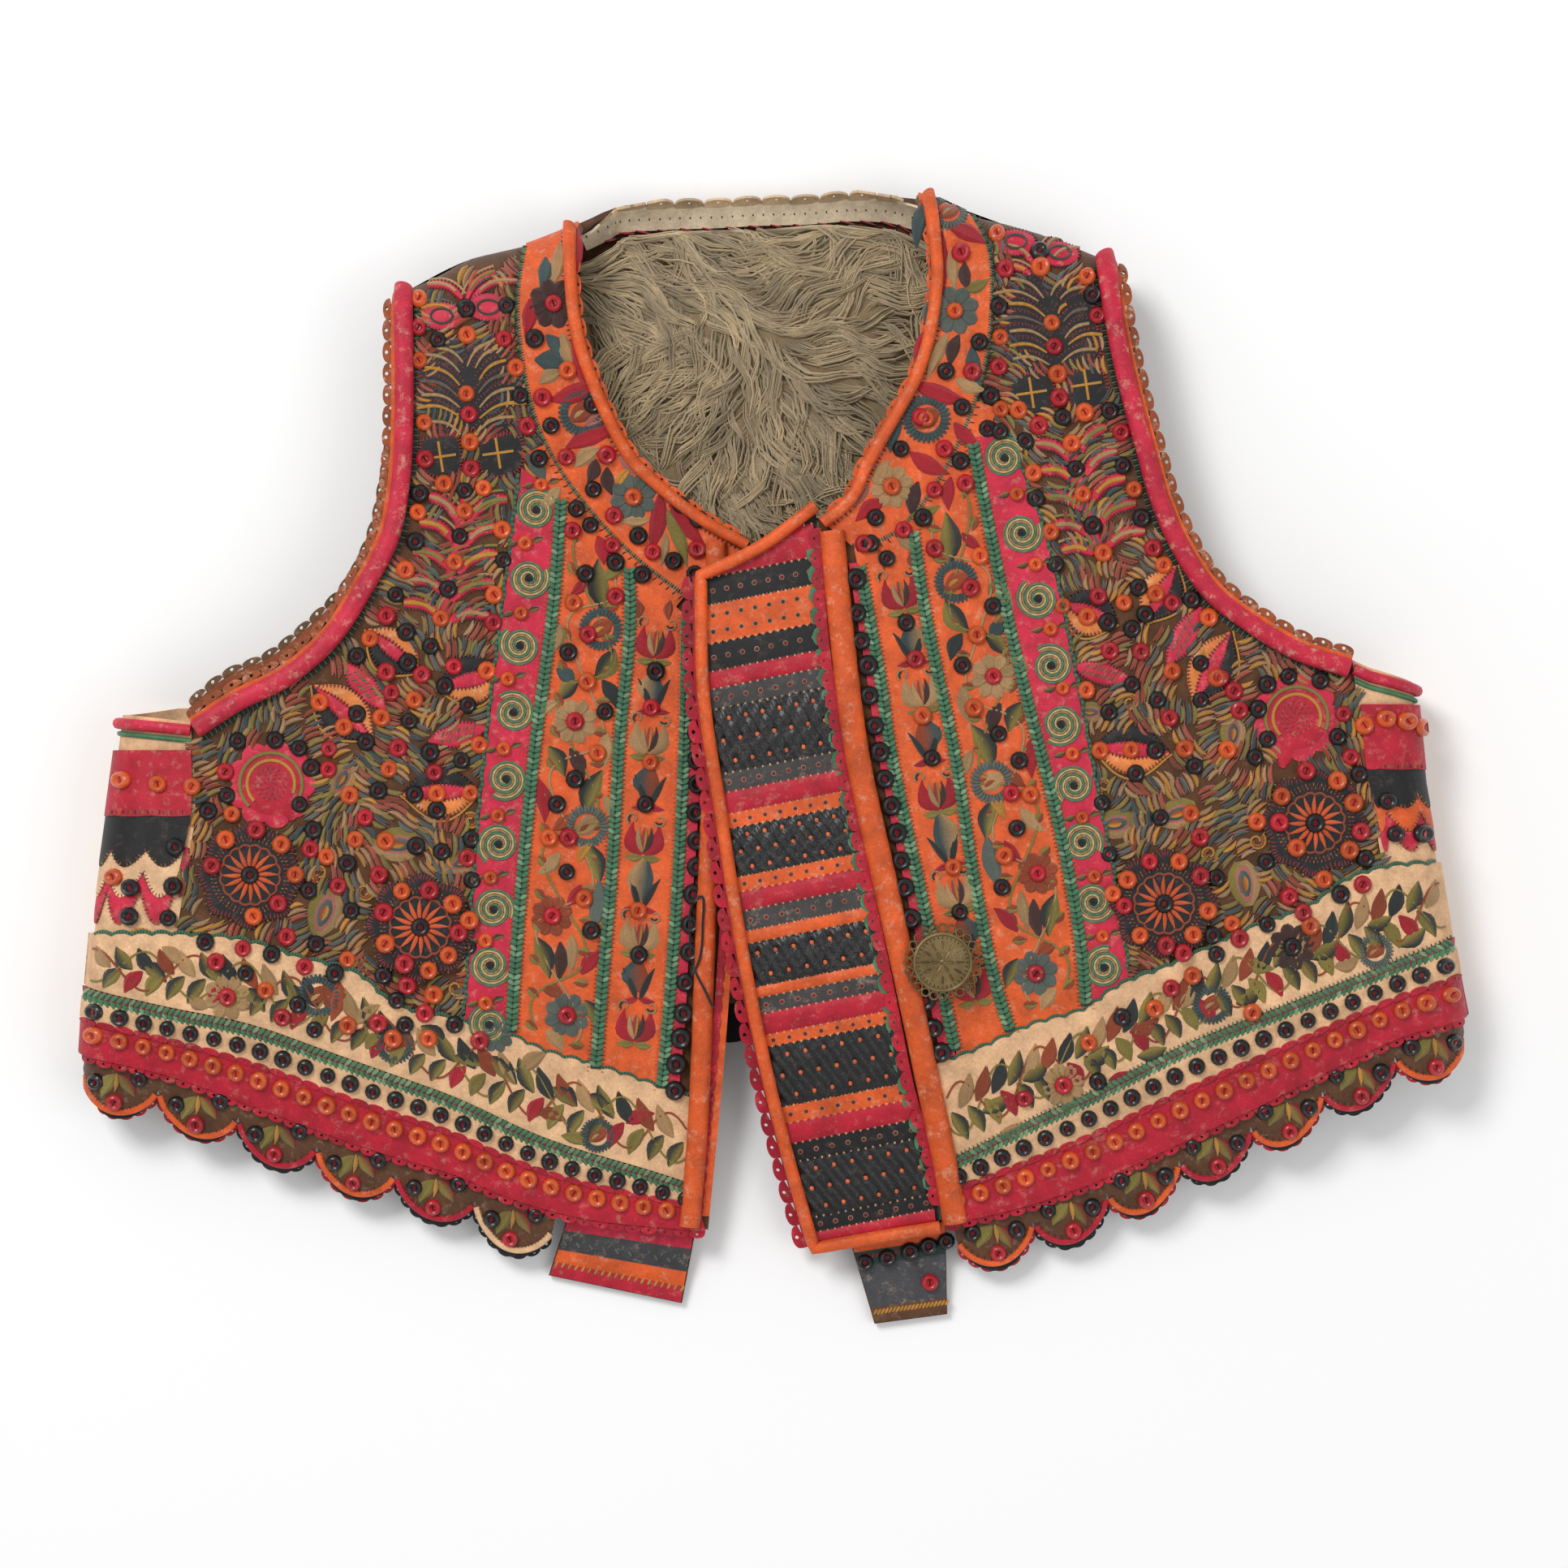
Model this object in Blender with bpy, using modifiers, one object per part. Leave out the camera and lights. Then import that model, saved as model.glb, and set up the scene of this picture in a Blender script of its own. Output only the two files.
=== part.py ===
"""Embroidered sheepskin folk vest, laid flat on its back with the front side up.

Plan tables are in millimetres: x to the viewer's right, y towards the neck, z up from the surface.
"Right" and "left" are the wearer's, so the right front lies at negative x.
"""
import math

import bmesh
import bpy
from mathutils import Vector

MM = 0.001
RIGHT = "right"
LEFT = "left"

# How the vest lies
BODY_HEIGHT = 40.0
OVERLAP_DROP = 12.0
OVERLAP_START = -165.0
OVERLAP_RUN = 125.0
OVERLAP_TOP = 175.0
OVERLAP_FADE = 90.0
HEM_HEIGHT = 13.0
DROOP_START = -70.0
DROOP_RUN = 150.0
ROLL_STEP = 15.0

# Middle of the plan tables' extent, which is moved to the origin
PLAN_MIDDLE = (-1.75, 1.45)

# Thicknesses
SKIN = 2.6
SEAM = 0.35
LEATHER = 1.2
LAYER_GAP = 0.4
BACK_FLEECE = 8.0
NECK_FLEECE = 6.0
FRONT_FLEECE = 5.0
FLEECE_GAP = 0.9
BACK_SEAM_INSET = 26.0

# Folds at the sides, with columns y, x
SIDE_FOLD = {
    RIGHT: [(-235, -286.0), (-125, -284.5), (-110, -283.0), (-60, -278.0), (-20, -272.5), (17, -267.5), (60, -265.0)],
    LEFT: [(-235, 283.5), (-112, 281.0), (-90, 277.0), (-45, 270.0), (-10, 263.5), (30, 259.5), (70, 258.0)],
}
# Fold at the shoulders of the fronts, with columns x, y
SHOULDER_FOLD = {
    RIGHT: [(-180, 181.0), (-155, 189.5), (-141, 196.0), (-125, 204.5), (-101, 210.0), (-88, 215.0), (-60, 229.0)],
    LEFT: [(40, 236.0), (63, 228.5), (77, 222.0), (93, 218.5), (107, 214.5), (125, 207.5), (160, 193.0)],
}
# Fold line that the back follows, which runs a little past the neck edge, with columns x, y
BACK_FOLD = [(-180, 181.0), (-155, 189.5), (-141, 196.0), (-125, 204.5), (-101, 210.0), (-88, 215.0), (-79, 219.5), (-68, 229.5),
             (-45, 234.0), (-10, 236.0), (30, 237.5), (50, 234.5), (63, 228.5), (77, 222.0), (93, 218.5),
             (107, 214.5), (125, 207.5), (160, 193.0)]

# Outlines of the fronts, with columns x, y, each from the hem or centre upwards
CENTRE_EDGE = {
    RIGHT: [(-28.5, -193), (-21.5, -120), (-16, -41), (-12.5, 38), (-11, 89)],
    LEFT: [(67.5, -190), (64.5, -167), (54.5, -130), (49, -103), (37.5, -48), (27.5, 3), (21.5, 39), (16.5, 97)],
}
NECK_EDGE = {
    RIGHT: [(-11, 89), (-26, 97.5), (-46, 112.5), (-57, 123), (-65.5, 137.5), (-73, 155), (-78, 170), (-81, 192),
            (-80.5, 218)],
    LEFT: [(16.5, 97), (28, 107), (33, 118), (40, 130.5), (47, 142.5), (53, 153.5), (58, 168), (61, 184), (62, 200),
           (60, 214), (57, 230)],
}
SIDE_SEAM = {
    RIGHT: [(-249, -127), (-245, -87), (-241, -61), (-235, -19), (-237, 15)],
    LEFT: [(252, -112), (249, -71), (244, -41), (237, -1), (232, 40)],
}
ARMHOLE = {
    RIGHT: [(-237, 15), (-220, 26), (-202, 35), (-184, 50), (-169.5, 72), (-160, 91), (-156, 112), (-154.5, 142),
            (-154.5, 165), (-154.5, 189)],
    LEFT: [(232, 40), (211, 47), (194, 57), (177.5, 70), (166, 87), (158, 105), (152, 126), (147, 144), (142, 165),
           (138, 187), (135.5, 203)],
}
HEM = {
    RIGHT: [(-28.5, -193), (-85, -186), (-106, -180), (-134, -168), (-163, -159), (-206, -143), (-249, -127),
            (-284, -119)],
    LEFT: [(67.5, -190), (101, -182), (129, -172), (161, -157), (192, -142), (235, -120), (252, -112), (280.5, -104)],
}

# Bands on the fronts, with columns x, y, each from the centre outwards or from the top downwards
BORDER_TOP = {
    RIGHT: [(-40, -141), (-98, -124), (-105, -118), (-157, -98), (-168, -88), (-194, -80), (-217, -73), (-240, -71),
            (-280, -71)],
    LEFT: [(77, -123), (104, -111), (125, -105), (137, -95), (157, -85), (192, -68), (214, -60), (232, -48),
           (245, -44), (269, -42)],
}
HEM_BRAID = {
    RIGHT: [(-40, -175), (-97, -156.5), (-134, -139), (-158, -130), (-180, -122), (-214, -110), (-247, -103),
            (-282, -95)],
    LEFT: [(76.5, -163), (104, -149), (125, -139), (165, -118.5), (206, -102), (246, -86), (274, -75)],
}
YOKE_EDGE = {
    RIGHT: [(-37, 66), (-60, 84), (-77, 102), (-86, 114), (-97, 135), (-103, 161), (-105, 184), (-102, 209)],
    LEFT: [(30, 86), (42, 88.5), (57, 101), (64, 111), (77, 137), (83, 156), (86.5, 186), (85.5, 205), (78, 222)],
}
BRAIDS = {
    RIGHT: [
        [(-37, 58), (-37.5, 20), (-40, -39), (-41.5, -64), (-45.5, -115), (-47.5, -136)],
        [(-60.5, 79), (-60, 62), (-64.5, 6), (-67.5, -45), (-71, -87), (-74.5, -128)],
        [(-88, 107), (-91, 65), (-98.5, 6), (-102.5, -33), (-106.5, -83), (-108.5, -113)],
    ],
    LEFT: [
        [(33, 79), (36.5, 60), (41.5, 32), (44.5, 10.5), (57, -50), (60.5, -66), (72.5, -120)],
        [(54.5, 93), (60, 57), (64.5, 35), (70.5, 7), (80.5, -55), (89, -94), (95, -112)],
        [(78.5, 129), (83, 106), (89, 76), (95, 48), (102, 19), (113.5, -26), (123, -80), (125, -102)],
    ],
}
SPIRAL_EDGE = {
    RIGHT: [(-104, 118), (-110, 73), (-116.5, 19), (-122, -35), (-125.5, -88), (-127, -105)],
    LEFT: [(92, 134), (108, 91), (119.5, 38), (128.5, -10), (137.5, -57), (142, -88)],
}
BUTTON_EDGE = {
    RIGHT: [(-30, 58), (-30.5, 20), (-33, -39), (-35, -64), (-38, -115), (-40.5, -138)],
    LEFT: [(28.5, 79), (31.5, 60), (36, 32), (39, 10.5), (51, -50), (54.5, -66), (66, -121)],
}

# Plastron, with columns x, y
PLASTRON_FREE = [(15, -200), (6, -168), (-3.5, -130), (-13.5, -81), (-23, -21), (-30, 28), (-31, 74)]
PLASTRON_SEWN = [(67, -191), (64, -167), (54, -130), (48.5, -103), (37, -48), (27, 3), (21, 39), (16, 102)]
FRONT_ROLL = {
    RIGHT: [(-36, -191), (-33, -156), (-29.5, -78), (-27, -20), (-25, 40), (-25, 88)],
    LEFT: [(72.5, -189), (70.5, -176), (61, -130), (43, -48), (32, 3), (26, 50), (22, 92)],
}

# Back, with columns x, y
BACK_ARMHOLE = {
    RIGHT: [(-241, 21), (-226, 33), (-210, 40), (-192, 54), (-175, 72), (-165, 93), (-160, 116), (-156.5, 142),
            (-156.5, 165), (-156, 189)],
    LEFT: [(233, 39), (213, 48), (196, 58), (180, 70), (168, 87), (160, 105), (154, 126), (149, 144), (144, 165),
           (139.5, 187), (137.5, 202.5)],
}
BACK_NECK = [(-156, 189), (-125, 204.5), (-101, 210), (-80, 219.5), (-66, 227), (-47, 228), (-26, 228.5), (-8, 229.5),
             (12, 230), (30, 231.5), (47, 231.5), (63, 228.5), (93, 218.5), (125, 207.5), (137.5, 202.5)]
BACK_HEM = [(-257, -118), (-190, -107), (-130, -101), (0, -95), (130, -91), (190, -93), (254, -98)]

# Small pieces
ROSETTES = {RIGHT: [(-213, -47), (-144.5, -68)], LEFT: [(156, -58.5), (217, -26)]}
ROSETTE_RADIUS = 21.5
BROOCH_CENTRE = (66.5, -82.0)
TONGUE_WIDTH = 36.0
TONGUE_DEPTH = 21.0

# Corners of the hem flaps, the upper edge first, with columns x, y, and their height at the lower end
FLAP_CORNERS = {RIGHT: [(-85, -184), (-33, -190), (-39.5, -224.5), (-94.5, -213)],
                LEFT: [(29, -195.5), (69, -189), (70, -229), (40, -233)]}
FLAP_THICKNESS = 2.0
FLAP_END = 1.5

# Colours as red, green, blue and roughness
ORANGE = (0.62, 0.14, 0.05, 0.6)
CRIMSON = (0.45, 0.02, 0.05, 0.55)
CREAM = (0.70, 0.52, 0.34, 0.75)
SUEDE = (0.13, 0.06, 0.03, 0.85)
GREEN = (0.08, 0.22, 0.11, 0.9)
BLACK = (0.03, 0.03, 0.035, 0.45)
WOOL = (0.35, 0.30, 0.22, 0.95)
BRASS = (0.30, 0.22, 0.10, 0.45)


def smooth_step(value):
    """Ease from 0 to 1 as value goes from 0 to 1."""
    value = min(max(value, 0.0), 1.0)
    return value * value * (3.0 - 2.0 * value)


def read_table(rows, key):
    """Read a two-column table at a key, with straight lines between its rows and past its ends."""
    index = 0
    while index < len(rows) - 2 and key > rows[index + 1][0]:
        index += 1
    start, end = rows[index], rows[index + 1]
    return start[1] + (end[1] - start[1]) * (key - start[0]) / (end[0] - start[0])


class Path:
    """A smooth plan curve through the rows of a table, read by its share of length."""

    def __init__(self, rows, steps=8):
        knots = [Vector(row) for row in rows]
        gaps = [(b - a).length for a, b in zip(knots, knots[1:])]
        slopes = [(b - a) / gap for a, b, gap in zip(knots, knots[1:], gaps)]
        tangents = [slopes[0]]
        for index in range(1, len(knots) - 1):
            before, after = gaps[index - 1], gaps[index]
            tangents.append((slopes[index - 1] * after + slopes[index] * before) / (before + after))
        tangents.append(slopes[-1])
        self.points = []
        for index, gap in enumerate(gaps):
            for step in range(steps):
                self.points.append(self.hermite(knots, tangents, index, gap, step / steps))
        self.points.append(knots[-1])
        self.runs = [0.0]
        for start, end in zip(self.points, self.points[1:]):
            self.runs.append(self.runs[-1] + (end - start).length)
        self.length = self.runs[-1]

    @staticmethod
    def hermite(knots, tangents, index, gap, share):
        """One point of the cubic between two knots."""
        square, cube = share * share, share ** 3
        return (knots[index] * (2 * cube - 3 * square + 1) + tangents[index] * gap * (cube - 2 * square + share)
                + knots[index + 1] * (3 * square - 2 * cube) + tangents[index + 1] * gap * (cube - square))

    def at(self, share):
        """The point at a share of the length."""
        run = min(max(share, 0.0), 1.0) * self.length
        index = 0
        while index < len(self.runs) - 2 and self.runs[index + 1] < run:
            index += 1
        part = (run - self.runs[index]) / (self.runs[index + 1] - self.runs[index])
        return self.points[index].lerp(self.points[index + 1], part)

    def beside(self, share, offset):
        """A point beside the path, to its left where the offset is positive."""
        step = 0.5 / self.length
        ahead = (self.at(share + step) - self.at(share - step)).normalized()
        return self.at(share) + Vector((-ahead.y, ahead.x)) * offset


class Chain:
    """Paths joined end to end, each with an equal share of the parameter."""

    def __init__(self, *tables):
        self.paths = [Path(table) for table in tables]

    def at(self, share):
        index = min(int(share * len(self.paths)), len(self.paths) - 1)
        return self.paths[index].at(share * len(self.paths) - index)


class Patch:
    """A plan area between four edges: left and right run up, bottom and top run from left to right."""

    def __init__(self, left, right, bottom=None, top=None):
        self.left, self.right = left, right
        self.bottom, self.top = bottom, top

    def at(self, across, along):
        point = self.left.at(along).lerp(self.right.at(along), across)
        if self.bottom:
            straight = self.left.at(0.0).lerp(self.right.at(0.0), across)
            point = point + (self.bottom.at(across) - straight) * (1.0 - along)
        if self.top:
            straight = self.left.at(1.0).lerp(self.right.at(1.0), across)
            point = point + (self.top.at(across) - straight) * along
        return point


def crown(x, y, side):
    """Height of a front's outer surface away from the folds."""
    base = BODY_HEIGHT
    if side == RIGHT:
        below_neck = smooth_step((OVERLAP_TOP - y) / OVERLAP_FADE)
        base -= OVERLAP_DROP * smooth_step((x - OVERLAP_START) / OVERLAP_RUN) * below_neck
    droop = smooth_step((DROOP_START - y) / DROOP_RUN)
    return base + (HEM_HEIGHT - base) * droop


def line_distance(x, y, rows):
    """Distance below a fold line given as x and y, and the plan direction away from it."""
    slope = read_table(rows, x + 1.0) - read_table(rows, x - 1.0)
    away = Vector((slope / 2.0, -1.0)).normalized()
    return (read_table(rows, x) - y) * -away.y, away


def front_fold(x, y, side):
    """Distance inwards from the nearer fold of a front, and the plan direction away from it."""
    side_gap = abs(read_table(SIDE_FOLD[side], y)) - abs(x)
    away = Vector((1.0 if side == RIGHT else -1.0, 0.0))
    shoulder_gap, shoulder_away = line_distance(x, y, SHOULDER_FOLD[side])
    if shoulder_gap < side_gap:
        return shoulder_gap, shoulder_away
    return side_gap, away


def front_point(plan, lift, side):
    """A point over a front, lifted off its outer surface along the normal."""
    x, y = plan
    height = crown(x, y, side)
    radius = height / 2.0
    gap, away = front_fold(x, y, side)
    bend = min(max(1.0 - gap / radius, 0.0), 1.0)
    rise = math.sqrt(1.0 - bend * bend)
    slope_x = (crown(x + 1.0, y, side) - crown(x - 1.0, y, side)) / 2.0
    slope_y = (crown(x, y + 1.0, side) - crown(x, y - 1.0, side)) / 2.0
    normal = Vector((-away.x * bend - slope_x * rise, -away.y * bend - slope_y * rise, rise)).normalized()
    return Vector((x, y, radius + radius * rise)) + normal * lift


def back_point(plan, lift):
    """A point over the back, lifted inwards off its outer surface, which is the one that rests."""
    x, y = plan
    radius = BODY_HEIGHT / 2.0
    gap, away = line_distance(x, y, BACK_FOLD)
    bend = min(max(1.0 - gap / radius, 0.0), 1.0)
    rise = math.sqrt(1.0 - bend * bend)
    inward = Vector((away.x * bend, away.y * bend, rise))
    return Vector((x, y, radius - radius * rise)) + inward * lift


def even(count):
    """Even shares from 0 to 1."""
    return [index / count for index in range(count + 1)]


def rolled(count, length, radius=BODY_HEIGHT / 2.0, end_gap=0.0, turn_step=ROLL_STEP):
    """Shares from 0 to 1 that get closer over the last stretch, where a sheet rolls into a fold."""
    start = max(1.0 - (radius - end_gap) / length, 0.5)
    shares = [start * index / count for index in range(count)]
    angle = 90.0
    while angle > 1.0:
        gap = radius * (1.0 - math.cos(math.radians(angle)))
        if gap > end_gap + 0.2:
            shares.append(1.0 - (gap - end_gap) / length)
        angle -= turn_step
    return shares + [1.0]


def principled(name, colour):
    """A plain material with the piece's own colour."""
    material = bpy.data.materials.new(name)
    material.use_nodes = True
    shader = material.node_tree.nodes["Principled BSDF"]
    shader.inputs["Base Color"].default_value = colour[:3] + (1.0,)
    shader.inputs["Roughness"].default_value = colour[3]
    shader.inputs["Metallic"].default_value = 0.8 if colour == BRASS else 0.0
    return material


def finish(name, data, colour):
    """Put a mesh or curve into the vest's collection with its own material."""
    thing = bpy.data.objects.new(name, data)
    data.materials.append(principled(name, colour))
    VEST.objects.link(thing)
    return thing


def value_at(value, across, along):
    """A lift that is one number, or a function of the place."""
    return value(across, along) if callable(value) else value


def close_mesh(name, mesh, colour):
    """Turn the faces outwards and make the object."""
    bmesh.ops.recalc_face_normals(mesh, faces=mesh.faces[:])
    if mesh.calc_volume(signed=True) < 0.0:
        bmesh.ops.reverse_faces(mesh, faces=mesh.faces[:])
    data = bpy.data.meshes.new(name)
    mesh.to_mesh(data)
    mesh.free()
    return finish(name, data, colour)


def slab(name, place, across, along, lower, upper, colour):
    """A closed sheet between two lifts of one surface, where place gives the point for two shares and a lift."""
    mesh = bmesh.new()
    columns, rows = len(across) - 1, len(along) - 1
    bmesh.ops.create_grid(mesh, x_segments=columns, y_segments=rows, size=1.0)
    grown = bmesh.ops.extrude_face_region(mesh, geom=mesh.faces[:], use_keep_orig=True)
    raised = {item for item in grown["geom"] if isinstance(item, bmesh.types.BMVert)}
    for vert in mesh.verts:
        u = across[round((vert.co.x + 1.0) / 2.0 * columns)]
        v = along[round((vert.co.y + 1.0) / 2.0 * rows)]
        lift = value_at(upper if vert in raised else lower, u, v)
        vert.co = place(u, v, lift) * MM
    return close_mesh(name, mesh, colour)


def on_front(patch, side):
    """A place function for a patch on a front."""
    return lambda u, v, lift: front_point(patch.at(u, v), lift, side)


def tube(name, points, radius, colour):
    """A round piping along points given in millimetres."""
    data = bpy.data.curves.new(name, "CURVE")
    data.dimensions = "3D"
    data.bevel_depth = radius * MM
    data.bevel_resolution = 2
    data.use_fill_caps = True
    spline = data.splines.new("POLY")
    spline.points.add(len(points) - 1)
    for knot, point in zip(spline.points, points):
        knot.co = (point * MM).to_4d()
    return finish(name, data, colour)


def pad(height, base):
    """The upper lift of a padded roll, rounded from edge to edge."""
    return lambda u, v: base + height * math.sqrt(max(1.0 - (2.0 * u - 1.0) ** 2, 0.0)) ** 0.8


class Ribbon:
    """A band of constant width beside a path, from one offset to another."""

    def __init__(self, path, near, far):
        self.path, self.near, self.far = path, near, far

    def at(self, across, along):
        return self.path.beside(along, self.near + (self.far - self.near) * across)


def build_back():
    """The back panel, its fleece, neck facing, armhole edges and hem tongues."""
    left_edge = Chain(list(reversed([(-241, 21), (-250, -60), (-257, -118)])), BACK_ARMHOLE[RIGHT])
    right_edge = Chain(list(reversed([(233, 39), (243, -60), (254, -98)])), BACK_ARMHOLE[LEFT])
    patch = Patch(left_edge, right_edge, Path(BACK_HEM), Path(BACK_NECK))
    upper = [0.5 + 0.5 * share for share in rolled(6, 200.0)]
    rows = [0.0, 0.15, 0.32] + upper
    slab("back_panel", lambda u, v, lift: back_point(patch.at(u, v), lift), even(16), rows, 0.0, SKIN, SUEDE)

    inner_left = Path([(-236, -110), (-232, -30), (-214, 22), (-176, 50), (-152, 90), (-146, 130), (-143, 170)])
    inner_right = Path([(232, -90), (225, -20), (208, 32), (172, 55), (148, 90), (136, 130), (127, 180)])
    top = Path([(-143, 170), (-110, 185), (-78, 203), (-40, 213), (0, 215), (35, 215), (66, 206), (100, 193), (127, 180)])
    fleece = Patch(inner_left, inner_right, None, top)

    def fleece_top(u, v):
        plan = fleece.at(u, v)
        in_neck = smooth_step((plan.y - 60.0) / 30.0) * smooth_step((100.0 - abs(plan.x + 10.0)) / 30.0)
        return SKIN + LAYER_GAP + BACK_FLEECE + NECK_FLEECE * in_neck * smooth_step((1.0 - v) / 0.05)

    slab("back_fleece", lambda u, v, lift: back_point(fleece.at(u, v), lift), even(12),
         [0.0, 0.2, 0.4, 0.55, 0.65, 0.75, 0.85, 0.93, 1.0], SKIN + LAYER_GAP, fleece_top, WOOL)

    neck = Path([(-71, 227), (-47, 229.5), (-26, 230), (-8, 231), (12, 231.5), (30, 233), (48, 232.5)])
    scallops = 13
    facing = Ribbon(neck, -10.0, 1.5)

    def scalloped(u, v, lift):
        point = facing.at(u, v)
        if u > 0.9:
            point = point + Vector((0.0, 1.8 * abs(math.sin(math.pi * scallops * v))))
        return back_point(point, lift)

    slab("back_neck_facing", scalloped, [0.0, 0.6, 1.0], even(scallops * 3), SKIN + LAYER_GAP + 0.2,
         SKIN + LAYER_GAP + LEATHER + 0.2, CREAM)

    for side in (RIGHT, LEFT):
        turn = 1.0 if side == RIGHT else -1.0
        edge = Ribbon(Path(BACK_ARMHOLE[side]), -1.5 * turn, 3.0 * turn)
        slab("back_armhole_edge_" + side, lambda u, v, lift, e=edge: back_point(e.at(u, v), lift), [0.0, 1.0],
             rolled(14, 290.0, end_gap=4.0), SKIN + LAYER_GAP + 0.2, SKIN + LAYER_GAP + LEATHER, ORANGE)

    hem = Path(BACK_HEM)
    tongues = 14

    def lobed(u, v, lift):
        depth = SEAM + u * TONGUE_DEPTH * (0.45 + 0.55 * abs(math.sin(math.pi * tongues * v)) ** 0.6)
        return Vector((*hem.beside(v, -depth), lift))

    slab("back_hem_tongues", lobed, [0.0, 1.0], even(tongues * 3), 0.0, 1.6, BLACK)


def build_front(side):
    """One front wall with its fleece."""
    inner = Chain(CENTRE_EDGE[side], NECK_EDGE[side])
    outer = Chain(SIDE_SEAM[side], ARMHOLE[side])
    hem_rows = [row for row in HEM[side] if abs(row[0]) < 253]
    shoulder_ends = (NECK_EDGE[side][-1][0], ARMHOLE[side][-1][0])
    shoulder = [(x, read_table(SHOULDER_FOLD[side], x) - 0.02) for x in
                [shoulder_ends[0] + (shoulder_ends[1] - shoulder_ends[0]) * share for share in even(6)]]
    patch = Patch(inner, outer, Path(hem_rows), Path(shoulder))
    rows = [0.0, 0.025, 0.05, 0.075, 0.1, 0.125, 0.155, 0.19, 0.24, 0.3, 0.37, 0.435]
    rows += [0.5 + 0.5 * share for share in rolled(6, 190.0, turn_step=11.25)]
    slab("front_" + side + "_panel", on_front(patch, side), even(10), rows, -SKIN, 0.0, SUEDE)

    def fleece_place(u, v, lift):
        return front_point(patch.at(0.05 + 0.9 * u, 0.04 + 0.885 * v), lift, side)

    slab("front_" + side + "_fleece", fleece_place, even(8), even(12), -SKIN - FLEECE_GAP - FRONT_FLEECE,
         -SKIN - FLEECE_GAP, WOOL)


def build_gusset(side):
    """The side piece that turns round the fold, from the front seam to the back seam."""
    sign = -1.0 if side == RIGHT else 1.0
    seam = Path(SIDE_SEAM[side])
    hem = [(abs(x), y) for x, y in HEM[side]]
    back_hem_y = {RIGHT: -118.0, LEFT: -98.0}[side]
    seam_top, fold_top, back_top = {RIGHT: (15.0, 18.0, 21.0), LEFT: (40.0, 31.0, 39.0)}[side]
    back_seam = {RIGHT: (257.0, 241.0), LEFT: (254.0, 233.0)}[side]
    angles = [angle for angle in range(90, -91, -15)]
    count = len(angles) + 3

    def place(u, v, lift):
        station = round(u * (count - 1))
        low_fold = abs(read_table(SIDE_FOLD[side], -110.0))
        angle = angles[min(max(station - 2, 0), len(angles) - 1)]
        bend = math.cos(math.radians(angle))
        rise = math.sin(math.radians(angle))
        radius = crown(sign * low_fold, -115.0, side) / 2.0
        low = read_table(hem, low_fold - radius * (1.0 - bend))
        high = fold_top + (seam_top - fold_top) * (1.0 - bend) * 0.65
        if angle < 0:
            low += (back_hem_y - low) * (1.0 - bend)
            high = fold_top + (back_top - fold_top) * (1.0 - bend)
        if station < 2:
            share = 1.0 - station / 2.0
            low = read_table(hem, low_fold - radius - (low_fold - radius - abs(seam.at(0.0).x)) * share)
            high += (seam_top - high) * share
        y = low + (high - low) * v
        fold_x = abs(read_table(SIDE_FOLD[side], y))
        radius = crown(sign * fold_x, y, side) / 2.0
        if station < 2:
            gap = radius + (fold_x - abs(seam.at(v).x) - SEAM - radius) * (1.0 - station / 2.0)
            return front_point(Vector((sign * (fold_x - gap), y)), lift, side)
        if station == count - 1:
            back_x = back_seam[0] + (back_seam[1] - back_seam[0]) * v + SEAM + 0.5
            return Vector((sign * min(back_x, fold_x - radius - 1.0), y, -lift))
        centre = Vector((sign * (fold_x - radius), y, radius))
        return centre + Vector((sign * bend, 0.0, rise)) * (radius + lift)

    slab("side_gusset_" + side, place, even(count - 1), even(8), -SKIN, 0.0, CREAM)


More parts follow.
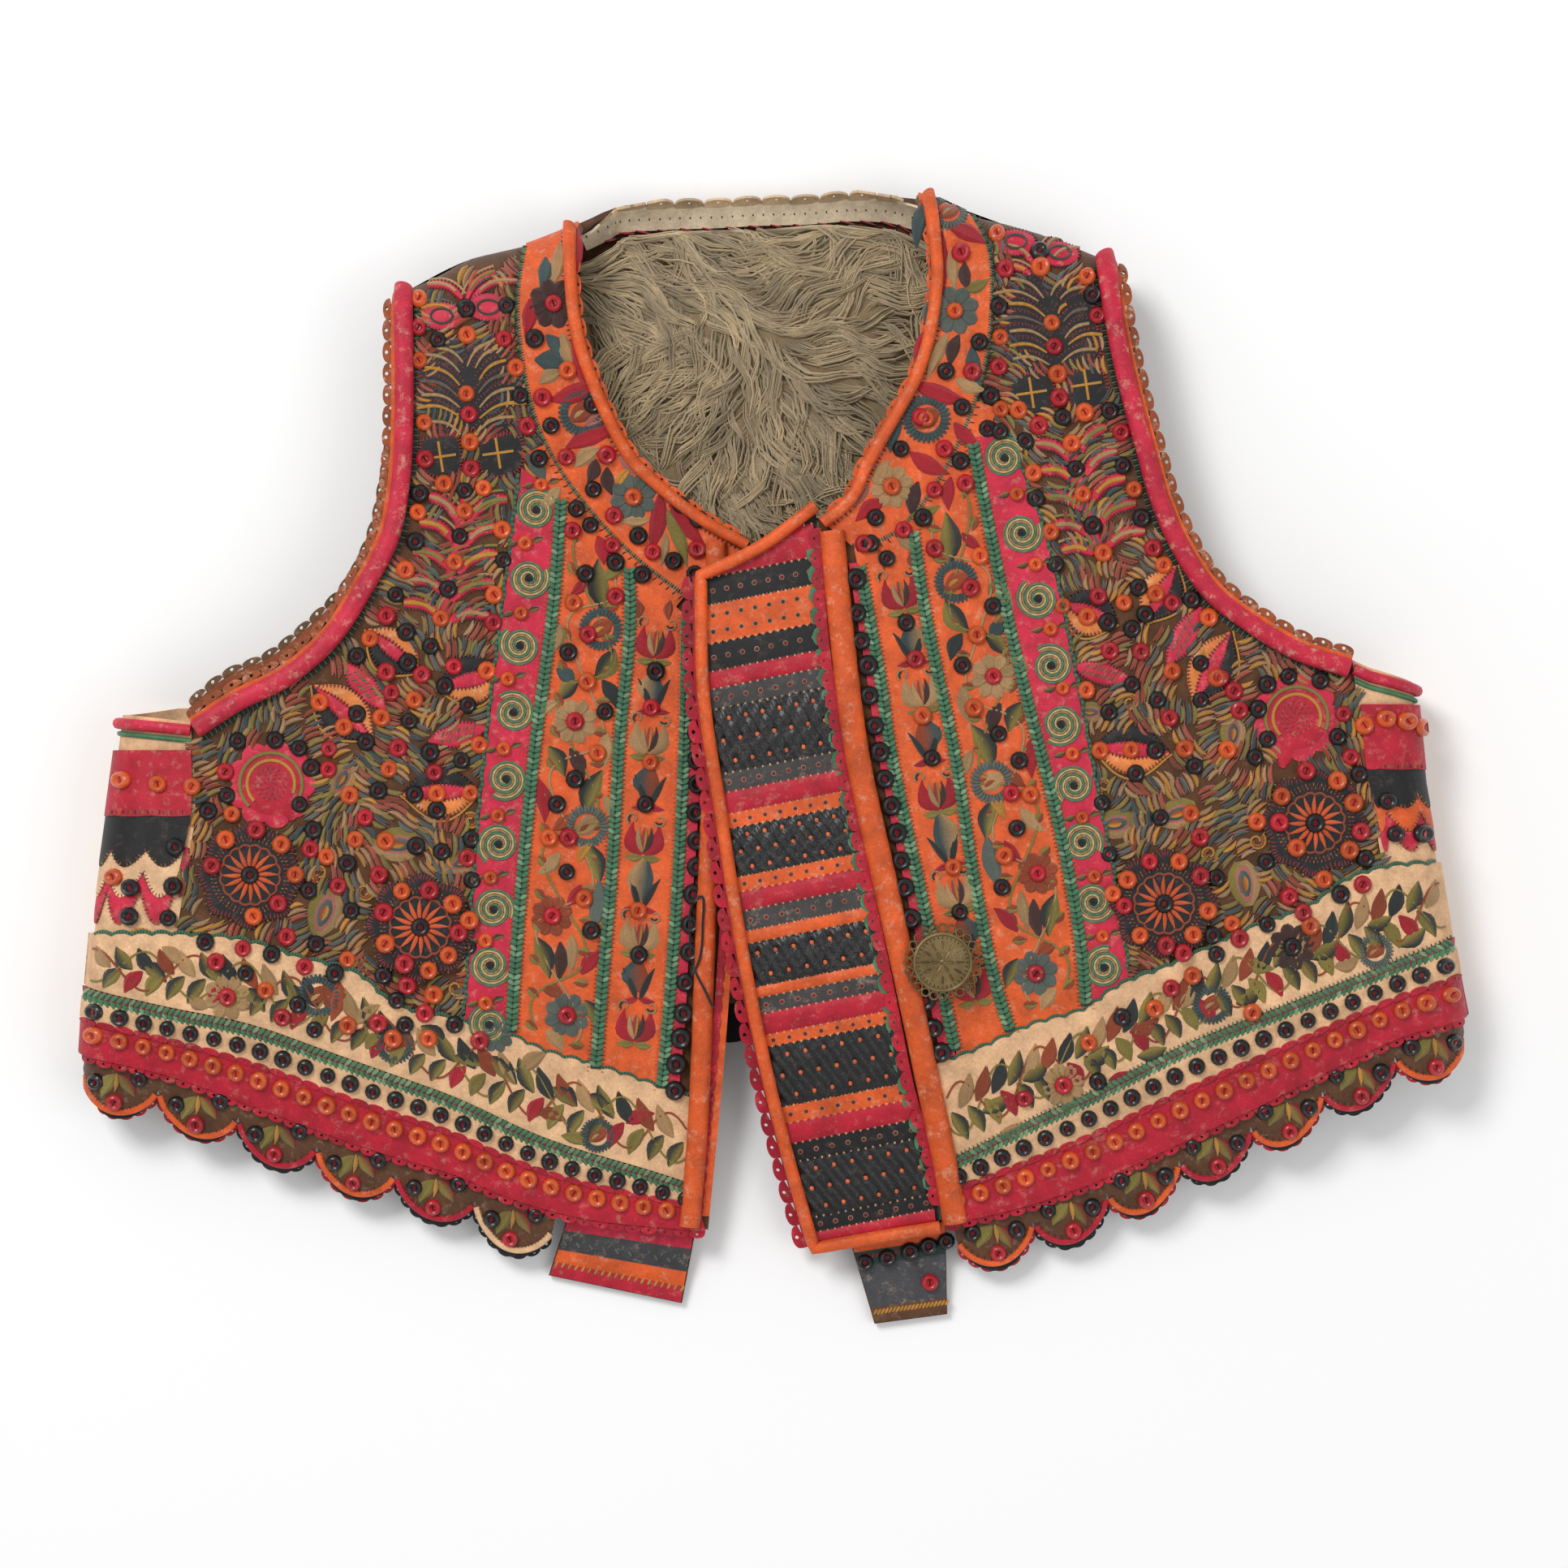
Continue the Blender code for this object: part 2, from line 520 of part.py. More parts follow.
def build_front_dressing(side):
    """What is sewn on one front: yoke, strips, braids, rolls, borders, tongues, flap, rosettes and lappets."""
    out = -1.0 if side == RIGHT else 1.0
    low, high = LAYER_GAP, LAYER_GAP + LEATHER
    neck = Path(NECK_EDGE[side])
    yoke = Path(YOKE_EDGE[side])
    shoulder_top = Path([(x, read_table(SHOULDER_FOLD[side], x) - 1.0) for x in
                         (neck.at(1.0).x, (neck.at(1.0).x + yoke.at(1.0).x) / 2.0, yoke.at(1.0).x)])
    slab("yoke_" + side, on_front(Patch(neck, yoke, None, shoulder_top), side), even(3),
         rolled(11, 170.0, end_gap=1.0), low, high, ORANGE)
    slab("neck_piping_" + side, on_front(Ribbon(neck, 0.0, 5.0 * -out), side), even(3),
         rolled(11, neck.length, end_gap=1.0), high + LAYER_GAP + 0.45, pad(3.0, high + LAYER_GAP + 1.0), ORANGE)

    armhole = Path(ARMHOLE[side])
    turn = -1.0 if side == RIGHT else 1.0
    slab("armhole_trim_" + side, on_front(Ribbon(armhole, 3.0 * turn, -3.6 * turn), side), [0.0, 1.0],
         rolled(20, armhole.length, end_gap=1.0, turn_step=11.25), low + 0.5,
         high + 0.2, ORANGE)
    slab("armhole_roll_" + side, on_front(Ribbon(armhole, 0.0, 7.5 * turn), side), even(4),
         rolled(14, armhole.length, end_gap=1.0), high + 0.7, pad(3.4, high + 1.3), CRIMSON)

    edges = [Path(BUTTON_EDGE[side])] + [Path(rows) for rows in BRAIDS[side]] + [Path(SPIRAL_EDGE[side])]
    names = ["button_strip_", "tulip_strip_", "vine_strip_", "spiral_strip_"]
    colours = [CRIMSON, ORANGE, ORANGE, CRIMSON]
    for index, name in enumerate(names):
        strip = Patch(edges[index], edges[index + 1])
        margin = 0.04 if index < 1 else 0.012

        def strip_place(u, v, lift, strip=strip, margin=margin):
            return front_point(strip.at(margin + (1.0 - 2.0 * margin) * u, v), lift, side)

        slab(name + side, strip_place, even(2), even(11), low, high, colours[index])
    for index, name in enumerate(["inner_braid_", "middle_braid_", "outer_braid_"]):
        slab(name + side, on_front(Ribbon(edges[index + 1], -2.3, 2.3), side), [0.0, 1.0],
             [0.01 + 0.98 * share for share in even(11)], high + LAYER_GAP, high + LAYER_GAP + 1.0, GREEN)

    roll = Path(FRONT_ROLL[side])
    half, height = (4.2, 4.4) if side == RIGHT else (5.0, 4.2)
    slab("front_roll_" + side, on_front(Ribbon(roll, half, -half), side), even(4), even(16),
         high + LAYER_GAP, pad(height, high + LAYER_GAP + 0.6), ORANGE)

    top = Path(BORDER_TOP[side])
    braid = Path(HEM_BRAID[side])
    hem = Path(HEM[side])
    along = rolled(12, top.length, radius=19.5, end_gap=0.6)
    slab("hem_border_" + side, lambda u, v, lift: front_point(
        top.at(v).lerp(braid.at(v) + Vector((0.0, 3.0)), u), lift, side), even(3), along, low, high, CREAM)
    stations = [(0.0, -2.4, 2.4), (0.0, 2.2, 2.0), (0.36, 0.0, 2.6), (1.0, 0.0, 2.4), (1.0, 3.6, 1.4)]

    def band_place(u, v, lift):
        share, drop, _ = stations[round(u * 4)]
        return front_point(braid.at(v).lerp(hem.at(v), share) + Vector((0.0, -drop)), lift, side)

    band_start = 0.05
    along = [band_start + (1.0 - band_start) * share for share in rolled(13, hem.length, radius=19.0, end_gap=0.6)]
    slab("hem_band_" + side, band_place, even(4), along, low + 0.3,
         lambda u, v: stations[round(u * 4)][2], CRIMSON)

    start = {RIGHT: 0.235, LEFT: 0.02}[side]
    tongues = {RIGHT: 6, LEFT: 7}[side]
    slant = Vector((0.16 * out, -1.0)).normalized()
    shares = [start + (1.0 - start) * share for share in even(tongues * 6)]
    for name, deeper, level, colour in (("hem_tongues_", 0.0, -0.6, SUEDE), ("hem_underlay_", 2.6, -2.7, BLACK)):
        def tongue_place(u, v, lift, deeper=deeper):
            lobe = abs(math.sin(math.pi * tongues * (v - start) / (1.0 - start)))
            depth = 1.5 + u * ((TONGUE_DEPTH + deeper) * (0.3 + 0.7 * lobe ** 0.55))
            return front_point(hem.at(v) + slant * depth, lift, side)

        slab(name + side, tongue_place, [0.0, 0.55, 1.0] if deeper == 0.0 else [0.0, 1.0], shares,
             level - 1.4, level, colour)

    flap = [Vector(corner) for corner in FLAP_CORNERS[side]]

    def flap_place(u, v, lift):
        edge = flap[0].lerp(flap[1], u)
        point = edge.lerp(flap[3].lerp(flap[2], u), v)
        seat = crown(edge.x, edge.y, side) - SKIN - LAYER_GAP - FLAP_THICKNESS
        height = seat + (FLAP_END - seat) * math.sin(v * math.pi / 2.0)
        return Vector((point.x, point.y, height + lift))

    slab("hem_flap_" + side, flap_place, even(4), even(3), 0.0, FLAP_THICKNESS, BLACK)

    for index, centre in enumerate(ROSETTES[side]):
        over_strip = abs(centre[0]) < 180.0
        rosette("rosette_%s_%d" % (side, index + 1), centre, side, high + LAYER_GAP if over_strip else low)
    gusset_lappets(side)


def rosette(name, centre, side, base):
    """An eight-lobed leather disc with a raised star in its middle."""
    mesh = bmesh.new()
    bmesh.ops.create_cone(mesh, cap_ends=True, segments=32, radius1=1.0, radius2=1.0, depth=1.0)
    top = max(mesh.faces, key=lambda face: face.calc_center_median().z)
    bmesh.ops.inset_region(mesh, faces=[top], thickness=0.42)
    bmesh.ops.translate(mesh, verts=top.verts[:], vec=(0.0, 0.0, 1.0))
    for vert in mesh.verts:
        turn = math.atan2(vert.co.y, vert.co.x)
        reach = math.hypot(vert.co.x, vert.co.y)
        lobe = 1.0 + 0.07 * math.cos(8.0 * turn) if reach > 0.8 else 1.0
        plan = Vector(centre) + Vector((math.cos(turn), math.sin(turn))) * (ROSETTE_RADIUS * reach * lobe)
        lift = base + (0.0 if vert.co.z < 0.0 else (1.5 if vert.co.z < 1.0 else 2.6))
        vert.co = front_point(plan, lift, side) * MM
    close_mesh(name, mesh, BLACK)


def gusset_lappets(side):
    """The red band across the gusset and the leather lappets that hang from it."""
    sign = -1.0 if side == RIGHT else 1.0
    top, waist, bottom = {RIGHT: (3.5, -21.5, -67.0), LEFT: (22.0, -3.0, -37.5)}[side]
    seam = Path(SIDE_SEAM[side])
    seam_share = {RIGHT: (0.86, 0.42), LEFT: (0.88, 0.55)}[side]
    gaps = [1.0, 0.78, 0.56] + [1.0 - math.cos(math.radians(angle)) for angle in range(90, -1, -15)]

    def place(u, v, lift):
        index = round(u * (len(gaps) - 1))
        y = top + (waist - top) * min(v * 3.0, 1.0) + (bottom - waist) * max(v * 1.5 - 0.5, 0.0)
        if v > 0.9:
            y -= (bottom - waist) * 0.3 * (1.0 - abs(math.sin(math.pi * 3.0 * u)))
        fold_x = abs(read_table(SIDE_FOLD[side], y))
        radius = crown(sign * fold_x, y, side) / 2.0
        inner_gap = fold_x - abs(seam.at(seam_share[0] + (seam_share[1] - seam_share[0]) * v).x) - 1.5
        gap = gaps[index] * radius
        if index < 3:
            gap = radius + (inner_gap - radius) * (1.0 - index / 3.0)
        return front_point(Vector((sign * (fold_x - gap), y)), lift, side)

    slab("gusset_lappets_" + side, place, even(len(gaps) - 1), even(6), LAYER_GAP,
         lambda u, v: 2.2 if v < 0.4 else 1.6, CRIMSON)


def build_plastron():
    """The striped centre panel of the left front, with its piping and trims."""
    free = Path(PLASTRON_FREE)
    sewn = Path([(x - 0.6, y) for x, y in PLASTRON_SEWN])
    top = Path([(-31, 74), (-22, 78), (-8, 85), (15.4, 102)])
    bottom = Path([(15, -200), (42, -195), (66.4, -191)])
    patch = Patch(free, sewn, bottom, top)
    slab("plastron", on_front(patch, LEFT), even(5), even(16), -SKIN, 0.0, BLACK)
    edge = [free.at(share) for share in even(15)]
    over_top = [top.at(share) for share in even(4)][1:]
    under = [bottom.at(share) for share in even(3)][:0:-1]
    route = [front_point(plan, 3.2, LEFT) for plan in under + edge + over_top]
    tube("plastron_piping", route, 2.6, ORANGE)
    outer = Ribbon(free, 1.0, 7.2)
    slab("plastron_scallops", on_front(outer, LEFT), [0.0, 1.0], even(20), -SKIN - LAYER_GAP - LEATHER,
         -SKIN - LAYER_GAP, CRIMSON)
    slab("plastron_side_trim", on_front(Ribbon(sewn, 1.2, 6.0), LEFT), [0.0, 1.0],
         [0.03 + 0.94 * share for share in even(14)], LAYER_GAP + 0.1, LAYER_GAP + LEATHER, CRIMSON)


def build_front_facing():
    """The red and orange edge facing beside the right front's padded roll."""
    edge = Path(CENTRE_EDGE[RIGHT])
    slab("front_facing_right", on_front(Ribbon(edge, 0.0, 4.0), RIGHT), [0.0, 1.0],
         [0.02 + 0.9 * share for share in even(12)], LAYER_GAP, LAYER_GAP + LEATHER, CRIMSON)


def build_brooch():
    """The pinned brooch: a turned disc with a raised rim on a short pin boss."""
    profile = [(0.0, 3.6), (6.0, 3.6), (6.0, 7.3), (15.4, 7.3), (15.4, 8.4), (12.0, 8.6), (11.4, 9.5), (0.0, 9.7)]
    mesh = bmesh.new()
    verts = [mesh.verts.new((radius * MM, 0.0, height * MM)) for radius, height in profile]
    for start, end in zip(verts, verts[1:]):
        mesh.edges.new((start, end))
    data = bpy.data.meshes.new("brooch")
    mesh.to_mesh(data)
    mesh.free()
    thing = finish("brooch", data, BRASS)
    turn = thing.modifiers.new("turn", "SCREW")
    turn.steps = 28
    turn.render_steps = 28
    turn.use_merge_vertices = True
    turn.merge_threshold = 0.0001
    turn.use_normal_calculate = True
    thing.location = front_point(Vector(BROOCH_CENTRE), 0.0, LEFT) * MM


for old in list(bpy.data.objects):
    bpy.data.objects.remove(old, do_unlink=True)
VEST = bpy.data.collections.new("embroidered_folk_vest")
bpy.context.scene.collection.children.link(VEST)

build_back()
for which in (RIGHT, LEFT):
    build_front(which)
    build_gusset(which)
    build_front_dressing(which)
build_plastron()
build_front_facing()
build_brooch()
for piece in VEST.objects:
    piece.location -= Vector((*PLAN_MIDDLE, 0.0)) * MM
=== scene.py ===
"""Looks of the embroidered folk vest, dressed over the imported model, which is the fixed frame.

Plan coordinates are in millimetres as in the part's source: x to the viewer's right, y towards the neck.
Motifs read off the photograph are in its pixels and pass through from_photo.
"Right" and "left" are the wearer's, so the right front lies at negative x.
"""
import math

import bpy
import numpy as np
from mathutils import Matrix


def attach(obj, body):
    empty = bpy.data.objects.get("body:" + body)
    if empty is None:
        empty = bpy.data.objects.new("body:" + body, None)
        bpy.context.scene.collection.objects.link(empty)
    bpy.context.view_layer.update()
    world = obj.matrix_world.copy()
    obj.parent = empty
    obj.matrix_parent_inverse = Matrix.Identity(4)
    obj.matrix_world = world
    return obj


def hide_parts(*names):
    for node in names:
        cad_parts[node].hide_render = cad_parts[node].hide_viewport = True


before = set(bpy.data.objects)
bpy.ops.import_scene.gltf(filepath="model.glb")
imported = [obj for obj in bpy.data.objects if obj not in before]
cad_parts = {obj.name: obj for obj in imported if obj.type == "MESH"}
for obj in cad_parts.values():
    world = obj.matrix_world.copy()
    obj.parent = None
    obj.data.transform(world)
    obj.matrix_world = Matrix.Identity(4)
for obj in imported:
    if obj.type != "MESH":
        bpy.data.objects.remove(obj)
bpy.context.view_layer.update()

MM = 0.001
RIGHT = "right"
LEFT = "left"
SIDES = (RIGHT, LEFT)
OUTWARDS = {RIGHT: -1.0, LEFT: 1.0}
SEED = 41
dice = np.random.default_rng(SEED)

# From the photograph's pixels to the plan
PHOTO_MIDDLE = (958.0, 935.0)
MM_PER_PIXEL = 0.33
PHOTO_CENTRE = (966.0, 966.0)
PHOTO_SIZE = 1932.0

# How the vest lies, as in the part's source
BODY_HEIGHT = 40.0
OVERLAP_DROP = 12.0
OVERLAP_START = -165.0
OVERLAP_RUN = 125.0
OVERLAP_TOP = 175.0
OVERLAP_FADE = 90.0
HEM_HEIGHT = 13.0
DROOP_START = -70.0
DROOP_RUN = 150.0
PLAN_MIDDLE = (-1.75, 1.45)
TINY = 1e-9

# Thicknesses
SKIN = 2.6
SEAM = 0.35
LEATHER = 1.2
LAYER_GAP = 0.4
BACK_FLEECE = 8.0
NECK_FLEECE = 6.0
FRONT_FLEECE = 5.0
FLEECE_GAP = 0.9

# Lifts of the layers over a front's outer surface
LOW = LAYER_GAP
HIGH = LAYER_GAP + LEATHER
SKIN_TOP = 0.15
OVER_STRIPS = HIGH + LAYER_GAP
BEHIND = SKIN + LAYER_GAP

# Motifs and stitches stay this far inside the folds
FOLD_KEEP = 0.6

# The creases fade out towards the folds and where the vest lies low
RELIEF_GAP = 4.0
RELIEF_RUN = 25.0
RELIEF_LOW = 16.0
RELIEF_RISE = 12.0

# Degrees between the rows of points round a fold, and the least space before its last row
TURN_STEP = 9.0
LAST_GAP = 0.2

# Folds at the sides, with columns y, x
SIDE_FOLD = {
    RIGHT: [(-235, -286.0), (-125, -284.5), (-110, -283.0), (-60, -278.0), (-20, -272.5), (17, -267.5),
            (60, -265.0)],
    LEFT: [(-235, 283.5), (-112, 281.0), (-90, 277.0), (-45, 270.0), (-10, 263.5), (30, 259.5), (70, 258.0)],
}
# Fold at the shoulders of the fronts, with columns x, y
SHOULDER_FOLD = {
    RIGHT: [(-180, 181.0), (-155, 189.5), (-141, 196.0), (-125, 204.5), (-101, 210.0), (-88, 215.0),
            (-60, 229.0)],
    LEFT: [(40, 236.0), (63, 228.5), (77, 222.0), (93, 218.5), (107, 214.5), (125, 207.5), (160, 193.0)],
}
# Fold line that the back follows, with columns x, y
BACK_FOLD = [(-180, 181.0), (-155, 189.5), (-141, 196.0), (-125, 204.5), (-101, 210.0), (-88, 215.0),
             (-79, 219.5), (-68, 229.5), (-45, 234.0), (-10, 236.0), (30, 237.5), (50, 234.5), (63, 228.5),
             (77, 222.0), (93, 218.5), (107, 214.5), (125, 207.5), (160, 193.0)]

# Outlines of the fronts, with columns x, y, each from the hem or centre upwards
CENTRE_EDGE = {
    RIGHT: [(-28.5, -193), (-21.5, -120), (-16, -41), (-12.5, 38), (-11, 89)],
    LEFT: [(67.5, -190), (64.5, -167), (54.5, -130), (49, -103), (37.5, -48), (27.5, 3), (21.5, 39),
           (16.5, 97)],
}
NECK_EDGE = {
    RIGHT: [(-11, 89), (-26, 97.5), (-46, 112.5), (-57, 123), (-65.5, 137.5), (-73, 155), (-78, 170),
            (-81, 192), (-80.5, 218)],
    LEFT: [(16.5, 97), (28, 107), (33, 118), (40, 130.5), (47, 142.5), (53, 153.5), (58, 168), (61, 184),
           (62, 200), (60, 214), (57, 230)],
}
SIDE_SEAM = {
    RIGHT: [(-249, -127), (-245, -87), (-241, -61), (-235, -19), (-237, 15)],
    LEFT: [(252, -112), (249, -71), (244, -41), (237, -1), (232, 40)],
}
ARMHOLE = {
    RIGHT: [(-237, 15), (-220, 26), (-202, 35), (-184, 50), (-169.5, 72), (-160, 91), (-156, 112),
            (-154.5, 142), (-154.5, 165), (-154.5, 189)],
    LEFT: [(232, 40), (211, 47), (194, 57), (177.5, 70), (166, 87), (158, 105), (152, 126), (147, 144),
           (142, 165), (138, 187), (135.5, 203)],
}
HEM = {
    RIGHT: [(-28.5, -193), (-85, -186), (-106, -180), (-134, -168), (-163, -159), (-206, -143), (-249, -127),
            (-284, -119)],
    LEFT: [(67.5, -190), (101, -182), (129, -172), (161, -157), (192, -142), (235, -120), (252, -112),
           (280.5, -104)],
}

# Bands on the fronts, with columns x, y, each from the centre outwards or from the top downwards
BORDER_TOP = {
    RIGHT: [(-34, -138.5), (-74, -124.5), (-98, -117), (-105, -113.5), (-130, -105.5), (-157, -98),
            (-168, -88), (-194, -80), (-217, -73), (-240, -71), (-280, -71)],
    LEFT: [(64, -123.5), (77, -119), (104, -107), (125, -100.5), (137, -92), (157, -84), (192, -68),
           (214, -60), (232, -48), (245, -44), (269, -42)],
}
HEM_BRAID = {
    RIGHT: [(-33, -177.5), (-40, -175), (-97, -156.5), (-134, -139), (-158, -130), (-180, -122), (-214, -110),
            (-247, -103), (-282, -95)],
    LEFT: [(69, -166.5), (76.5, -163), (104, -149), (125, -139), (165, -118.5), (206, -102), (246, -86),
           (274, -75)],
}
YOKE_EDGE = {
    RIGHT: [(-37, 66), (-60, 84), (-77, 102), (-86, 114), (-97, 135), (-103, 161), (-105, 184), (-102, 209)],
    LEFT: [(30, 86), (42, 88.5), (57, 101), (64, 111), (77, 137), (83, 156), (86.5, 186), (85.5, 205),
           (78, 222)],
}
BRAIDS = {
    RIGHT: [
        [(-37, 58), (-37.5, 20), (-40, -39), (-41.5, -64), (-45.5, -115), (-47.5, -136)],
        [(-60.5, 79), (-60, 62), (-64.5, 6), (-67.5, -45), (-71, -87), (-74.5, -128)],
        [(-88, 107), (-91, 65), (-98.5, 6), (-102.5, -33), (-106.5, -83), (-108.5, -113)],
    ],
    LEFT: [
        [(33, 79), (36.5, 60), (41.5, 32), (44.5, 10.5), (57, -50), (60.5, -66), (72.5, -120)],
        [(54.5, 93), (60, 57), (64.5, 35), (70.5, 7), (80.5, -55), (89, -94), (95, -112)],
        [(78.5, 129), (83, 106), (89, 76), (95, 48), (102, 19), (113.5, -26), (123, -80), (125, -102)],
    ],
}
SPIRAL_EDGE = {
    RIGHT: [(-104, 118), (-110, 73), (-116.5, 19), (-122, -35), (-125.5, -88), (-127, -105)],
    LEFT: [(92, 134), (108, 91), (119.5, 38), (128.5, -10), (137.5, -57), (142, -88)],
}
BUTTON_EDGE = {
    RIGHT: [(-30, 58), (-30.5, 20), (-33, -39), (-35, -64), (-38, -115), (-40.5, -138)],
    LEFT: [(28.5, 79), (31.5, 60), (36, 32), (39, 10.5), (51, -50), (54.5, -66), (66, -121)],
}

# Plastron, with columns x, y
PLASTRON_FREE = [(15, -200), (6, -168), (-3.5, -130), (-13.5, -81), (-23, -21), (-30, 28), (-31, 74)]
PLASTRON_SEWN = [(67, -191), (64, -167), (54, -130), (48.5, -103), (37, -48), (27, 3), (21, 39), (16, 102)]
PLASTRON_TOP = [(-31, 74), (-22, 78), (-8, 85), (15.4, 102)]
PLASTRON_BOTTOM = [(15, -200), (42, -195), (66.4, -191)]
FRONT_ROLL = {
    RIGHT: [(-36, -191), (-33, -156), (-29.5, -78), (-27, -20), (-25, 40), (-25, 88)],
    LEFT: [(72.5, -189), (70.5, -176), (61, -130), (43, -48), (32, 3), (26, 50), (22, 92)],
}

# Back, with columns x, y
BACK_ARMHOLE = {
    RIGHT: [(-241, 21), (-226, 33), (-210, 40), (-192, 54), (-175, 72), (-165, 93), (-160, 116),
            (-156.5, 142), (-156.5, 165), (-156, 189)],
    LEFT: [(233, 39), (213, 48), (196, 58), (180, 70), (168, 87), (160, 105), (154, 126), (149, 144),
           (144, 165), (139.5, 187), (137.5, 202.5)],
}
BACK_NECK = [(-156, 189), (-125, 204.5), (-101, 210), (-80, 219.5), (-66, 227), (-47, 228), (-26, 228.5),
             (-8, 229.5), (12, 230), (30, 231.5), (47, 231.5), (63, 228.5), (93, 218.5), (125, 207.5),
             (137.5, 202.5)]
BACK_HEM = [(-257, -118), (-190, -107), (-130, -101), (0, -95), (130, -91), (190, -93), (254, -98)]
BACK_FACING = [(-84, 221), (-74, 225.5), (-71, 227), (-47, 229.5), (-26, 230), (-8, 231), (12, 231.5),
               (30, 233), (48, 232.5), (60, 229.5)]
FLEECE_LEFT = [(-236, -110), (-232, -30), (-214, 22), (-176, 50), (-152, 90), (-146, 130), (-143, 170)]
FLEECE_RIGHT = [(232, -90), (225, -20), (208, 32), (172, 55), (148, 90), (136, 130), (127, 180)]
FLEECE_TOP = [(-143, 170), (-110, 185), (-78, 203), (-40, 213), (0, 215), (35, 215), (66, 206), (100, 193),
              (127, 180)]

# Small pieces
ROSETTES = {RIGHT: [(-213, -47), (-144.5, -68)], LEFT: [(156, -58.5), (217, -26)]}
ROSETTE_RADIUS = 21.5
BROOCH_CENTRE = (66.5, -82.0)
TONGUE_DEPTH = 21.0
BACK_TONGUES = 14
TONGUE_LEAN = 0.16
TONGUE_SEAT = 1.5
TONGUE_START = {RIGHT: 0.235, LEFT: 0.02}
TONGUE_COUNT = {RIGHT: 6, LEFT: 7}
FLAP_CORNERS = {RIGHT: [(-85, -184), (-33, -190), (-39.5, -224.5), (-94.5, -213)],
                LEFT: [(29, -195.5), (69, -189), (70, -229), (40, -233)]}
FLAP_THICKNESS = 2.0
FLAP_END = 1.5

# Soft creases laid over the whole vest: start, end, half width and height, negative for a trough
CREASES = [((-150, 60), (-95, 20), 9.0, -0.9), ((-215, -5), (-150, -60), 12.0, 0.8),
           ((-128, 150), (-112, 95), 7.0, 0.7), ((-190, 20), (-140, 5), 8.0, -0.7),
           ((-100, -60), (-60, -120), 10.0, -0.8), ((-60, 60), (-52, -30), 12.0, 0.5),
           ((128, 160), (112, 90), 8.0, 0.8), ((205, 25), (150, -5), 9.0, -0.9),
           ((235, -10), (180, -70), 12.0, 0.8), ((140, 30), (108, -40), 10.0, -0.7),
           ((110, -50), (150, -110), 9.0, 0.7), ((20, 20), (-12, -40), 13.0, 0.6),
           ((45, -60), (0, -110), 12.0, -0.7)]


def smooth_step(value):
    """Ease from 0 to 1 as value goes from 0 to 1."""
    value = np.clip(value, 0.0, 1.0)
    return value * value * (3.0 - 2.0 * value)


def read_table(rows, key):
    """Read a two-column table at keys, with straight lines between its rows and past its ends."""
    table = np.array(rows, float)
    index = np.clip(np.searchsorted(table[:, 0], key) - 1, 0, len(table) - 2)
    start, end = table[index], table[index + 1]
    run = end[..., 0] - start[..., 0]
    return start[..., 1] + (end[..., 1] - start[..., 1]) * (key - start[..., 0]) / run


def unit(vectors):
    """The vectors at length 1."""
    return vectors / np.maximum(np.linalg.norm(vectors, axis=-1, keepdims=True), TINY)


def rays(turn):
    """Unit plan directions for angles in radians."""
    return np.stack([np.cos(turn), np.sin(turn)], axis=-1)


def heading(angle):
    """The unit plan direction of one angle in degrees."""
    return np.array([math.cos(math.radians(angle)), math.sin(math.radians(angle))])


def leftwards(ahead):
    """Plan directions turned a quarter to their left."""
    return np.stack([-ahead[..., 1], ahead[..., 0]], axis=-1)


def runs_along(line):
    """The length along a line at each of its points."""
    return np.concatenate([[0.0], np.cumsum(np.linalg.norm(np.diff(line, axis=0), axis=1))])


def in_turn(count, first, second):
    """Two tints taken in turn, the second one first."""
    return np.where((np.arange(count) % 2)[:, None] > 0, first, second)


def closed(rim):
    """A smooth closed path through the points of a rim."""
    return Path(np.vstack([rim, rim[:1]]))


def ring_quads(index):
    """Quads between rings of points, where each ring is a row of the grid."""
    after = np.roll(index, -1, axis=1)
    return np.stack([index[:-1], after[:-1], after[1:], index[1:]], axis=-1).reshape(-1, 4)


def cord_quads(index):
    """Quads over a grid of points and one flat strip under them, as for a cord that lies on leather."""
    top = np.stack([index[:-1, :-1], index[1:, :-1], index[1:, 1:], index[:-1, 1:]], axis=-1).reshape(-1, 4)
    under = np.stack([index[:-1, 0], index[:-1, -1], index[1:, -1], index[1:, 0]], axis=-1)
    return np.vstack([top, under])


def from_photo(*points):
    """Plan points for points of the photograph."""
    pixels = np.array(points, float).reshape(-1, 2)
    return (pixels - PHOTO_MIDDLE) * (MM_PER_PIXEL, -MM_PER_PIXEL)


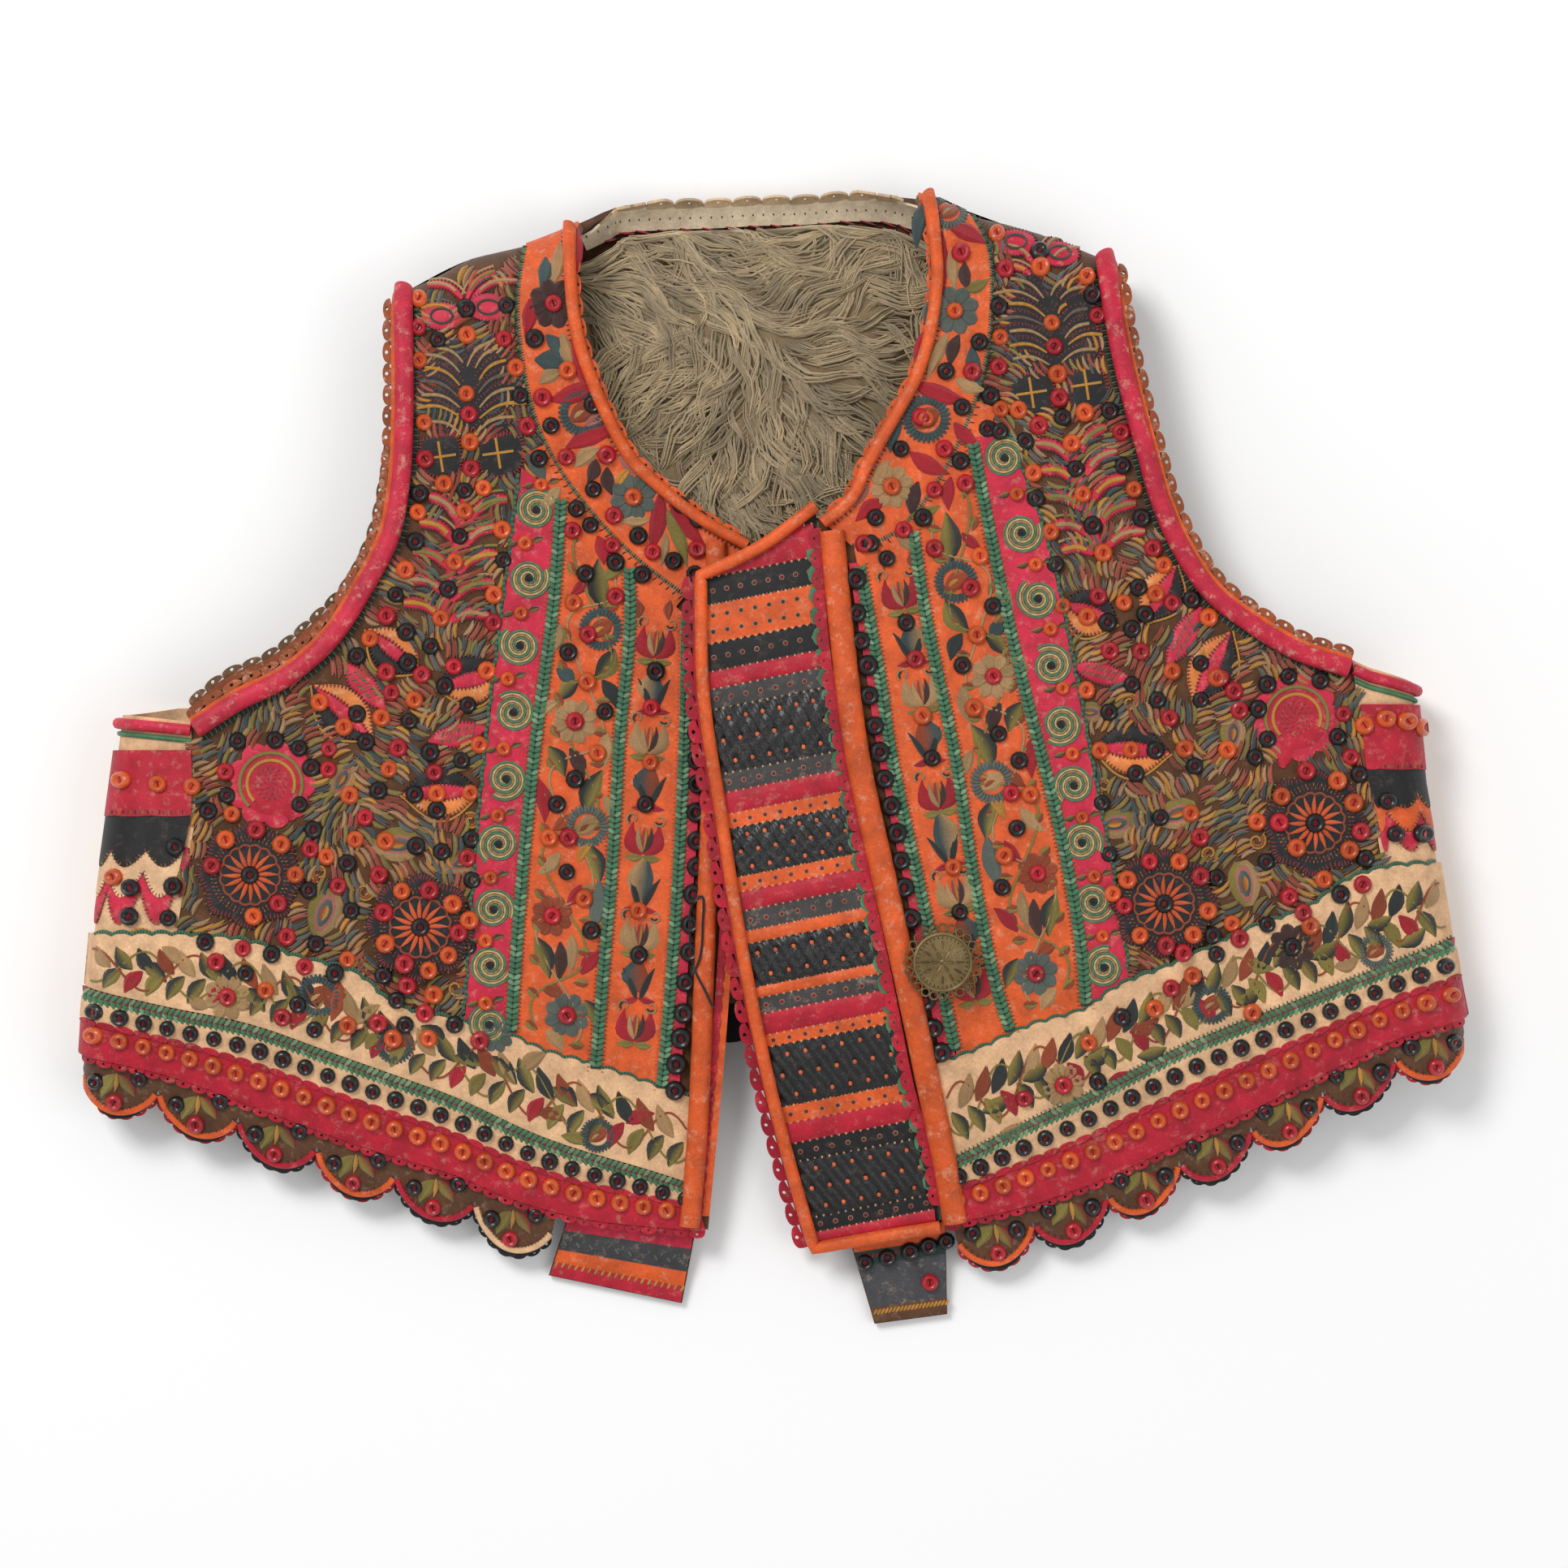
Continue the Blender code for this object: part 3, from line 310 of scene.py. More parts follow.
class Path:
    """A smooth plan curve through the rows of a table, read by its share of length."""

    def __init__(self, rows, steps=12):
        knots = np.array(rows, float)
        gaps = np.linalg.norm(np.diff(knots, axis=0), axis=1)
        slopes = np.diff(knots, axis=0) / gaps[:, None]
        both = (gaps[:-1] + gaps[1:])[:, None]
        inner = (slopes[:-1] * gaps[1:, None] + slopes[1:] * gaps[:-1, None]) / both
        tangents = np.vstack([slopes[:1], inner, slopes[-1:]])
        share = (np.arange(steps) / steps)[None, :, None]
        square, cube = share ** 2, share ** 3
        reach = gaps[:, None, None]
        curve = (knots[:-1, None] * (2 * cube - 3 * square + 1)
                 + tangents[:-1, None] * reach * (cube - 2 * square + share)
                 + knots[1:, None] * (3 * square - 2 * cube)
                 + tangents[1:, None] * reach * (cube - square))
        self.points = np.vstack([curve.reshape(-1, 2), knots[-1:]])
        self.runs = runs_along(self.points)
        self.length = self.runs[-1]

    def at(self, share):
        """Points at shares of the length."""
        run = np.clip(share, 0.0, 1.0) * self.length
        return np.stack([np.interp(run, self.runs, self.points[:, axis]) for axis in (0, 1)], axis=-1)

    def ahead(self, share):
        """Unit directions along the path."""
        step = 0.5 / self.length
        share = np.clip(share, step, 1.0 - step)
        return unit(self.at(share + step) - self.at(share - step))

    def beside(self, share, offset):
        """Points beside the path, to its left where the offset is positive."""
        return self.at(share) + leftwards(self.ahead(share)) * np.asarray(offset)[..., None]


class Chain:
    """Paths joined end to end, each with an equal share of the parameter."""

    def __init__(self, *tables):
        self.paths = [Path(table) for table in tables]

    def at(self, share):
        """Points at shares of the chain."""
        count = len(self.paths)
        index = np.minimum((np.asarray(share) * count).astype(int), count - 1)
        found = np.stack([path.at(np.clip(share * count - number, 0, 1)) for number,
                          path in enumerate(self.paths)])
        return np.take_along_axis(found, index[None, ..., None], axis=0)[0]


class Patch:
    """A plan area between four edges: left and right run up, bottom and top run from left to right."""

    def __init__(self, left, right, bottom=None, top=None):
        self.left, self.right, self.bottom, self.top = left, right, bottom, top

    def at(self, across, along):
        """Points at shares across and along the patch."""
        u, v = np.asarray(across)[..., None], np.asarray(along)[..., None]
        point = self.left.at(along) * (1 - u) + self.right.at(along) * u
        for edge, end, weight in ((self.bottom, 0.0, 1.0 - v), (self.top, 1.0, v)):
            if edge:
                straight = self.left.at(np.array(end)) * (1 - u) + self.right.at(np.array(end)) * u
                point = point + (edge.at(across) - straight) * weight
        return point


class Ribbon:
    """A band of constant width beside a path, from one offset to another."""

    def __init__(self, path, near, far):
        self.path, self.near, self.far = path, near, far

    def at(self, across, along):
        """Points at shares across and along the band."""
        return self.path.beside(along, self.near + (self.far - self.near) * np.asarray(across))


def crown(x, y, side):
    """Height of a front's outer surface away from the folds."""
    base = np.full(np.shape(x), BODY_HEIGHT)
    if side == RIGHT:
        below_neck = smooth_step((OVERLAP_TOP - y) / OVERLAP_FADE)
        base = base - OVERLAP_DROP * smooth_step((x - OVERLAP_START) / OVERLAP_RUN) * below_neck
    droop = smooth_step((DROOP_START - y) / DROOP_RUN)
    return base + (HEM_HEIGHT - base) * droop


def line_distance(x, y, rows):
    """Distance below a fold line given as x and y, and the plan direction away from it."""
    slope = read_table(rows, x + 1.0) - read_table(rows, x - 1.0)
    away = unit(np.stack([slope / 2.0, -np.ones_like(slope)], axis=-1))
    return (read_table(rows, x) - y) * -away[..., 1], away


def front_fold(x, y, side):
    """Distance inwards from the nearer fold of a front, and the plan direction away from it."""
    side_gap = np.abs(read_table(SIDE_FOLD[side], y)) - np.abs(x)
    side_away = np.stack([np.full_like(x, -OUTWARDS[side]), np.zeros_like(x)], axis=-1)
    shoulder_gap, shoulder_away = line_distance(x, y, SHOULDER_FOLD[side])
    nearer = shoulder_gap < side_gap
    return np.where(nearer, shoulder_gap, side_gap), np.where(nearer[..., None], shoulder_away, side_away)


def relief(x, y):
    """Height of the creases and of a faint unevenness, the same for every layer."""
    height = (0.35 * np.sin(x / 23.0 + 1.1 * np.sin(y / 31.0))
              + 0.3 * np.sin(y / 19.0 + 0.9 * np.sin(x / 37.0)))
    for start, end, half, rise in CREASES:
        start, end = np.array(start, float), np.array(end, float)
        run = end - start
        share = ((x - start[0]) * run[0] + (y - start[1]) * run[1]) / (run @ run)
        nearest = np.clip(share, 0.0, 1.0)
        gap = np.hypot(x - start[0] - run[0] * nearest, y - start[1] - run[1] * nearest)
        height = height + rise * np.exp(-(gap / half) ** 2)
    return height


def front_point(plan, lift, side):
    """Points over a front, lifted off its outer surface along the normal."""
    x, y = plan[..., 0], plan[..., 1]
    height = crown(x, y, side)
    radius = height / 2.0
    gap, away = front_fold(x, y, side)
    bend = np.clip(1.0 - gap / radius, 0.0, 1.0)
    rise = np.sqrt(1.0 - bend * bend)
    slope_x = (crown(x + 1.0, y, side) - crown(x - 1.0, y, side)) / 2.0
    slope_y = (crown(x, y + 1.0, side) - crown(x, y - 1.0, side)) / 2.0
    normal = unit(np.stack([-away[..., 0] * bend - slope_x * rise, -away[..., 1] * bend - slope_y * rise,
                            rise], axis=-1))
    over = (relief(x, y) * smooth_step((gap - RELIEF_GAP) / RELIEF_RUN)
            * smooth_step((height - RELIEF_LOW) / RELIEF_RISE))
    base = np.stack([x, y, radius + radius * rise + over], axis=-1)
    return base + normal * np.asarray(lift)[..., None]


def back_point(plan, lift):
    """Points over the back, lifted inwards off its outer surface, which is the one that rests."""
    x, y = plan[..., 0], plan[..., 1]
    radius = BODY_HEIGHT / 2.0
    gap, away = line_distance(x, y, BACK_FOLD)
    bend = np.clip(1.0 - gap / radius, 0.0, 1.0)
    rise = np.sqrt(1.0 - bend * bend)
    inward = np.stack([away[..., 0] * bend, away[..., 1] * bend, rise], axis=-1)
    return np.stack([x, y, radius - radius * rise], axis=-1) + inward * np.asarray(lift)[..., None]


def even(count):
    """Even shares from 0 to 1."""
    return np.linspace(0.0, 1.0, count + 1)


def rolled(count, length, end_gap=0.0, radius=BODY_HEIGHT / 2.0):
    """Shares from 0 to 1 that get closer over the last stretch, where a sheet rolls into a fold."""
    start = max(1.0 - (radius - end_gap) / length, 0.5)
    turns = np.arange(90.0, 1.0, -TURN_STEP)
    gaps = radius * (1.0 - np.cos(np.radians(turns)))
    return np.concatenate([np.linspace(0.0, start, count, endpoint=False),
                           1.0 - (gaps[gaps > end_gap + LAST_GAP] - end_gap) / length, [1.0]])


def colour(red, green, blue, wear=0.0):
    """A tint from the 0 to 255 values of a screen colour, with its share of wear."""
    share = np.array([red, green, blue], float) / 255.0
    linear = np.where(share <= 0.04045, share / 12.92, ((share + 0.055) / 1.055) ** 2.4)
    return np.append(linear, wear)


ORANGE = colour(222, 92, 36, 0.3)
CRIMSON = colour(184, 24, 48, 0.22)
PINK = colour(204, 36, 66, 0.28)
CREAM = colour(232, 186, 142, 0.3)
SUEDE = colour(92, 58, 34, 0.2)
BLACK = colour(27, 26, 27, 0.06)
GREEN = colour(72, 126, 88, 0.1)
BRAID_DARK = colour(34, 62, 56, 0.1)
OLIVE = colour(138, 122, 56, 0.1)
TAN = colour(176, 138, 92, 0.1)
MUSTARD = colour(196, 138, 48, 0.1)
RUST = colour(150, 66, 34, 0.1)
MAROON = colour(132, 26, 32, 0.1)
GREY = colour(92, 100, 92, 0.1)
SLATE = colour(60, 78, 78, 0.1)
DARK_BROWN = colour(66, 40, 36, 0.1)
DUSTY_PINK = colour(176, 106, 96, 0.1)
BLUE = colour(70, 108, 148, 0.1)
WOOL = colour(204, 184, 148, 0.0)
# A darker copy of the wool for the back fleece's bed: painted shade under the locks.
WOOL_IN_SHADE = colour(134, 114, 84, 0.0)
BRASS = colour(132, 112, 76, 0.2)
SILK_RED = colour(190, 30, 44)
ROSETTE_RED = colour(186, 34, 44)
WINE = colour(120, 26, 36)
BURNT = colour(150, 74, 34, 0.6)


# Edges with a wider angle than this, in degrees, stay sharp: on flat pieces and on round ones
FLAT_ANGLE = 38.0
ROUND_ANGLE = 60.0


class Batch:
    """Faces gathered for one piece. Every vertex has a tint and a thread coordinate in millimetres."""

    def __init__(self):
        self.points, self.tints, self.threads, self.quads, self.tris = [], [], [], [], []
        self.count = 0

    def add(self, points, quads=(), tris=(), tint=SUEDE, thread=None):
        """More points with their faces, tints and thread coordinates."""
        points = np.asarray(points, float).reshape(-1, 3)
        size = len(points)
        self.points.append(points)
        self.tints.append(np.broadcast_to(np.asarray(tint, float).reshape(-1, 4), (size, 4)))
        self.threads.append(points[:, :2] if thread is None else np.asarray(thread, float).reshape(-1, 2))
        if len(quads):
            self.quads.append(np.asarray(quads, int).reshape(-1, 4) + self.count)
        if len(tris):
            self.tris.append(np.asarray(tris, int).reshape(-1, 3) + self.count)
        self.count += size

    def make(self, name, material, nodes=(), smooth_angle=FLAT_ANGLE):
        """The piece as an object, in place of the CAD nodes that it stands for."""
        points = np.vstack(self.points)
        points[:, :2] -= PLAN_MIDDLE
        quads = np.vstack(self.quads) if self.quads else np.zeros((0, 4), int)
        tris = np.vstack(self.tris) if self.tris else np.zeros((0, 3), int)
        data = bpy.data.meshes.new(name)
        data.vertices.add(len(points))
        data.vertices.foreach_set("co", (points * MM).astype(np.float32).ravel())
        corners = np.concatenate([quads.ravel(), tris.ravel()]).astype(np.int32)
        data.loops.add(len(corners))
        data.loops.foreach_set("vertex_index", corners)
        starts = np.concatenate([np.arange(len(quads)) * 4, len(quads) * 4 + np.arange(len(tris)) * 3])
        data.polygons.add(len(quads) + len(tris))
        data.polygons.foreach_set("loop_start", starts.astype(np.int32))
        data.update(calc_edges=True)
        data.validate()
        tint = data.attributes.new("tint", "FLOAT_COLOR", "POINT")
        tint.data.foreach_set("color", np.vstack(self.tints).astype(np.float32).ravel())
        thread = data.uv_layers.new(name="thread")
        loops = np.empty(len(data.loops), np.int32)
        data.loops.foreach_get("vertex_index", loops)
        thread.data.foreach_set("uv", np.vstack(self.threads)[loops].astype(np.float32).ravel())
        data.shade_smooth()
        data.set_sharp_from_angle(angle=math.radians(smooth_angle))
        data.materials.append(material)
        piece = bpy.data.objects.new(name, data)
        bpy.context.scene.collection.objects.link(piece)
        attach(piece, "root")
        if nodes:
            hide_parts(*nodes)
        return piece


def turned_out(points, quads):
    """The faces of a closed form, turned round where they look inwards."""
    corners = points[quads]
    middle = points.mean(axis=0)
    corners = corners - middle
    volume = np.einsum("ij,ij->i", corners[:, 0], np.cross(corners[:, 1], corners[:, 2])).sum()
    volume += np.einsum("ij,ij->i", corners[:, 0], np.cross(corners[:, 2], corners[:, 3])).sum()
    return quads if volume > 0.0 else quads[:, ::-1]


def slab(batch, place, across, along, lower, upper, tint):
    """A closed sheet between two lifts of one surface, where place gives points for shares and lifts."""
    u, v = np.meshgrid(across, along)
    u, v = u.ravel(), v.ravel()
    columns, rows = len(across), len(along)
    size = columns * rows
    levels = [np.broadcast_to(level(u, v) if callable(level) else level, u.shape).astype(float)
              for level in (lower, upper)]
    points = np.vstack([place(u, v, level) for level in levels])
    index = np.arange(size).reshape(rows, columns)
    faces = np.stack([index[:-1, :-1], index[:-1, 1:], index[1:, 1:], index[1:, :-1]], axis=-1).reshape(-1, 4)
    rim = np.concatenate([index[0, :], index[1:, -1], index[-1, -2::-1], index[-2:0:-1, 0]])
    after = np.roll(rim, -1)
    walls = np.stack([rim, after, after + size, rim + size], axis=-1)
    quads = turned_out(points, np.vstack([faces[:, ::-1], faces + size, walls]))
    if callable(tint):
        tint = np.tile(tint(u, v), (2, 1))
    batch.add(points, quads=quads, tint=tint)


def on_front(patch, side):
    """A place function for a patch on a front."""
    return lambda u, v, lift: front_point(patch.at(u, v), lift, side)


def on_back(patch):
    """A place function for a patch on the back."""
    return lambda u, v, lift: back_point(patch.at(u, v), lift)


def pad(height, base):
    """The upper lift of a padded roll, rounded from edge to edge."""
    return lambda u, v: base + height * np.sqrt(np.maximum(1.0 - (2.0 * u - 1.0) ** 2, 0.0)) ** 0.8


ROUND = (1.0 - np.cos(np.linspace(0.0, np.pi, 11))) / 2.0


def node(tree, kind, links=(), **values):
    """A shader node with its sockets set: numbers and colours are values, sockets are linked."""
    made = tree.nodes.new(kind)
    for key, value in values.items():
        setattr(made, key, value)
    for socket, value in dict(links).items():
        target = made.inputs[socket]
        if isinstance(value, bpy.types.NodeSocket):
            tree.links.new(value, target)
        else:
            target.default_value = value
    return made


def mixed(tree, blend, share, first, second):
    """Two colours mixed."""
    made = node(tree, "ShaderNodeMix", {0: share, 6: first, 7: second}, data_type="RGBA", blend_type=blend)
    return made.outputs[2]


# Noise scales of the patchy colour and the worn spots, and the noise values between which a spot fades in
BLOTCH_SCALE = 95.0
WORN_SCALE = 210.0
WORN_FROM = 0.54
WORN_TO = 0.66


def surface(name, roughness, grain=600.0, depth=0.15, patchy=0.35, wear_tone=(0.62, 0.45, 0.3),
            wear_share=0.5, sheen=0.0, coat=0.0, thread=0.0, metal=0.0):
    """A procedural material over the tints: patchy colour, worn spots, grain and, for wool, thread ridges."""
    material = bpy.data.materials.new(name)
    material.use_nodes = True
    tree = material.node_tree
    shader = tree.nodes["Principled BSDF"]
    place = node(tree, "ShaderNodeTexCoord").outputs["Object"]
    tint = node(tree, "ShaderNodeAttribute", attribute_name="tint")
    blotch = node(tree, "ShaderNodeTexNoise",
                  {"Vector": place, "Scale": BLOTCH_SCALE, "Detail": 5.0, "Roughness": 0.65})
    fine = node(tree, "ShaderNodeTexNoise",
                {"Vector": place, "Scale": grain, "Detail": 4.0, "Roughness": 0.7})
    shade = node(tree, "ShaderNodeMapRange",
                 {0: blotch.outputs[0], 1: 0.3, 2: 0.7, 3: 1.0 - patchy, 4: 1.0 + patchy * 0.4})
    shade_fine = node(tree, "ShaderNodeMapRange", {0: fine.outputs[0], 1: 0.3, 2: 0.7, 3: 0.82, 4: 1.12})
    both = node(tree, "ShaderNodeMath", {0: shade.outputs[0], 1: shade_fine.outputs[0]}, operation="MULTIPLY")
    base = mixed(tree, "MULTIPLY", 1.0, tint.outputs["Color"], both.outputs[0])
    worn = node(tree, "ShaderNodeTexNoise",
                {"Vector": place, "Scale": WORN_SCALE, "Detail": 8.0, "Roughness": 0.78})
    spots = node(tree, "ShaderNodeMapRange", {0: worn.outputs[0], 1: WORN_FROM, 2: WORN_TO, 3: 0.0, 4: 1.0})
    amount = node(tree, "ShaderNodeMath", {0: spots.outputs[0], 1: tint.outputs["Alpha"]},
                  operation="MULTIPLY")
    limited = node(tree, "ShaderNodeMath", {0: amount.outputs[0], 1: wear_share * 2.0}, operation="MULTIPLY",
                   use_clamp=True)
    base = mixed(tree, "MIX", limited.outputs[0], base, wear_tone + (1.0,))
    tree.links.new(base, shader.inputs["Base Color"])
    height = fine.outputs[0]
    if thread:
        uv = node(tree, "ShaderNodeUVMap", uv_map="thread")
        wave = node(tree, "ShaderNodeTexWave", {"Vector": uv.outputs[0], "Scale": thread, "Distortion": 1.2,
                                                "Detail": 1.0, "Detail Scale": 2.0}, wave_type="BANDS",
                    bands_direction="X")
        height = node(tree, "ShaderNodeMath", {0: wave.outputs["Fac"], 1: height}, operation="ADD").outputs[0]
    bump = node(tree, "ShaderNodeBump", {"Strength": 0.9, "Distance": depth * MM, "Height": height})
    tree.links.new(bump.outputs[0], shader.inputs["Normal"])
    shader.inputs["Roughness"].default_value = roughness
    shader.inputs["Sheen Weight"].default_value = sheen
    shader.inputs["Sheen Roughness"].default_value = 0.5
    shader.inputs["Coat Weight"].default_value = coat
    shader.inputs["Coat Roughness"].default_value = 0.2
    shader.inputs["Metallic"].default_value = metal
    shader.inputs["Specular IOR Level"].default_value = 0.35
    return material


LEATHER_LOOK = surface("worn_leather", 0.55, grain=900.0, depth=0.12, wear_tone=(0.72, 0.52, 0.36))
PANEL_LOOK = surface("brown_suede", 0.85, grain=1300.0, depth=0.2, patchy=0.45, wear_tone=(0.3, 0.2, 0.12),
                     sheen=0.15)
CREAM_LOOK = surface("cream_leather", 0.75, grain=900.0, depth=0.12, wear_tone=(0.3, 0.16, 0.08),
                     wear_share=0.35)
WOOL_LOOK = surface("wool_thread", 0.85, grain=1500.0, depth=0.22, patchy=0.2, thread=0.42, sheen=0.25,
                    wear_tone=(0.5, 0.42, 0.3), wear_share=0.2)
KNOT_LOOK = surface("knot_leather", 0.28, grain=1400.0, depth=0.1, patchy=0.3, wear_tone=(0.5, 0.35, 0.25),
                    coat=0.35,
                    wear_share=0.3)
FLEECE_LOOK = surface("fleece", 0.9, grain=1500.0, depth=0.2, patchy=0.25, sheen=0.2,
                      wear_tone=(0.4, 0.35, 0.25))
BRASS_LOOK = surface("aged_brass", 0.42, grain=1600.0, depth=0.1, patchy=0.5, metal=0.85,
                     wear_tone=(0.55, 0.45, 0.28))


PLAIN = ((-1.0, 0.0), (-0.6, 0.8), (0.0, 1.0), (0.6, 0.8), (1.0, 0.0))
SPLIT = ((-1.0, 0.0), (-0.55, 1.0), (0.0, 0.5), (0.55, 1.0), (1.0, 0.0))
SHARP = ((-1.0, 0.0), (0.0, 1.0), (1.0, 0.0))


class Form:
    """A small closed form along x from 0 to 1, y in half widths and z in heights, to be laid many times."""

    def __init__(self, profile, bend=0.0, section=PLAIN):
        stations = np.linspace(0.0, 1.0, len(profile))
        offsets, rises = np.array(section).T
        wide = np.array(profile, float)[:, None]
        swing = bend * 4.0 * stations * (1.0 - stations)
        y = swing[:, None] + wide * offsets
        z = rises * np.minimum(wide * 1.3, 1.0)
        x = np.repeat(stations[:, None], len(section), axis=1)
        self.points = np.stack([x, y, z], axis=-1).reshape(-1, 3)
        self.half = np.tile((offsets > 0).astype(float) + 0.5 * (offsets == 0), len(profile))
        index = np.arange(len(self.points)).reshape(len(profile), len(section))
        self.quads = cord_quads(index)
        fan = np.arange(1, len(section) - 1)
        first = np.stack([index[0, 0] + 0 * fan, index[0, fan], index[0, fan + 1]], axis=-1)
        last = np.stack([index[-1, 0] + 0 * fan, index[-1, fan + 1], index[-1, fan]], axis=-1)
        self.tris = np.vstack([first, last])


class Turned(Form):
    """A small turned form round z, with its middle at the origin and its outline in radii and heights."""

    def __init__(self, outline, steps=12):
        radii, heights = np.array(outline, float).T
        turn = np.arange(steps) * 2.0 * np.pi / steps
        ring = np.stack([radii[:-1, None] * np.cos(turn), radii[:-1, None] * np.sin(turn),
                         np.repeat(heights[:-1, None], steps, axis=1)], axis=-1).reshape(-1, 3)
        self.points = np.vstack([ring, [(0.0, 0.0, heights[-1])]])
        self.half = np.zeros(len(self.points))
        index = np.arange(len(ring)).reshape(-1, steps)
        self.quads = ring_quads(index)
        middle = np.full(steps, len(ring))
        seat = np.stack([index[0, 0] + 0 * index[0, 1:-1], index[0, 2:], index[0, 1:-1]], axis=-1)
        self.tris = np.vstack([np.stack([index[-1], np.roll(index[-1], -1), middle], axis=-1), seat])


TICK = Form([0.6, 1.0, 0.6], section=SHARP)
STITCH = Form([0.55, 1.0, 0.95, 0.5], section=((-1.0, 0.0), (-0.45, 0.95), (0.45, 0.95), (1.0, 0.0)))
COMMA = Form([0.35, 0.85, 1.0, 0.92, 0.66, 0.36, 0.1], bend=0.75)
LEAF = Form([0.15, 0.62, 0.95, 1.0, 0.8, 0.45, 0.08], bend=0.3, section=SPLIT)
PETAL = Form([0.3, 0.7, 0.95, 1.0, 0.85, 0.4], section=SPLIT)
BLADE = Form([0.3, 0.8, 1.0, 0.85, 0.5, 0.1], bend=0.35)
DOT = Turned([(1.0, 0.0), (0.95, 0.5), (0.6, 0.9), (0.0, 1.0)], 8)
KNOT = Turned([(1.0, 0.0), (1.02, 0.4), (0.88, 0.8), (0.66, 0.97), (0.46, 0.86), (0.3, 0.52), (0.0, 0.48)],
              12)


def over_front(side):
    """A surface function for motifs on a front, which keeps them just inside its folds."""
    def place(plan, lift):
        gap, away = front_fold(plan[..., 0], plan[..., 1], side)
        return front_point(plan + away * np.maximum(FOLD_KEEP - gap, 0.0)[..., None], lift, side)

    return place


def over_back(plan, lift):
    """Points over the back for motifs, kept just inside its fold."""
    gap, away = line_distance(plan[..., 0], plan[..., 1], BACK_FOLD)
    return back_point(plan + away * np.maximum(FOLD_KEEP - gap, 0.0)[..., None], lift)


def scatter(batch, form, surface_of, places, ahead, lengths, widths, heights, base, tints):
    """Lay copies of a form over a surface. Negative widths mirror it; tints are one or two a copy."""
    places = np.asarray(places, float).reshape(-1, 2)
    count = len(places)
    if not count:
        return
    ahead = unit(np.broadcast_to(np.asarray(ahead, float), (count, 2)))
    lengths, widths, heights, base = (np.broadcast_to(np.asarray(value, float), count)[:, None]
                                      for value in (lengths, widths, heights, base))
    x, y, z = form.points.T
    beside = leftwards(ahead)
    plan = (places[:, None] + ahead[:, None] * (x * lengths)[..., None]
            + beside[:, None] * (y * widths)[..., None])
    points = surface_of(plan.reshape(-1, 2), (base + z * heights).ravel())
    tints = np.asarray(tints, float)
    tints = np.broadcast_to(tints, (count, 2, 4)) if tints.ndim != 2 else np.repeat(
        np.broadcast_to(tints, (count, 4))[:, None], 2, axis=1)
    half = form.half[None, :, None]
    painted = tints[:, :1] * (1.0 - half) + tints[:, 1:] * half
    light = np.ones((count, 1, 4))
    light[:, 0, :3] = dice.uniform(0.82, 1.15, (count, 1))
    size = len(form.points)
    shift = (np.arange(count) * size)[:, None, None]
    mirrored = (widths < 0.0)[:, :, None]
    quads = np.where(mirrored, form.quads[:, ::-1], form.quads) + shift
    tris = np.where(mirrored, form.tris[:, ::-1], form.tris) + shift
    thread = np.stack([x * lengths + np.abs(y * widths) * 0.9, y * widths], axis=-1)
    batch.add(points, quads.reshape(-1, 4), tris.reshape(-1, 3), (painted * light).reshape(-1, 4),
              thread.reshape(-1, 2))


def ridge(batch, surface_of, line, half, height, base, tints):
    """A rounded cord laid along plan points, closed underneath."""
    line = np.asarray(line, float)
    count = len(line)
    ahead = unit(np.gradient(line, axis=0))
    beside = leftwards(ahead)
    half = np.broadcast_to(half, count)
    offsets, rises = np.array([(-1.0, 0.0), (-0.6, 0.85), (0.6, 0.85), (1.0, 0.0)]).T
    plan = line[:, None] + beside[:, None] * (half[:, None] * offsets)[..., None]
    lift = np.broadcast_to(base, count)[:, None] + rises * np.broadcast_to(height, count)[:, None]
    points = surface_of(plan.reshape(-1, 2), lift.ravel())
    index = np.arange(count * 4).reshape(count, 4)
    ends = np.array([[0, 1, 2, 3], list(index[-1, ::-1])])
    run = runs_along(line)
    tints = np.asarray(tints, float)
    tints = np.broadcast_to(tints, (count, 4)) if tints.ndim < 3 else tints
    thread = np.stack([run[:, None] + 0.0 * rises, half[:, None] * offsets], axis=-1)
    batch.add(points, np.vstack([cord_quads(index), ends]), (), np.repeat(tints, 4, axis=0),
              thread.reshape(-1, 2))


def along_path(path, pitch, start=0.0, end=1.0):
    """Even shares of a path, about a pitch apart."""
    count = max(int(path.length * (end - start) / pitch), 1)
    return start + (end - start) * (np.arange(count) + 0.5) / count


def ticks(batch, surface_of, path, pitch, near, far, half, height, base, tints, start=0.0, end=1.0,
          slant=0.0):
    """Stitches across a path, from a near to a far offset, with tints taken in turn."""
    shares = along_path(path, pitch, start, end)
    root, tip = path.beside(shares, near), path.beside(shares, far) + path.ahead(shares) * slant
    run = tip - root
    chosen = np.array(tints, float).reshape(-1, 4)[np.arange(len(shares)) % (np.array(tints).size // 4)]
    scatter(batch, TICK, surface_of, root, run, np.linalg.norm(run, axis=1), half, height, base, chosen)


def braid(batch, surface_of, path, half, pitch, base, height, start=0.0, end=1.0):
    """A plaited green braid: slanting stitches that meet in its middle."""
    shares = along_path(path, pitch, start, end)
    for turn in (-1.0, 1.0):
        root = path.beside(shares, 0.15 * turn)
        tip = path.beside(shares, half * turn) - path.ahead(shares) * half * 0.75
        tints = np.where(dice.random((len(shares), 1)) < 0.25, colour(120, 160, 120, 0.1), GREEN)
        scatter(batch, STITCH, surface_of, root, tip - root, np.linalg.norm(tip - root, axis=1), pitch * 0.46,
                height,
                base, tints)


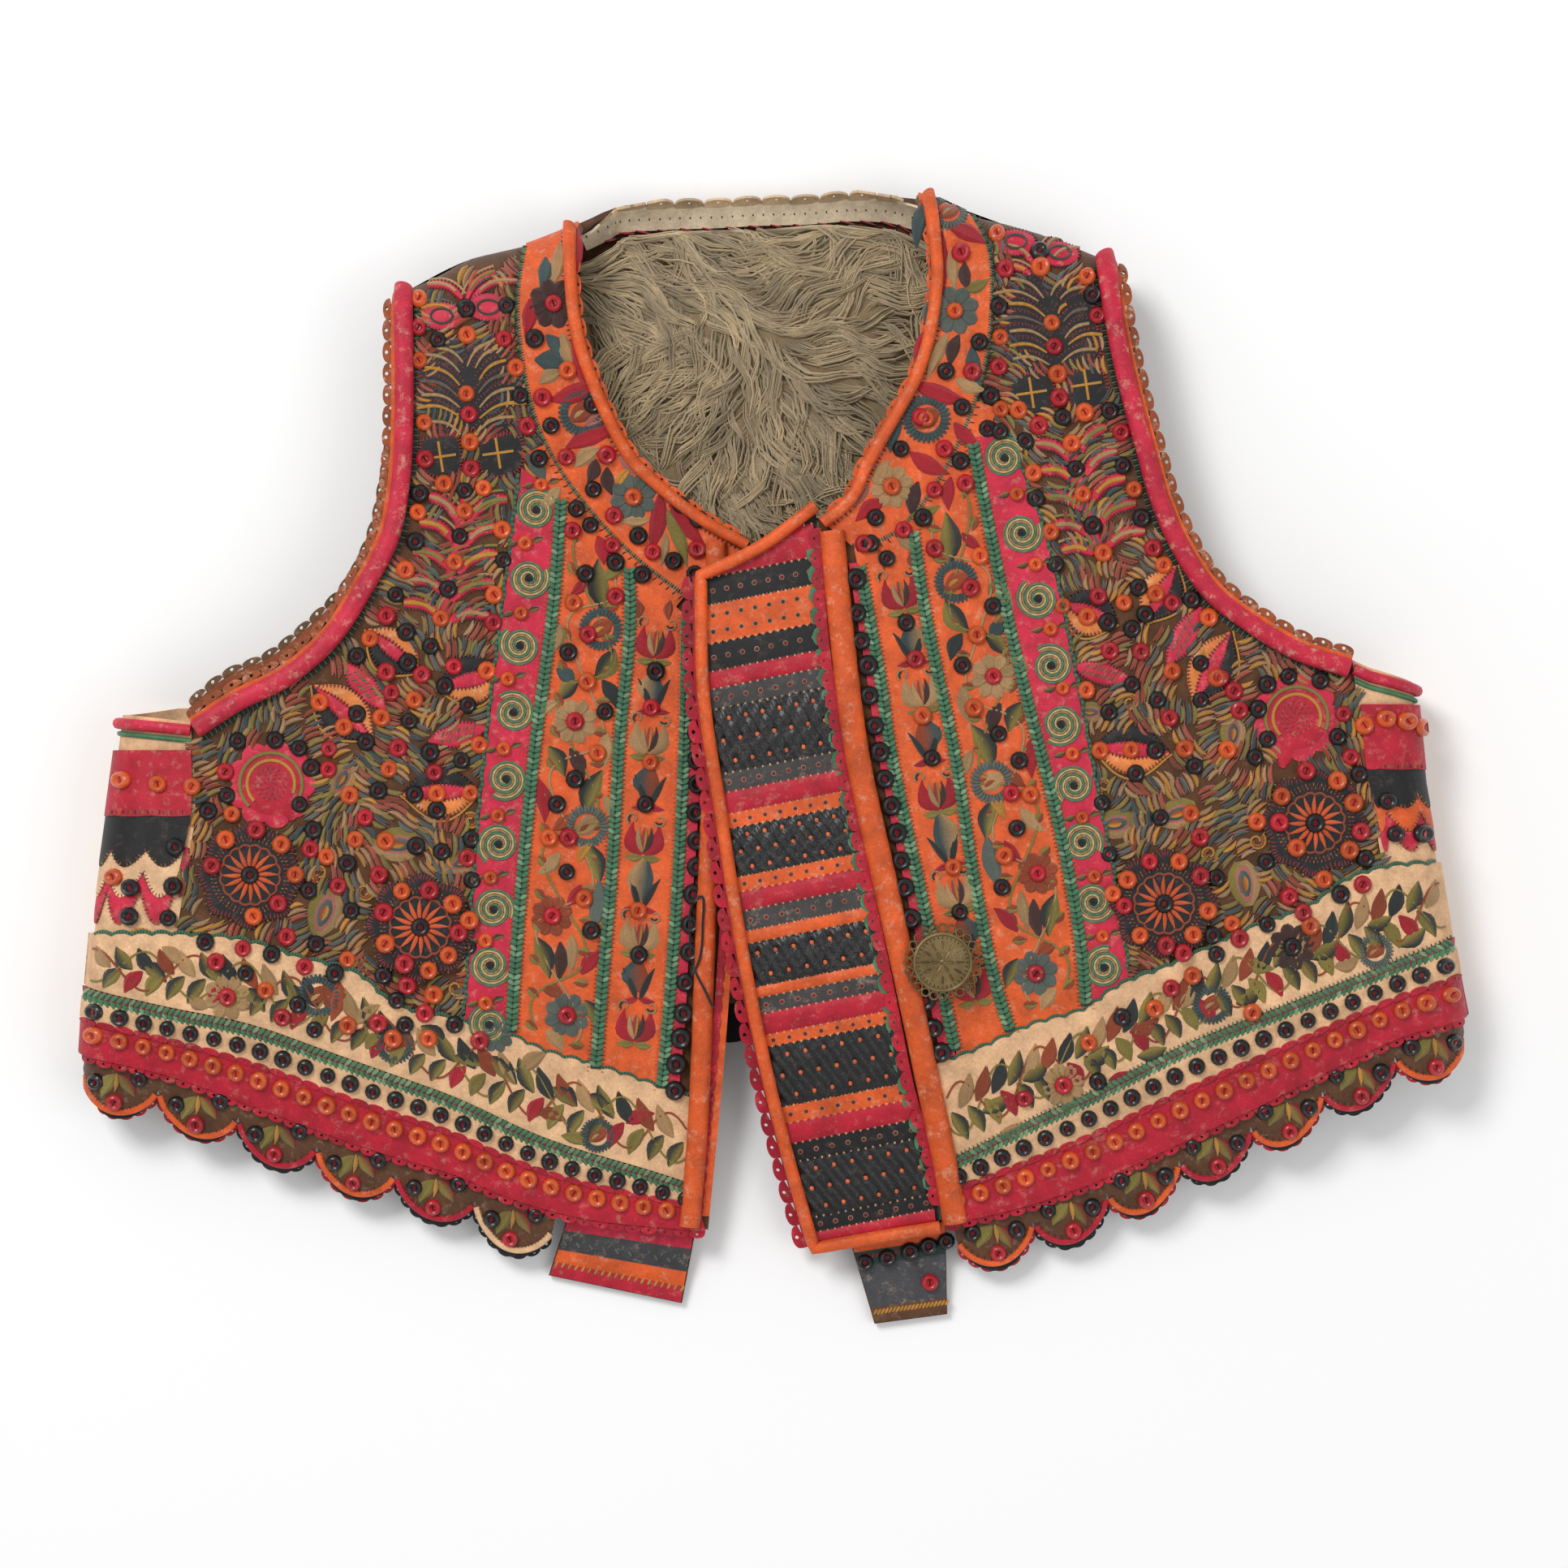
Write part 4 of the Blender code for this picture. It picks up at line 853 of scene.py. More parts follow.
def teeth(batch, surface_of, path, pitch, near, reach, lower, upper, tint, hole=0.85, start=0.0, end=1.0):
    """Rounded scallops along a path, each with a punched hole, growing from a near offset by reach."""
    shares = along_path(path, pitch, start, end)
    wide = path.length * (end - start) / len(shares)
    base = np.stack([np.linspace(-0.5, 0.5, 3)[:-1], np.zeros(2)], axis=-1)
    turn = np.linspace(0.0, np.pi, 9)
    lobe = np.stack([0.5 * np.cos(turn), 0.3 + 0.7 * np.sin(turn) ** 0.75], axis=-1)
    outer = np.vstack([base, lobe]) * (wide, abs(reach))
    middle = np.array([0.0, 0.55 * abs(reach)])
    inner = middle + unit(outer - middle) * hole
    count = len(outer)
    flat = np.vstack([outer, inner, outer, inner])
    level = np.repeat([upper, upper, lower, lower], count)
    number = np.arange(count)
    after = (number + 1) % count
    quads = np.vstack([np.stack([number, after, after + count, number + count], axis=-1),
                       np.stack([number + 3 * count, after + 3 * count, after + 2 * count,
                                 number + 2 * count], axis=-1),
                       np.stack([number + 2 * count, after + 2 * count, after, number], axis=-1),
                       np.stack([number + count, after + count, after + 3 * count, number + 3 * count],
                                axis=-1)])
    spots = (shares[:, None] + flat[:, 0] / path.length)
    offset = near + np.sign(reach) * flat[:, 1]
    step = 0.5 / path.length
    inside = np.clip(spots, step, 1.0 - step)
    plan = path.beside(inside.ravel(), np.tile(offset, len(shares))) + \
        path.ahead(inside.ravel()) * ((spots - inside).ravel() * path.length)[:, None]
    points = surface_of(plan, np.tile(level, len(shares)))
    if reach < 0.0:
        quads = quads[:, ::-1]
    shift = (np.arange(len(shares)) * 4 * count)[:, None, None]
    light = np.ones((len(shares), 1, 4))
    light[:, 0, :3] = dice.uniform(0.75, 1.15, (len(shares), 1))
    tints = np.broadcast_to(tint, (len(shares), 4 * count, 4)) * light
    batch.add(points, (quads + shift).reshape(-1, 4), (), tints.reshape(-1, 4))


# Ring buttons by colour: k black, o orange, r red
KNOT_TINTS = {"k": colour(22, 22, 25, 0.1), "o": colour(206, 84, 30, 0.35), "r": colour(176, 26, 40, 0.3)}
KNOT_RADIUS = 3.7
KNOT_FOLD_GAP = 5.0
STITCH_RED = colour(170, 24, 36, 0.0)
STITCH_DARK = colour(120, 16, 30, 0.0)


def knots(batch, surface_of, spots, kind, base, radius=KNOT_RADIUS):
    """Ring buttons of knotted leather, each tied down with a short red stitch, at plan points."""
    spots = np.asarray(spots, float).reshape(-1, 2)
    inner = read_table(BACK_FOLD, spots[:, 0]) - spots[:, 1] > KNOT_FOLD_GAP
    base = np.broadcast_to(np.asarray(base, float), len(spots))[inner]
    spots = spots[inner]
    count = len(spots)
    size = radius * dice.uniform(0.92, 1.06, count)
    turn = dice.uniform(0.0, 2.0 * np.pi, count)
    ahead = rays(turn)
    scatter(batch, KNOT, surface_of, spots, ahead, size, size, size * 0.72, base, KNOT_TINTS[kind])
    lean = dice.uniform(0.9, 2.2, count)
    tie = rays(lean)
    stitch = STITCH_DARK if kind == "r" else STITCH_RED
    scatter(batch, TICK, surface_of, spots - tie * size[:, None] * 0.42, tie, size * 0.84, size * 0.13,
            size * 0.22,
            base + size * 0.4, stitch)


def spiral(batch, surface_of, centre, radius, tints, base, width=0.62, start=0.0, turn_way=1.0):
    """Cords wound round a centre, one beside the other."""
    pitch = width * 2.0 * len(tints)
    turns = radius / pitch
    for number, tint in enumerate(tints):
        steps = np.linspace(0.15, turns, int(17 * turns) + 6)
        reach = pitch * steps - 2.0 * width * number
        keep = reach > 1.2
        angle = start + turn_way * steps[keep] * 2.0 * np.pi
        line = rays(angle) * reach[keep][:, None] + centre
        # Every other point of the cord is a darker copy of its tint: painted shade in the grooves of its
        # twist.
        twist_shade = in_turn(len(line), tint, tint * (0.72, 0.72, 0.72, 1.0))
        ridge(batch, surface_of, line, width * 0.95, 0.75, base, twist_shade)


def flower(batch, surface_of, centre, radius, tint, base, petals=8):
    """Satin petals round a middle."""
    ahead = rays(np.arange(petals) * 2.0 * np.pi / petals + 0.3)
    scatter(batch, PETAL, surface_of, centre + ahead * radius * 0.28, ahead, radius * 0.74, radius * 0.34,
            1.0, base, tint)


# Rays in an eye's ring, and the angle of its heart in radians
EYE_RAYS = 30
EYE_LEAN = 0.6


def eye(batch, surface_of, centre, radius, base, ring_tint=SLATE, heart=RUST, core=TAN):
    """A round satin ring with a two-tone heart."""
    ray = rays(np.arange(EYE_RAYS) * 2.0 * np.pi / EYE_RAYS)
    scatter(batch, STITCH, surface_of, centre + ray * radius * 0.58, ray, radius * 0.42, radius * 0.1, 0.9,
            base,
            ring_tint)
    tilt = np.array([math.cos(EYE_LEAN), math.sin(EYE_LEAN)])
    scatter(batch, PETAL, surface_of, [centre - tilt * radius * 0.55], tilt, radius * 1.1, radius * 0.42,
            0.95, base,
            heart)
    scatter(batch, BLADE, surface_of, [centre - tilt * radius * 0.4], tilt, radius * 0.6, radius * 0.14, 1.25,
            base,
            core)


def panel_rows():
    """Shares along a front, with its shoulder and neck ends closer."""
    return np.concatenate([np.linspace(0.0, 0.5, 30)[:-1], 0.5 + 0.5 * rolled(30, 190.0)])


def dress_back():
    """The back wall, its fleece bed and its hem tongues."""
    left_edge = Chain([(-257, -118), (-250, -60), (-241, 21)], BACK_ARMHOLE[RIGHT])
    right_edge = Chain([(254, -98), (243, -60), (233, 39)], BACK_ARMHOLE[LEFT])
    wall = Batch()
    patch = Patch(left_edge, right_edge, Path(BACK_HEM), Path(BACK_NECK))
    rows = np.concatenate([np.linspace(0.0, 0.5, 20)[:-1], 0.5 + 0.5 * rolled(20, 200.0)])
    slab(wall, on_back(patch), even(60), rows, 0.0, SKIN, SUEDE)
    wall.make("back_wall", PANEL_LOOK, ["back_panel"])

    bed = Batch()
    fleece = Patch(Path(FLEECE_LEFT), Path(FLEECE_RIGHT), None, Path(FLEECE_TOP))

    def bed_top(u, v):
        """Upper lift of the fleece, higher in the neck opening and lumpy."""
        plan = fleece.at(u, v)
        near_middle = smooth_step((100.0 - np.abs(plan[:, 0] + 10.0)) / 30.0)
        in_neck = smooth_step((plan[:, 1] - 60.0) / 30.0) * near_middle
        lumps = 1.4 * np.sin(plan[:, 0] / 5.1 + 2.0 * np.sin(plan[:, 1] / 8.3)) * np.sin(plan[:, 1] / 6.7)
        rise = BACK_FLEECE - 2.5 + NECK_FLEECE * in_neck + lumps
        edge = np.minimum(smooth_step(np.minimum(u, 1.0 - u) / 0.03),
                          smooth_step(np.minimum(v, 1.0 - v) / 0.04))
        return BEHIND + 0.8 + (rise - 0.8) * edge

    # The bed's darker tint is painted shade under the locks.
    slab(bed, on_back(fleece), even(60), even(50), BEHIND, bed_top, WOOL_IN_SHADE)
    bed.make("back_fleece_bed", FLEECE_LOOK, ["back_fleece"])

    hem = Path(BACK_HEM)
    tongues = BACK_TONGUES

    def lobed(u, v, lift):
        """Points on the tongues, from the hem outwards."""
        depth = SEAM + u * TONGUE_DEPTH * (0.45 + 0.55 * np.abs(np.sin(np.pi * tongues * v)) ** 0.6)
        return np.concatenate([hem.beside(v, -depth), lift[:, None]], axis=1)

    lobes = Batch()
    slab(lobes, lobed, even(4), even(tongues * 14), 0.0, 1.6, BLACK)
    lobes.make("back_tongues", LEATHER_LOOK, ["back_hem_tongues"])


def dress_front(side):
    """One front wall, the leather outside and the wool inside."""
    inner = Chain(CENTRE_EDGE[side], NECK_EDGE[side])
    outer = Chain(SIDE_SEAM[side], ARMHOLE[side])
    hem_rows = [row for row in HEM[side] if abs(row[0]) < 253]
    ends = (NECK_EDGE[side][-1][0], ARMHOLE[side][-1][0])
    across = ends[0] + (ends[1] - ends[0]) * even(6)
    shoulder = np.stack([across, read_table(SHOULDER_FOLD[side], across) - 0.02], axis=-1)
    patch = Patch(inner, outer, Path(hem_rows), Path(shoulder))
    wall = Batch()
    slab(wall, on_front(patch, side), even(44), panel_rows(), -SKIN, 0.0, SUEDE)
    wall.make("front_wall_" + side, PANEL_LOOK, ["front_%s_panel" % side])

    def bed_point(u, v, lift):
        """Points on the wool's bed, which ends a little inside the wall's edges."""
        return front_point(patch.at(0.05 + 0.9 * u, 0.04 + 0.885 * v), lift, side)

    def lumpy(u, v):
        """Lower lift of the wool, in lumps."""
        lumps = np.sin(u * 50.0 + 2.0 * np.sin(v * 23.0)) * np.sin(v * 41.0)
        return -SKIN - FLEECE_GAP - FRONT_FLEECE + 1.2 + lumps

    wool = Batch()
    slab(wool, bed_point, even(34), even(36), lumpy, -SKIN - FLEECE_GAP, WOOL)
    wool.make("front_wool_" + side, FLEECE_LOOK, ["front_%s_fleece" % side])


def gusset_place(side):
    """The place function of a side piece that turns round the fold, and its shares across."""
    sign = OUTWARDS[side]
    seam = Path(SIDE_SEAM[side])
    hem = [(abs(x), y) for x, y in HEM[side]]
    back_hem_y = {RIGHT: -118.0, LEFT: -98.0}[side]
    seam_top, fold_top, back_top = {RIGHT: (15.0, 18.0, 21.0), LEFT: (40.0, 31.0, 39.0)}[side]
    back_seam = {RIGHT: (257.0, 241.0), LEFT: (254.0, 233.0)}[side]
    angles = list(range(90, -91, -6))
    count = len(angles) + 3

    def one(u, v, lift):
        """One point: on the front before the fold, round the fold, or on the back."""
        station = round(u * (count - 1))
        low_fold = abs(read_table(SIDE_FOLD[side], -110.0))
        angle = angles[min(max(station - 2, 0), len(angles) - 1)]
        bend, rise = math.cos(math.radians(angle)), math.sin(math.radians(angle))
        radius = crown(sign * low_fold, -115.0, side) / 2.0
        low = read_table(hem, low_fold - radius * (1.0 - bend))
        high = fold_top + (seam_top - fold_top) * (1.0 - bend) * 0.65
        if angle < 0:
            low += (back_hem_y - low) * (1.0 - bend)
            high = fold_top + (back_top - fold_top) * (1.0 - bend)
        if station < 2:
            share = 1.0 - station / 2.0
            low = read_table(hem, low_fold - radius - (low_fold - radius - abs(seam.at(0.0)[0])) * share)
            high += (seam_top - high) * share
        y = low + (high - low) * v
        fold_x = abs(read_table(SIDE_FOLD[side], y))
        radius = crown(sign * fold_x, y, side) / 2.0
        if station < 2:
            gap = radius + (fold_x - abs(seam.at(v)[0]) - SEAM - radius) * (1.0 - station / 2.0)
            return front_point(np.array([sign * (fold_x - gap), y]), lift, side)
        if station == count - 1:
            back_x = back_seam[0] + (back_seam[1] - back_seam[0]) * v + SEAM + 0.5
            return np.array([sign * min(back_x, fold_x - radius - 1.0), y, -lift])
        return np.array([sign * (fold_x - radius + bend * (radius + lift)), y,
                         radius + rise * (radius + lift)])

    return lambda u, v, lift: np.stack([one(*values) for values in zip(u, v, lift)]), even(count - 1)


def dress_gusset(side):
    """The cream side piece."""
    place, across = gusset_place(side)
    skin = Batch()
    slab(skin, place, across, even(20), -SKIN, 0.0, CREAM)
    skin.make("gusset_" + side, CREAM_LOOK, ["side_gusset_" + side])


def lappet_point(side):
    """The place function of the lappets, by share across from the seam to the fold and share downwards."""
    sign = OUTWARDS[side]
    top, waist, bottom = {RIGHT: (3.5, -21.5, -67.0), LEFT: (22.0, -3.0, -37.5)}[side]
    seam = Path(SIDE_SEAM[side])
    shares = {RIGHT: (0.86, 0.42), LEFT: (0.88, 0.55)}[side]

    def place(u, v, lift):
        """Points on the lappets, with three lobes below their waist."""
        y = top + (waist - top) * np.minimum(v * 3.0, 1.0) + (bottom - waist) * np.maximum(v * 1.5 - 0.5, 0.0)
        y = y - np.where(v > 0.34,
                         (bottom - waist) * 0.3 * (1.0 - np.abs(np.sin(np.pi * 3.0 * u))) * (v - 0.34) / 0.66,
                         0.0)
        fold_x = np.abs(read_table(SIDE_FOLD[side], y))
        radius = crown(sign * fold_x, y, side) / 2.0
        inner_gap = fold_x - np.abs(seam.at(shares[0] + (shares[1] - shares[0]) * v)[..., 0]) - 1.5
        turned = radius * (1.0 - np.cos(np.pi / 2.0 * (1.0 - (u - 0.33) / 0.67)))
        flat = inner_gap + (radius - inner_gap) * u / 0.33
        gap = np.where(u < 0.33, flat, turned)
        return front_point(np.stack([sign * (fold_x - gap), y], axis=-1), lift, side)

    return place


def dress_lappets(side):
    """The red band of a side piece and the lappets that hang from it, in four layers."""
    batch = Batch()
    place = lappet_point(side)
    tints = [BLACK, CREAM, PINK] if side == RIGHT else [BLACK, ORANGE, PINK]
    reach = [(0.0, 0.36, 1.3, 2.2, CRIMSON), (0.34, 0.66, 0.95, 1.7, tints[0]),
             (0.34, 0.84, 0.6, 1.35, tints[1]),
             (0.34, 1.0, LOW - 0.1, 0.9, tints[2])]
    for start, end, lower, upper, tint in reach:
        slab(batch, place, even(48), np.linspace(start, end, 14), lower, upper, tint)
    batch.make("lappets_" + side, LEATHER_LOOK, ["gusset_lappets_" + side])


def strip_patches(side):
    """The four strips' patches from the button strip outwards."""
    edges = [Path(BUTTON_EDGE[side])] + [Path(rows) for rows in BRAIDS[side]] + [Path(SPIRAL_EDGE[side])]
    return edges, [Patch(edges[index], edges[index + 1]) for index in range(4)]


def dress_yoke_and_strips(side):
    """The orange yoke and the strips between the braids."""
    neck, yoke = Path(NECK_EDGE[side]), Path(YOKE_EDGE[side])
    ends = [neck.at(np.array(1.0))[0], yoke.at(np.array(1.0))[0]]
    across = np.array([ends[0], sum(ends) / 2.0, ends[1]])
    top = Path(np.stack([across, read_table(SHOULDER_FOLD[side], across) - 1.0], axis=-1))
    batch = Batch()
    slab(batch, on_front(Patch(neck, yoke, None, top), side), even(14), rolled(70, 170.0, end_gap=1.0), LOW,
         HIGH, ORANGE)
    batch.make("yoke_leather_" + side, LEATHER_LOOK, ["yoke_" + side])
    out = OUTWARDS[side]
    batch = Batch()
    slab(batch, on_front(Ribbon(yoke, -0.3 * out, -9.5 * out), side), even(3), 0.005 + 0.5 * even(30),
         LOW + 0.1, HIGH - 0.12,
         ORANGE)
    batch.make("yoke_seam_leather_" + side, LEATHER_LOOK)
    names = ["button_strip_", "tulip_strip_", "vine_strip_", "spiral_strip_"]
    tints = [PINK, ORANGE, ORANGE, PINK]
    for index, (name, patch) in enumerate(zip(names, strip_patches(side)[1])):
        margin = 0.04 if index < 1 else 0.012
        batch = Batch()
        slab(batch, lambda u, v, lift: front_point(patch.at(margin + (1.0 - 2.0 * margin) * u, v), lift,
                                                   side),
             even(10), even(90), LOW, HIGH, tints[index])
        batch.make(name + "leather_" + side, LEATHER_LOOK, [name + side])


def dress_rolls(side):
    """Neck piping, armhole roll and padded front roll."""
    out = OUTWARDS[side]
    neck, armhole, roll = Path(NECK_EDGE[side]), Path(ARMHOLE[side]), Path(FRONT_ROLL[side])
    batch = Batch()
    slab(batch, on_front(Ribbon(neck, 0.0, 5.0 * -out), side), ROUND,
         0.975 * rolled(110, neck.length, end_gap=1.0),
         OVER_STRIPS + 0.45, pad(3.0, OVER_STRIPS + 1.0), ORANGE)
    batch.make("neck_roll_" + side, LEATHER_LOOK, ["neck_piping_" + side], ROUND_ANGLE)
    batch = Batch()
    slab(batch, on_front(Ribbon(armhole, 0.0, 7.5 * out), side), ROUND,
         rolled(150, armhole.length, end_gap=1.0),
         HIGH + 0.7, pad(3.4, HIGH + 1.3), PINK * (0.95, 1.0, 0.9, 1.6))
    batch.make("arm_roll_" + side, LEATHER_LOOK, ["armhole_roll_" + side], ROUND_ANGLE)
    half, height = (4.2, 4.4) if side == RIGHT else (5.0, 4.2)
    batch = Batch()
    slab(batch, on_front(Ribbon(roll, half, -half), side), ROUND, even(150), OVER_STRIPS,
         pad(height, OVER_STRIPS + 0.6), ORANGE * (0.92, 0.92, 0.92, 1.3))
    batch.make("padded_roll_" + side, LEATHER_LOOK, ["front_roll_" + side], ROUND_ANGLE)


BAND_STATIONS = [(0.0, -2.4, 2.4), (0.0, 2.2, 2.0), (0.36, 0.0, 2.6), (1.0, 0.0, 2.4), (1.0, 3.6, 1.4)]
BAND_START = 0.004
BAND_END = 0.99
BAND_KNOT_PITCH = 9.4


def band_plan(side):
    """Plan points on the hem band, from its braid at 0 to its lower edge at 4."""
    braid, hem = Path(HEM_BRAID[side]), Path(HEM[side])

    def plan(u, v):
        """Plan points at stations across the band and shares along it."""
        station = np.clip(np.asarray(u, float), 0.0, 4.0)
        keys = np.arange(5)
        share = np.interp(station, keys, [row[0] for row in BAND_STATIONS])
        drop = np.interp(station, keys, [row[1] for row in BAND_STATIONS])
        point = braid.at(v) * (1.0 - share)[..., None] + hem.at(v) * share[..., None]
        return point - np.stack([np.zeros_like(drop), drop], axis=-1)

    return plan


def band_lift(u):
    """Upper lift of the hem band's leather at a station."""
    return np.interp(u, np.arange(5), [row[2] for row in BAND_STATIONS])


def dress_hem(side):
    """The cream border, the red band, the tongues and the pinked layer under them."""
    top, braid, hem = Path(BORDER_TOP[side]), Path(HEM_BRAID[side]), Path(HEM[side])
    batch = Batch()

    def border(u, v, lift):
        """Points on the cream border, from its top to just above the braid."""
        below = braid.at(v) + (0.0, 3.0)
        return front_point(top.at(v) * (1.0 - u[:, None]) + below * u[:, None], lift, side)

    slab(batch, border, even(12), rolled(110, top.length, end_gap=0.6, radius=19.5), LOW, HIGH + 0.12,
         CREAM)
    batch.make("border_leather_" + side, CREAM_LOOK, ["hem_border_" + side])

    plan = band_plan(side)
    stations = np.array([0.0, 0.5, 1.0, 1.3, 1.6, 2.0, 2.4, 2.8, 3.0, 3.2])
    along = BAND_START + (1.0 - BAND_START) * rolled(130, hem.length, end_gap=0.6, radius=19.0)
    batch = Batch()
    slab(batch, lambda u, v, lift: front_point(plan(u * 3.2, v), lift, side), stations / 3.2, along,
         LOW + 0.3,
         lambda u, v: band_lift(u * 3.2), CRIMSON)
    batch.make("band_leather_" + side, LEATHER_LOOK, ["hem_band_" + side])

    start, count = TONGUE_START[side], TONGUE_COUNT[side]
    slant = unit(np.array([TONGUE_LEAN * OUTWARDS[side], -1.0]))
    for name, node_name, deeper, level, tint in (("tongue_leather_", "hem_tongues_", 0.0, -0.6, SUEDE),
                                                 ("pinked_layer_", "hem_underlay_", 2.6, -2.7, BLACK)):
        def tongue(u, v, lift, deeper=deeper):
            """Points on the tongues of this layer."""
            lobe = np.abs(np.sin(np.pi * count * (v - start) / (1.0 - start)))
            depth = TONGUE_SEAT + u * ((TONGUE_DEPTH + deeper) * (0.3 + 0.7 * lobe ** 0.55))
            return front_point(hem.at(v) + slant * depth[:, None], lift, side)

        batch = Batch()
        slab(batch, tongue, even(8), start + (1.0 - start) * even(count * 24), level - 1.4, level, tint)
        batch.make(name + side, LEATHER_LOOK, [node_name + side])


def flap_point(side):
    """The place function of a hem flap, from its seat under the hem to its lower end on the ground."""
    flap = np.array(FLAP_CORNERS[side], float)

    def place(u, v, lift):
        """Points over the flap, which hangs down to the ground in a quarter wave."""
        share = u[:, None]
        edge = flap[0] * (1 - share) + flap[1] * share
        end = flap[3] * (1 - share) + flap[2] * share
        point = edge * (1 - v[:, None]) + end * v[:, None]
        seat = crown(edge[:, 0], edge[:, 1], side) - SKIN - LAYER_GAP - FLAP_THICKNESS
        height = seat + (FLAP_END - seat) * np.sin(np.clip(v, 0.0, 1.0) * np.pi / 2.0)
        return np.stack([point[:, 0], point[:, 1], height + lift], axis=-1)

    return place


def dress_flap(side):
    """The suede of a hem flap."""
    batch = Batch()
    slab(batch, flap_point(side), even(24), even(20), 0.0, FLAP_THICKNESS, SUEDE)
    batch.make("flap_leather_" + side, LEATHER_LOOK, ["hem_flap_" + side])


def plastron_patch():
    """The centre panel's plan."""
    return Patch(Path(PLASTRON_FREE), Path([(x - 0.6, y) for x, y in PLASTRON_SEWN]), Path(PLASTRON_BOTTOM),
                 Path(PLASTRON_TOP))


def swept(batch, points, radius, tint, sides=10):
    """A round piping along points in space, closed at both ends."""
    points = np.asarray(points, float)
    ahead = unit(np.gradient(points, axis=0))
    beside = unit(np.cross(ahead, (0.0, 0.0, 1.0)))
    above = np.cross(beside, ahead)
    turn = np.arange(sides) * 2.0 * np.pi / sides
    radius = np.broadcast_to(radius, len(points))[:, None, None]
    spokes = beside[:, None] * np.cos(turn)[:, None] + above[:, None] * np.sin(turn)[:, None]
    ring = points[:, None] + radius * spokes
    index = np.arange(len(points) * sides).reshape(-1, sides)
    quads = ring_quads(index)
    fan = np.arange(1, sides - 1)
    first = np.stack([np.zeros_like(fan), fan, fan + 1], axis=-1)
    last = first[:, ::-1] + index[-1, 0]
    grown = turned_out(ring.reshape(-1, 3), quads)
    if grown is not quads:
        first, last = first[:, ::-1], last[:, ::-1]
    thread = np.stack([np.repeat(runs_along(points), sides), np.tile(turn, len(points))], axis=-1)
    batch.add(ring.reshape(-1, 3), quads=grown, tris=np.vstack([first[:, ::-1], last[:, ::-1]]), tint=tint,
              thread=thread)


def dress_plastron():
    """The striped centre panel's leather, with its piping."""
    batch = Batch()
    slab(batch, on_front(plastron_patch(), LEFT), even(14), even(60), -SKIN, 0.0, BLACK)
    batch.make("plastron_leather", LEATHER_LOOK, ["plastron"])
    free, top, bottom = Path(PLASTRON_FREE), Path(PLASTRON_TOP), Path(PLASTRON_BOTTOM)
    route = np.vstack([bottom.at(even(12))[:0:-1], free.at(even(110)), top.at(even(16))[1:]])
    batch = Batch()
    swept(batch, front_point(route, np.full(len(route), 3.2), LEFT), 2.6, ORANGE, 12)
    batch.make("plastron_roll", LEATHER_LOOK, ["plastron_piping"], ROUND_ANGLE)


def dress_brooch():
    """The pinned brooch's turned body on its pin boss."""
    profile = np.array([(0.0, 3.6), (6.0, 3.6), (6.0, 7.3), (11.8, 7.3), (12.1, 7.6), (12.1, 9.1),
                        (11.8, 9.4),
                        (11.3, 9.5), (10.9, 9.3), (10.6, 8.9), (9.0, 8.9), (0.0, 9.0)])
    steps = 56
    turn = np.arange(steps) * 2.0 * np.pi / steps
    seat = front_point(np.array(BROOCH_CENTRE), 0.0, LEFT)
    ring = np.stack([profile[:, :1] * np.cos(turn), profile[:, :1] * np.sin(turn),
                     np.repeat(profile[:, 1:], steps, axis=1)], axis=-1) + seat
    quads = ring_quads(np.arange(len(profile) * steps).reshape(-1, steps))
    batch = Batch()
    points = ring.reshape(-1, 3)
    batch.add(points, quads=turned_out(points, quads), tint=BRASS)
    batch.make("brooch_disc", BRASS_LOOK, ["brooch"])


PENDING = []
BRAID_TINTS = [BRAID_DARK, GREEN]


def gather(name, material, nodes=(), smooth_angle=FLAT_ANGLE):
    """A batch that is made into a piece once all of its motifs are in."""
    batch = Batch()
    PENDING.append((batch, name, material, nodes, smooth_angle))
    return batch


def sew_braids(side):
    """The green braids of the strips and the hem, each over its CAD form."""
    front = over_front(side)
    edges = strip_patches(side)[0]
    for index, name in enumerate(["inner_braid_", "middle_braid_", "outer_braid_"]):
        batch = gather(name + "wool_" + side, WOOL_LOOK, [name + side])
        slab(batch, on_front(Ribbon(edges[index + 1], -2.1, 2.1), side), even(2), 0.01 + 0.98 * even(70),
             OVER_STRIPS, OVER_STRIPS + 0.25, BRAID_DARK)
        braid(batch, front, edges[index + 1], 2.35, 2.3, OVER_STRIPS + 0.1, 0.95, 0.01, 0.99)
        for near in (-3.6, 3.6):
            ticks(batch, front, edges[index + 1], 1.7, near * 0.62, near, 0.3, 0.35, HIGH,
                  [ORANGE if dice.random() < 0.5 else RUST])
    batch = gather("hem_braid_wool_" + side, WOOL_LOOK)
    band = band_plan(side)
    shares = np.linspace(BAND_START, 0.997, 60)
    line = Path(band(np.full(60, 0.5), shares))
    braid(batch, front, line, 2.6, 2.3, 2.1, 1.2)
    cream_edge = Path(band(np.full(60, 0.02), shares))
    ticks(batch, front, cream_edge, 1.8, -0.2, 1.8, 0.3, 0.4, 2.0, [GREEN, BRAID_DARK])


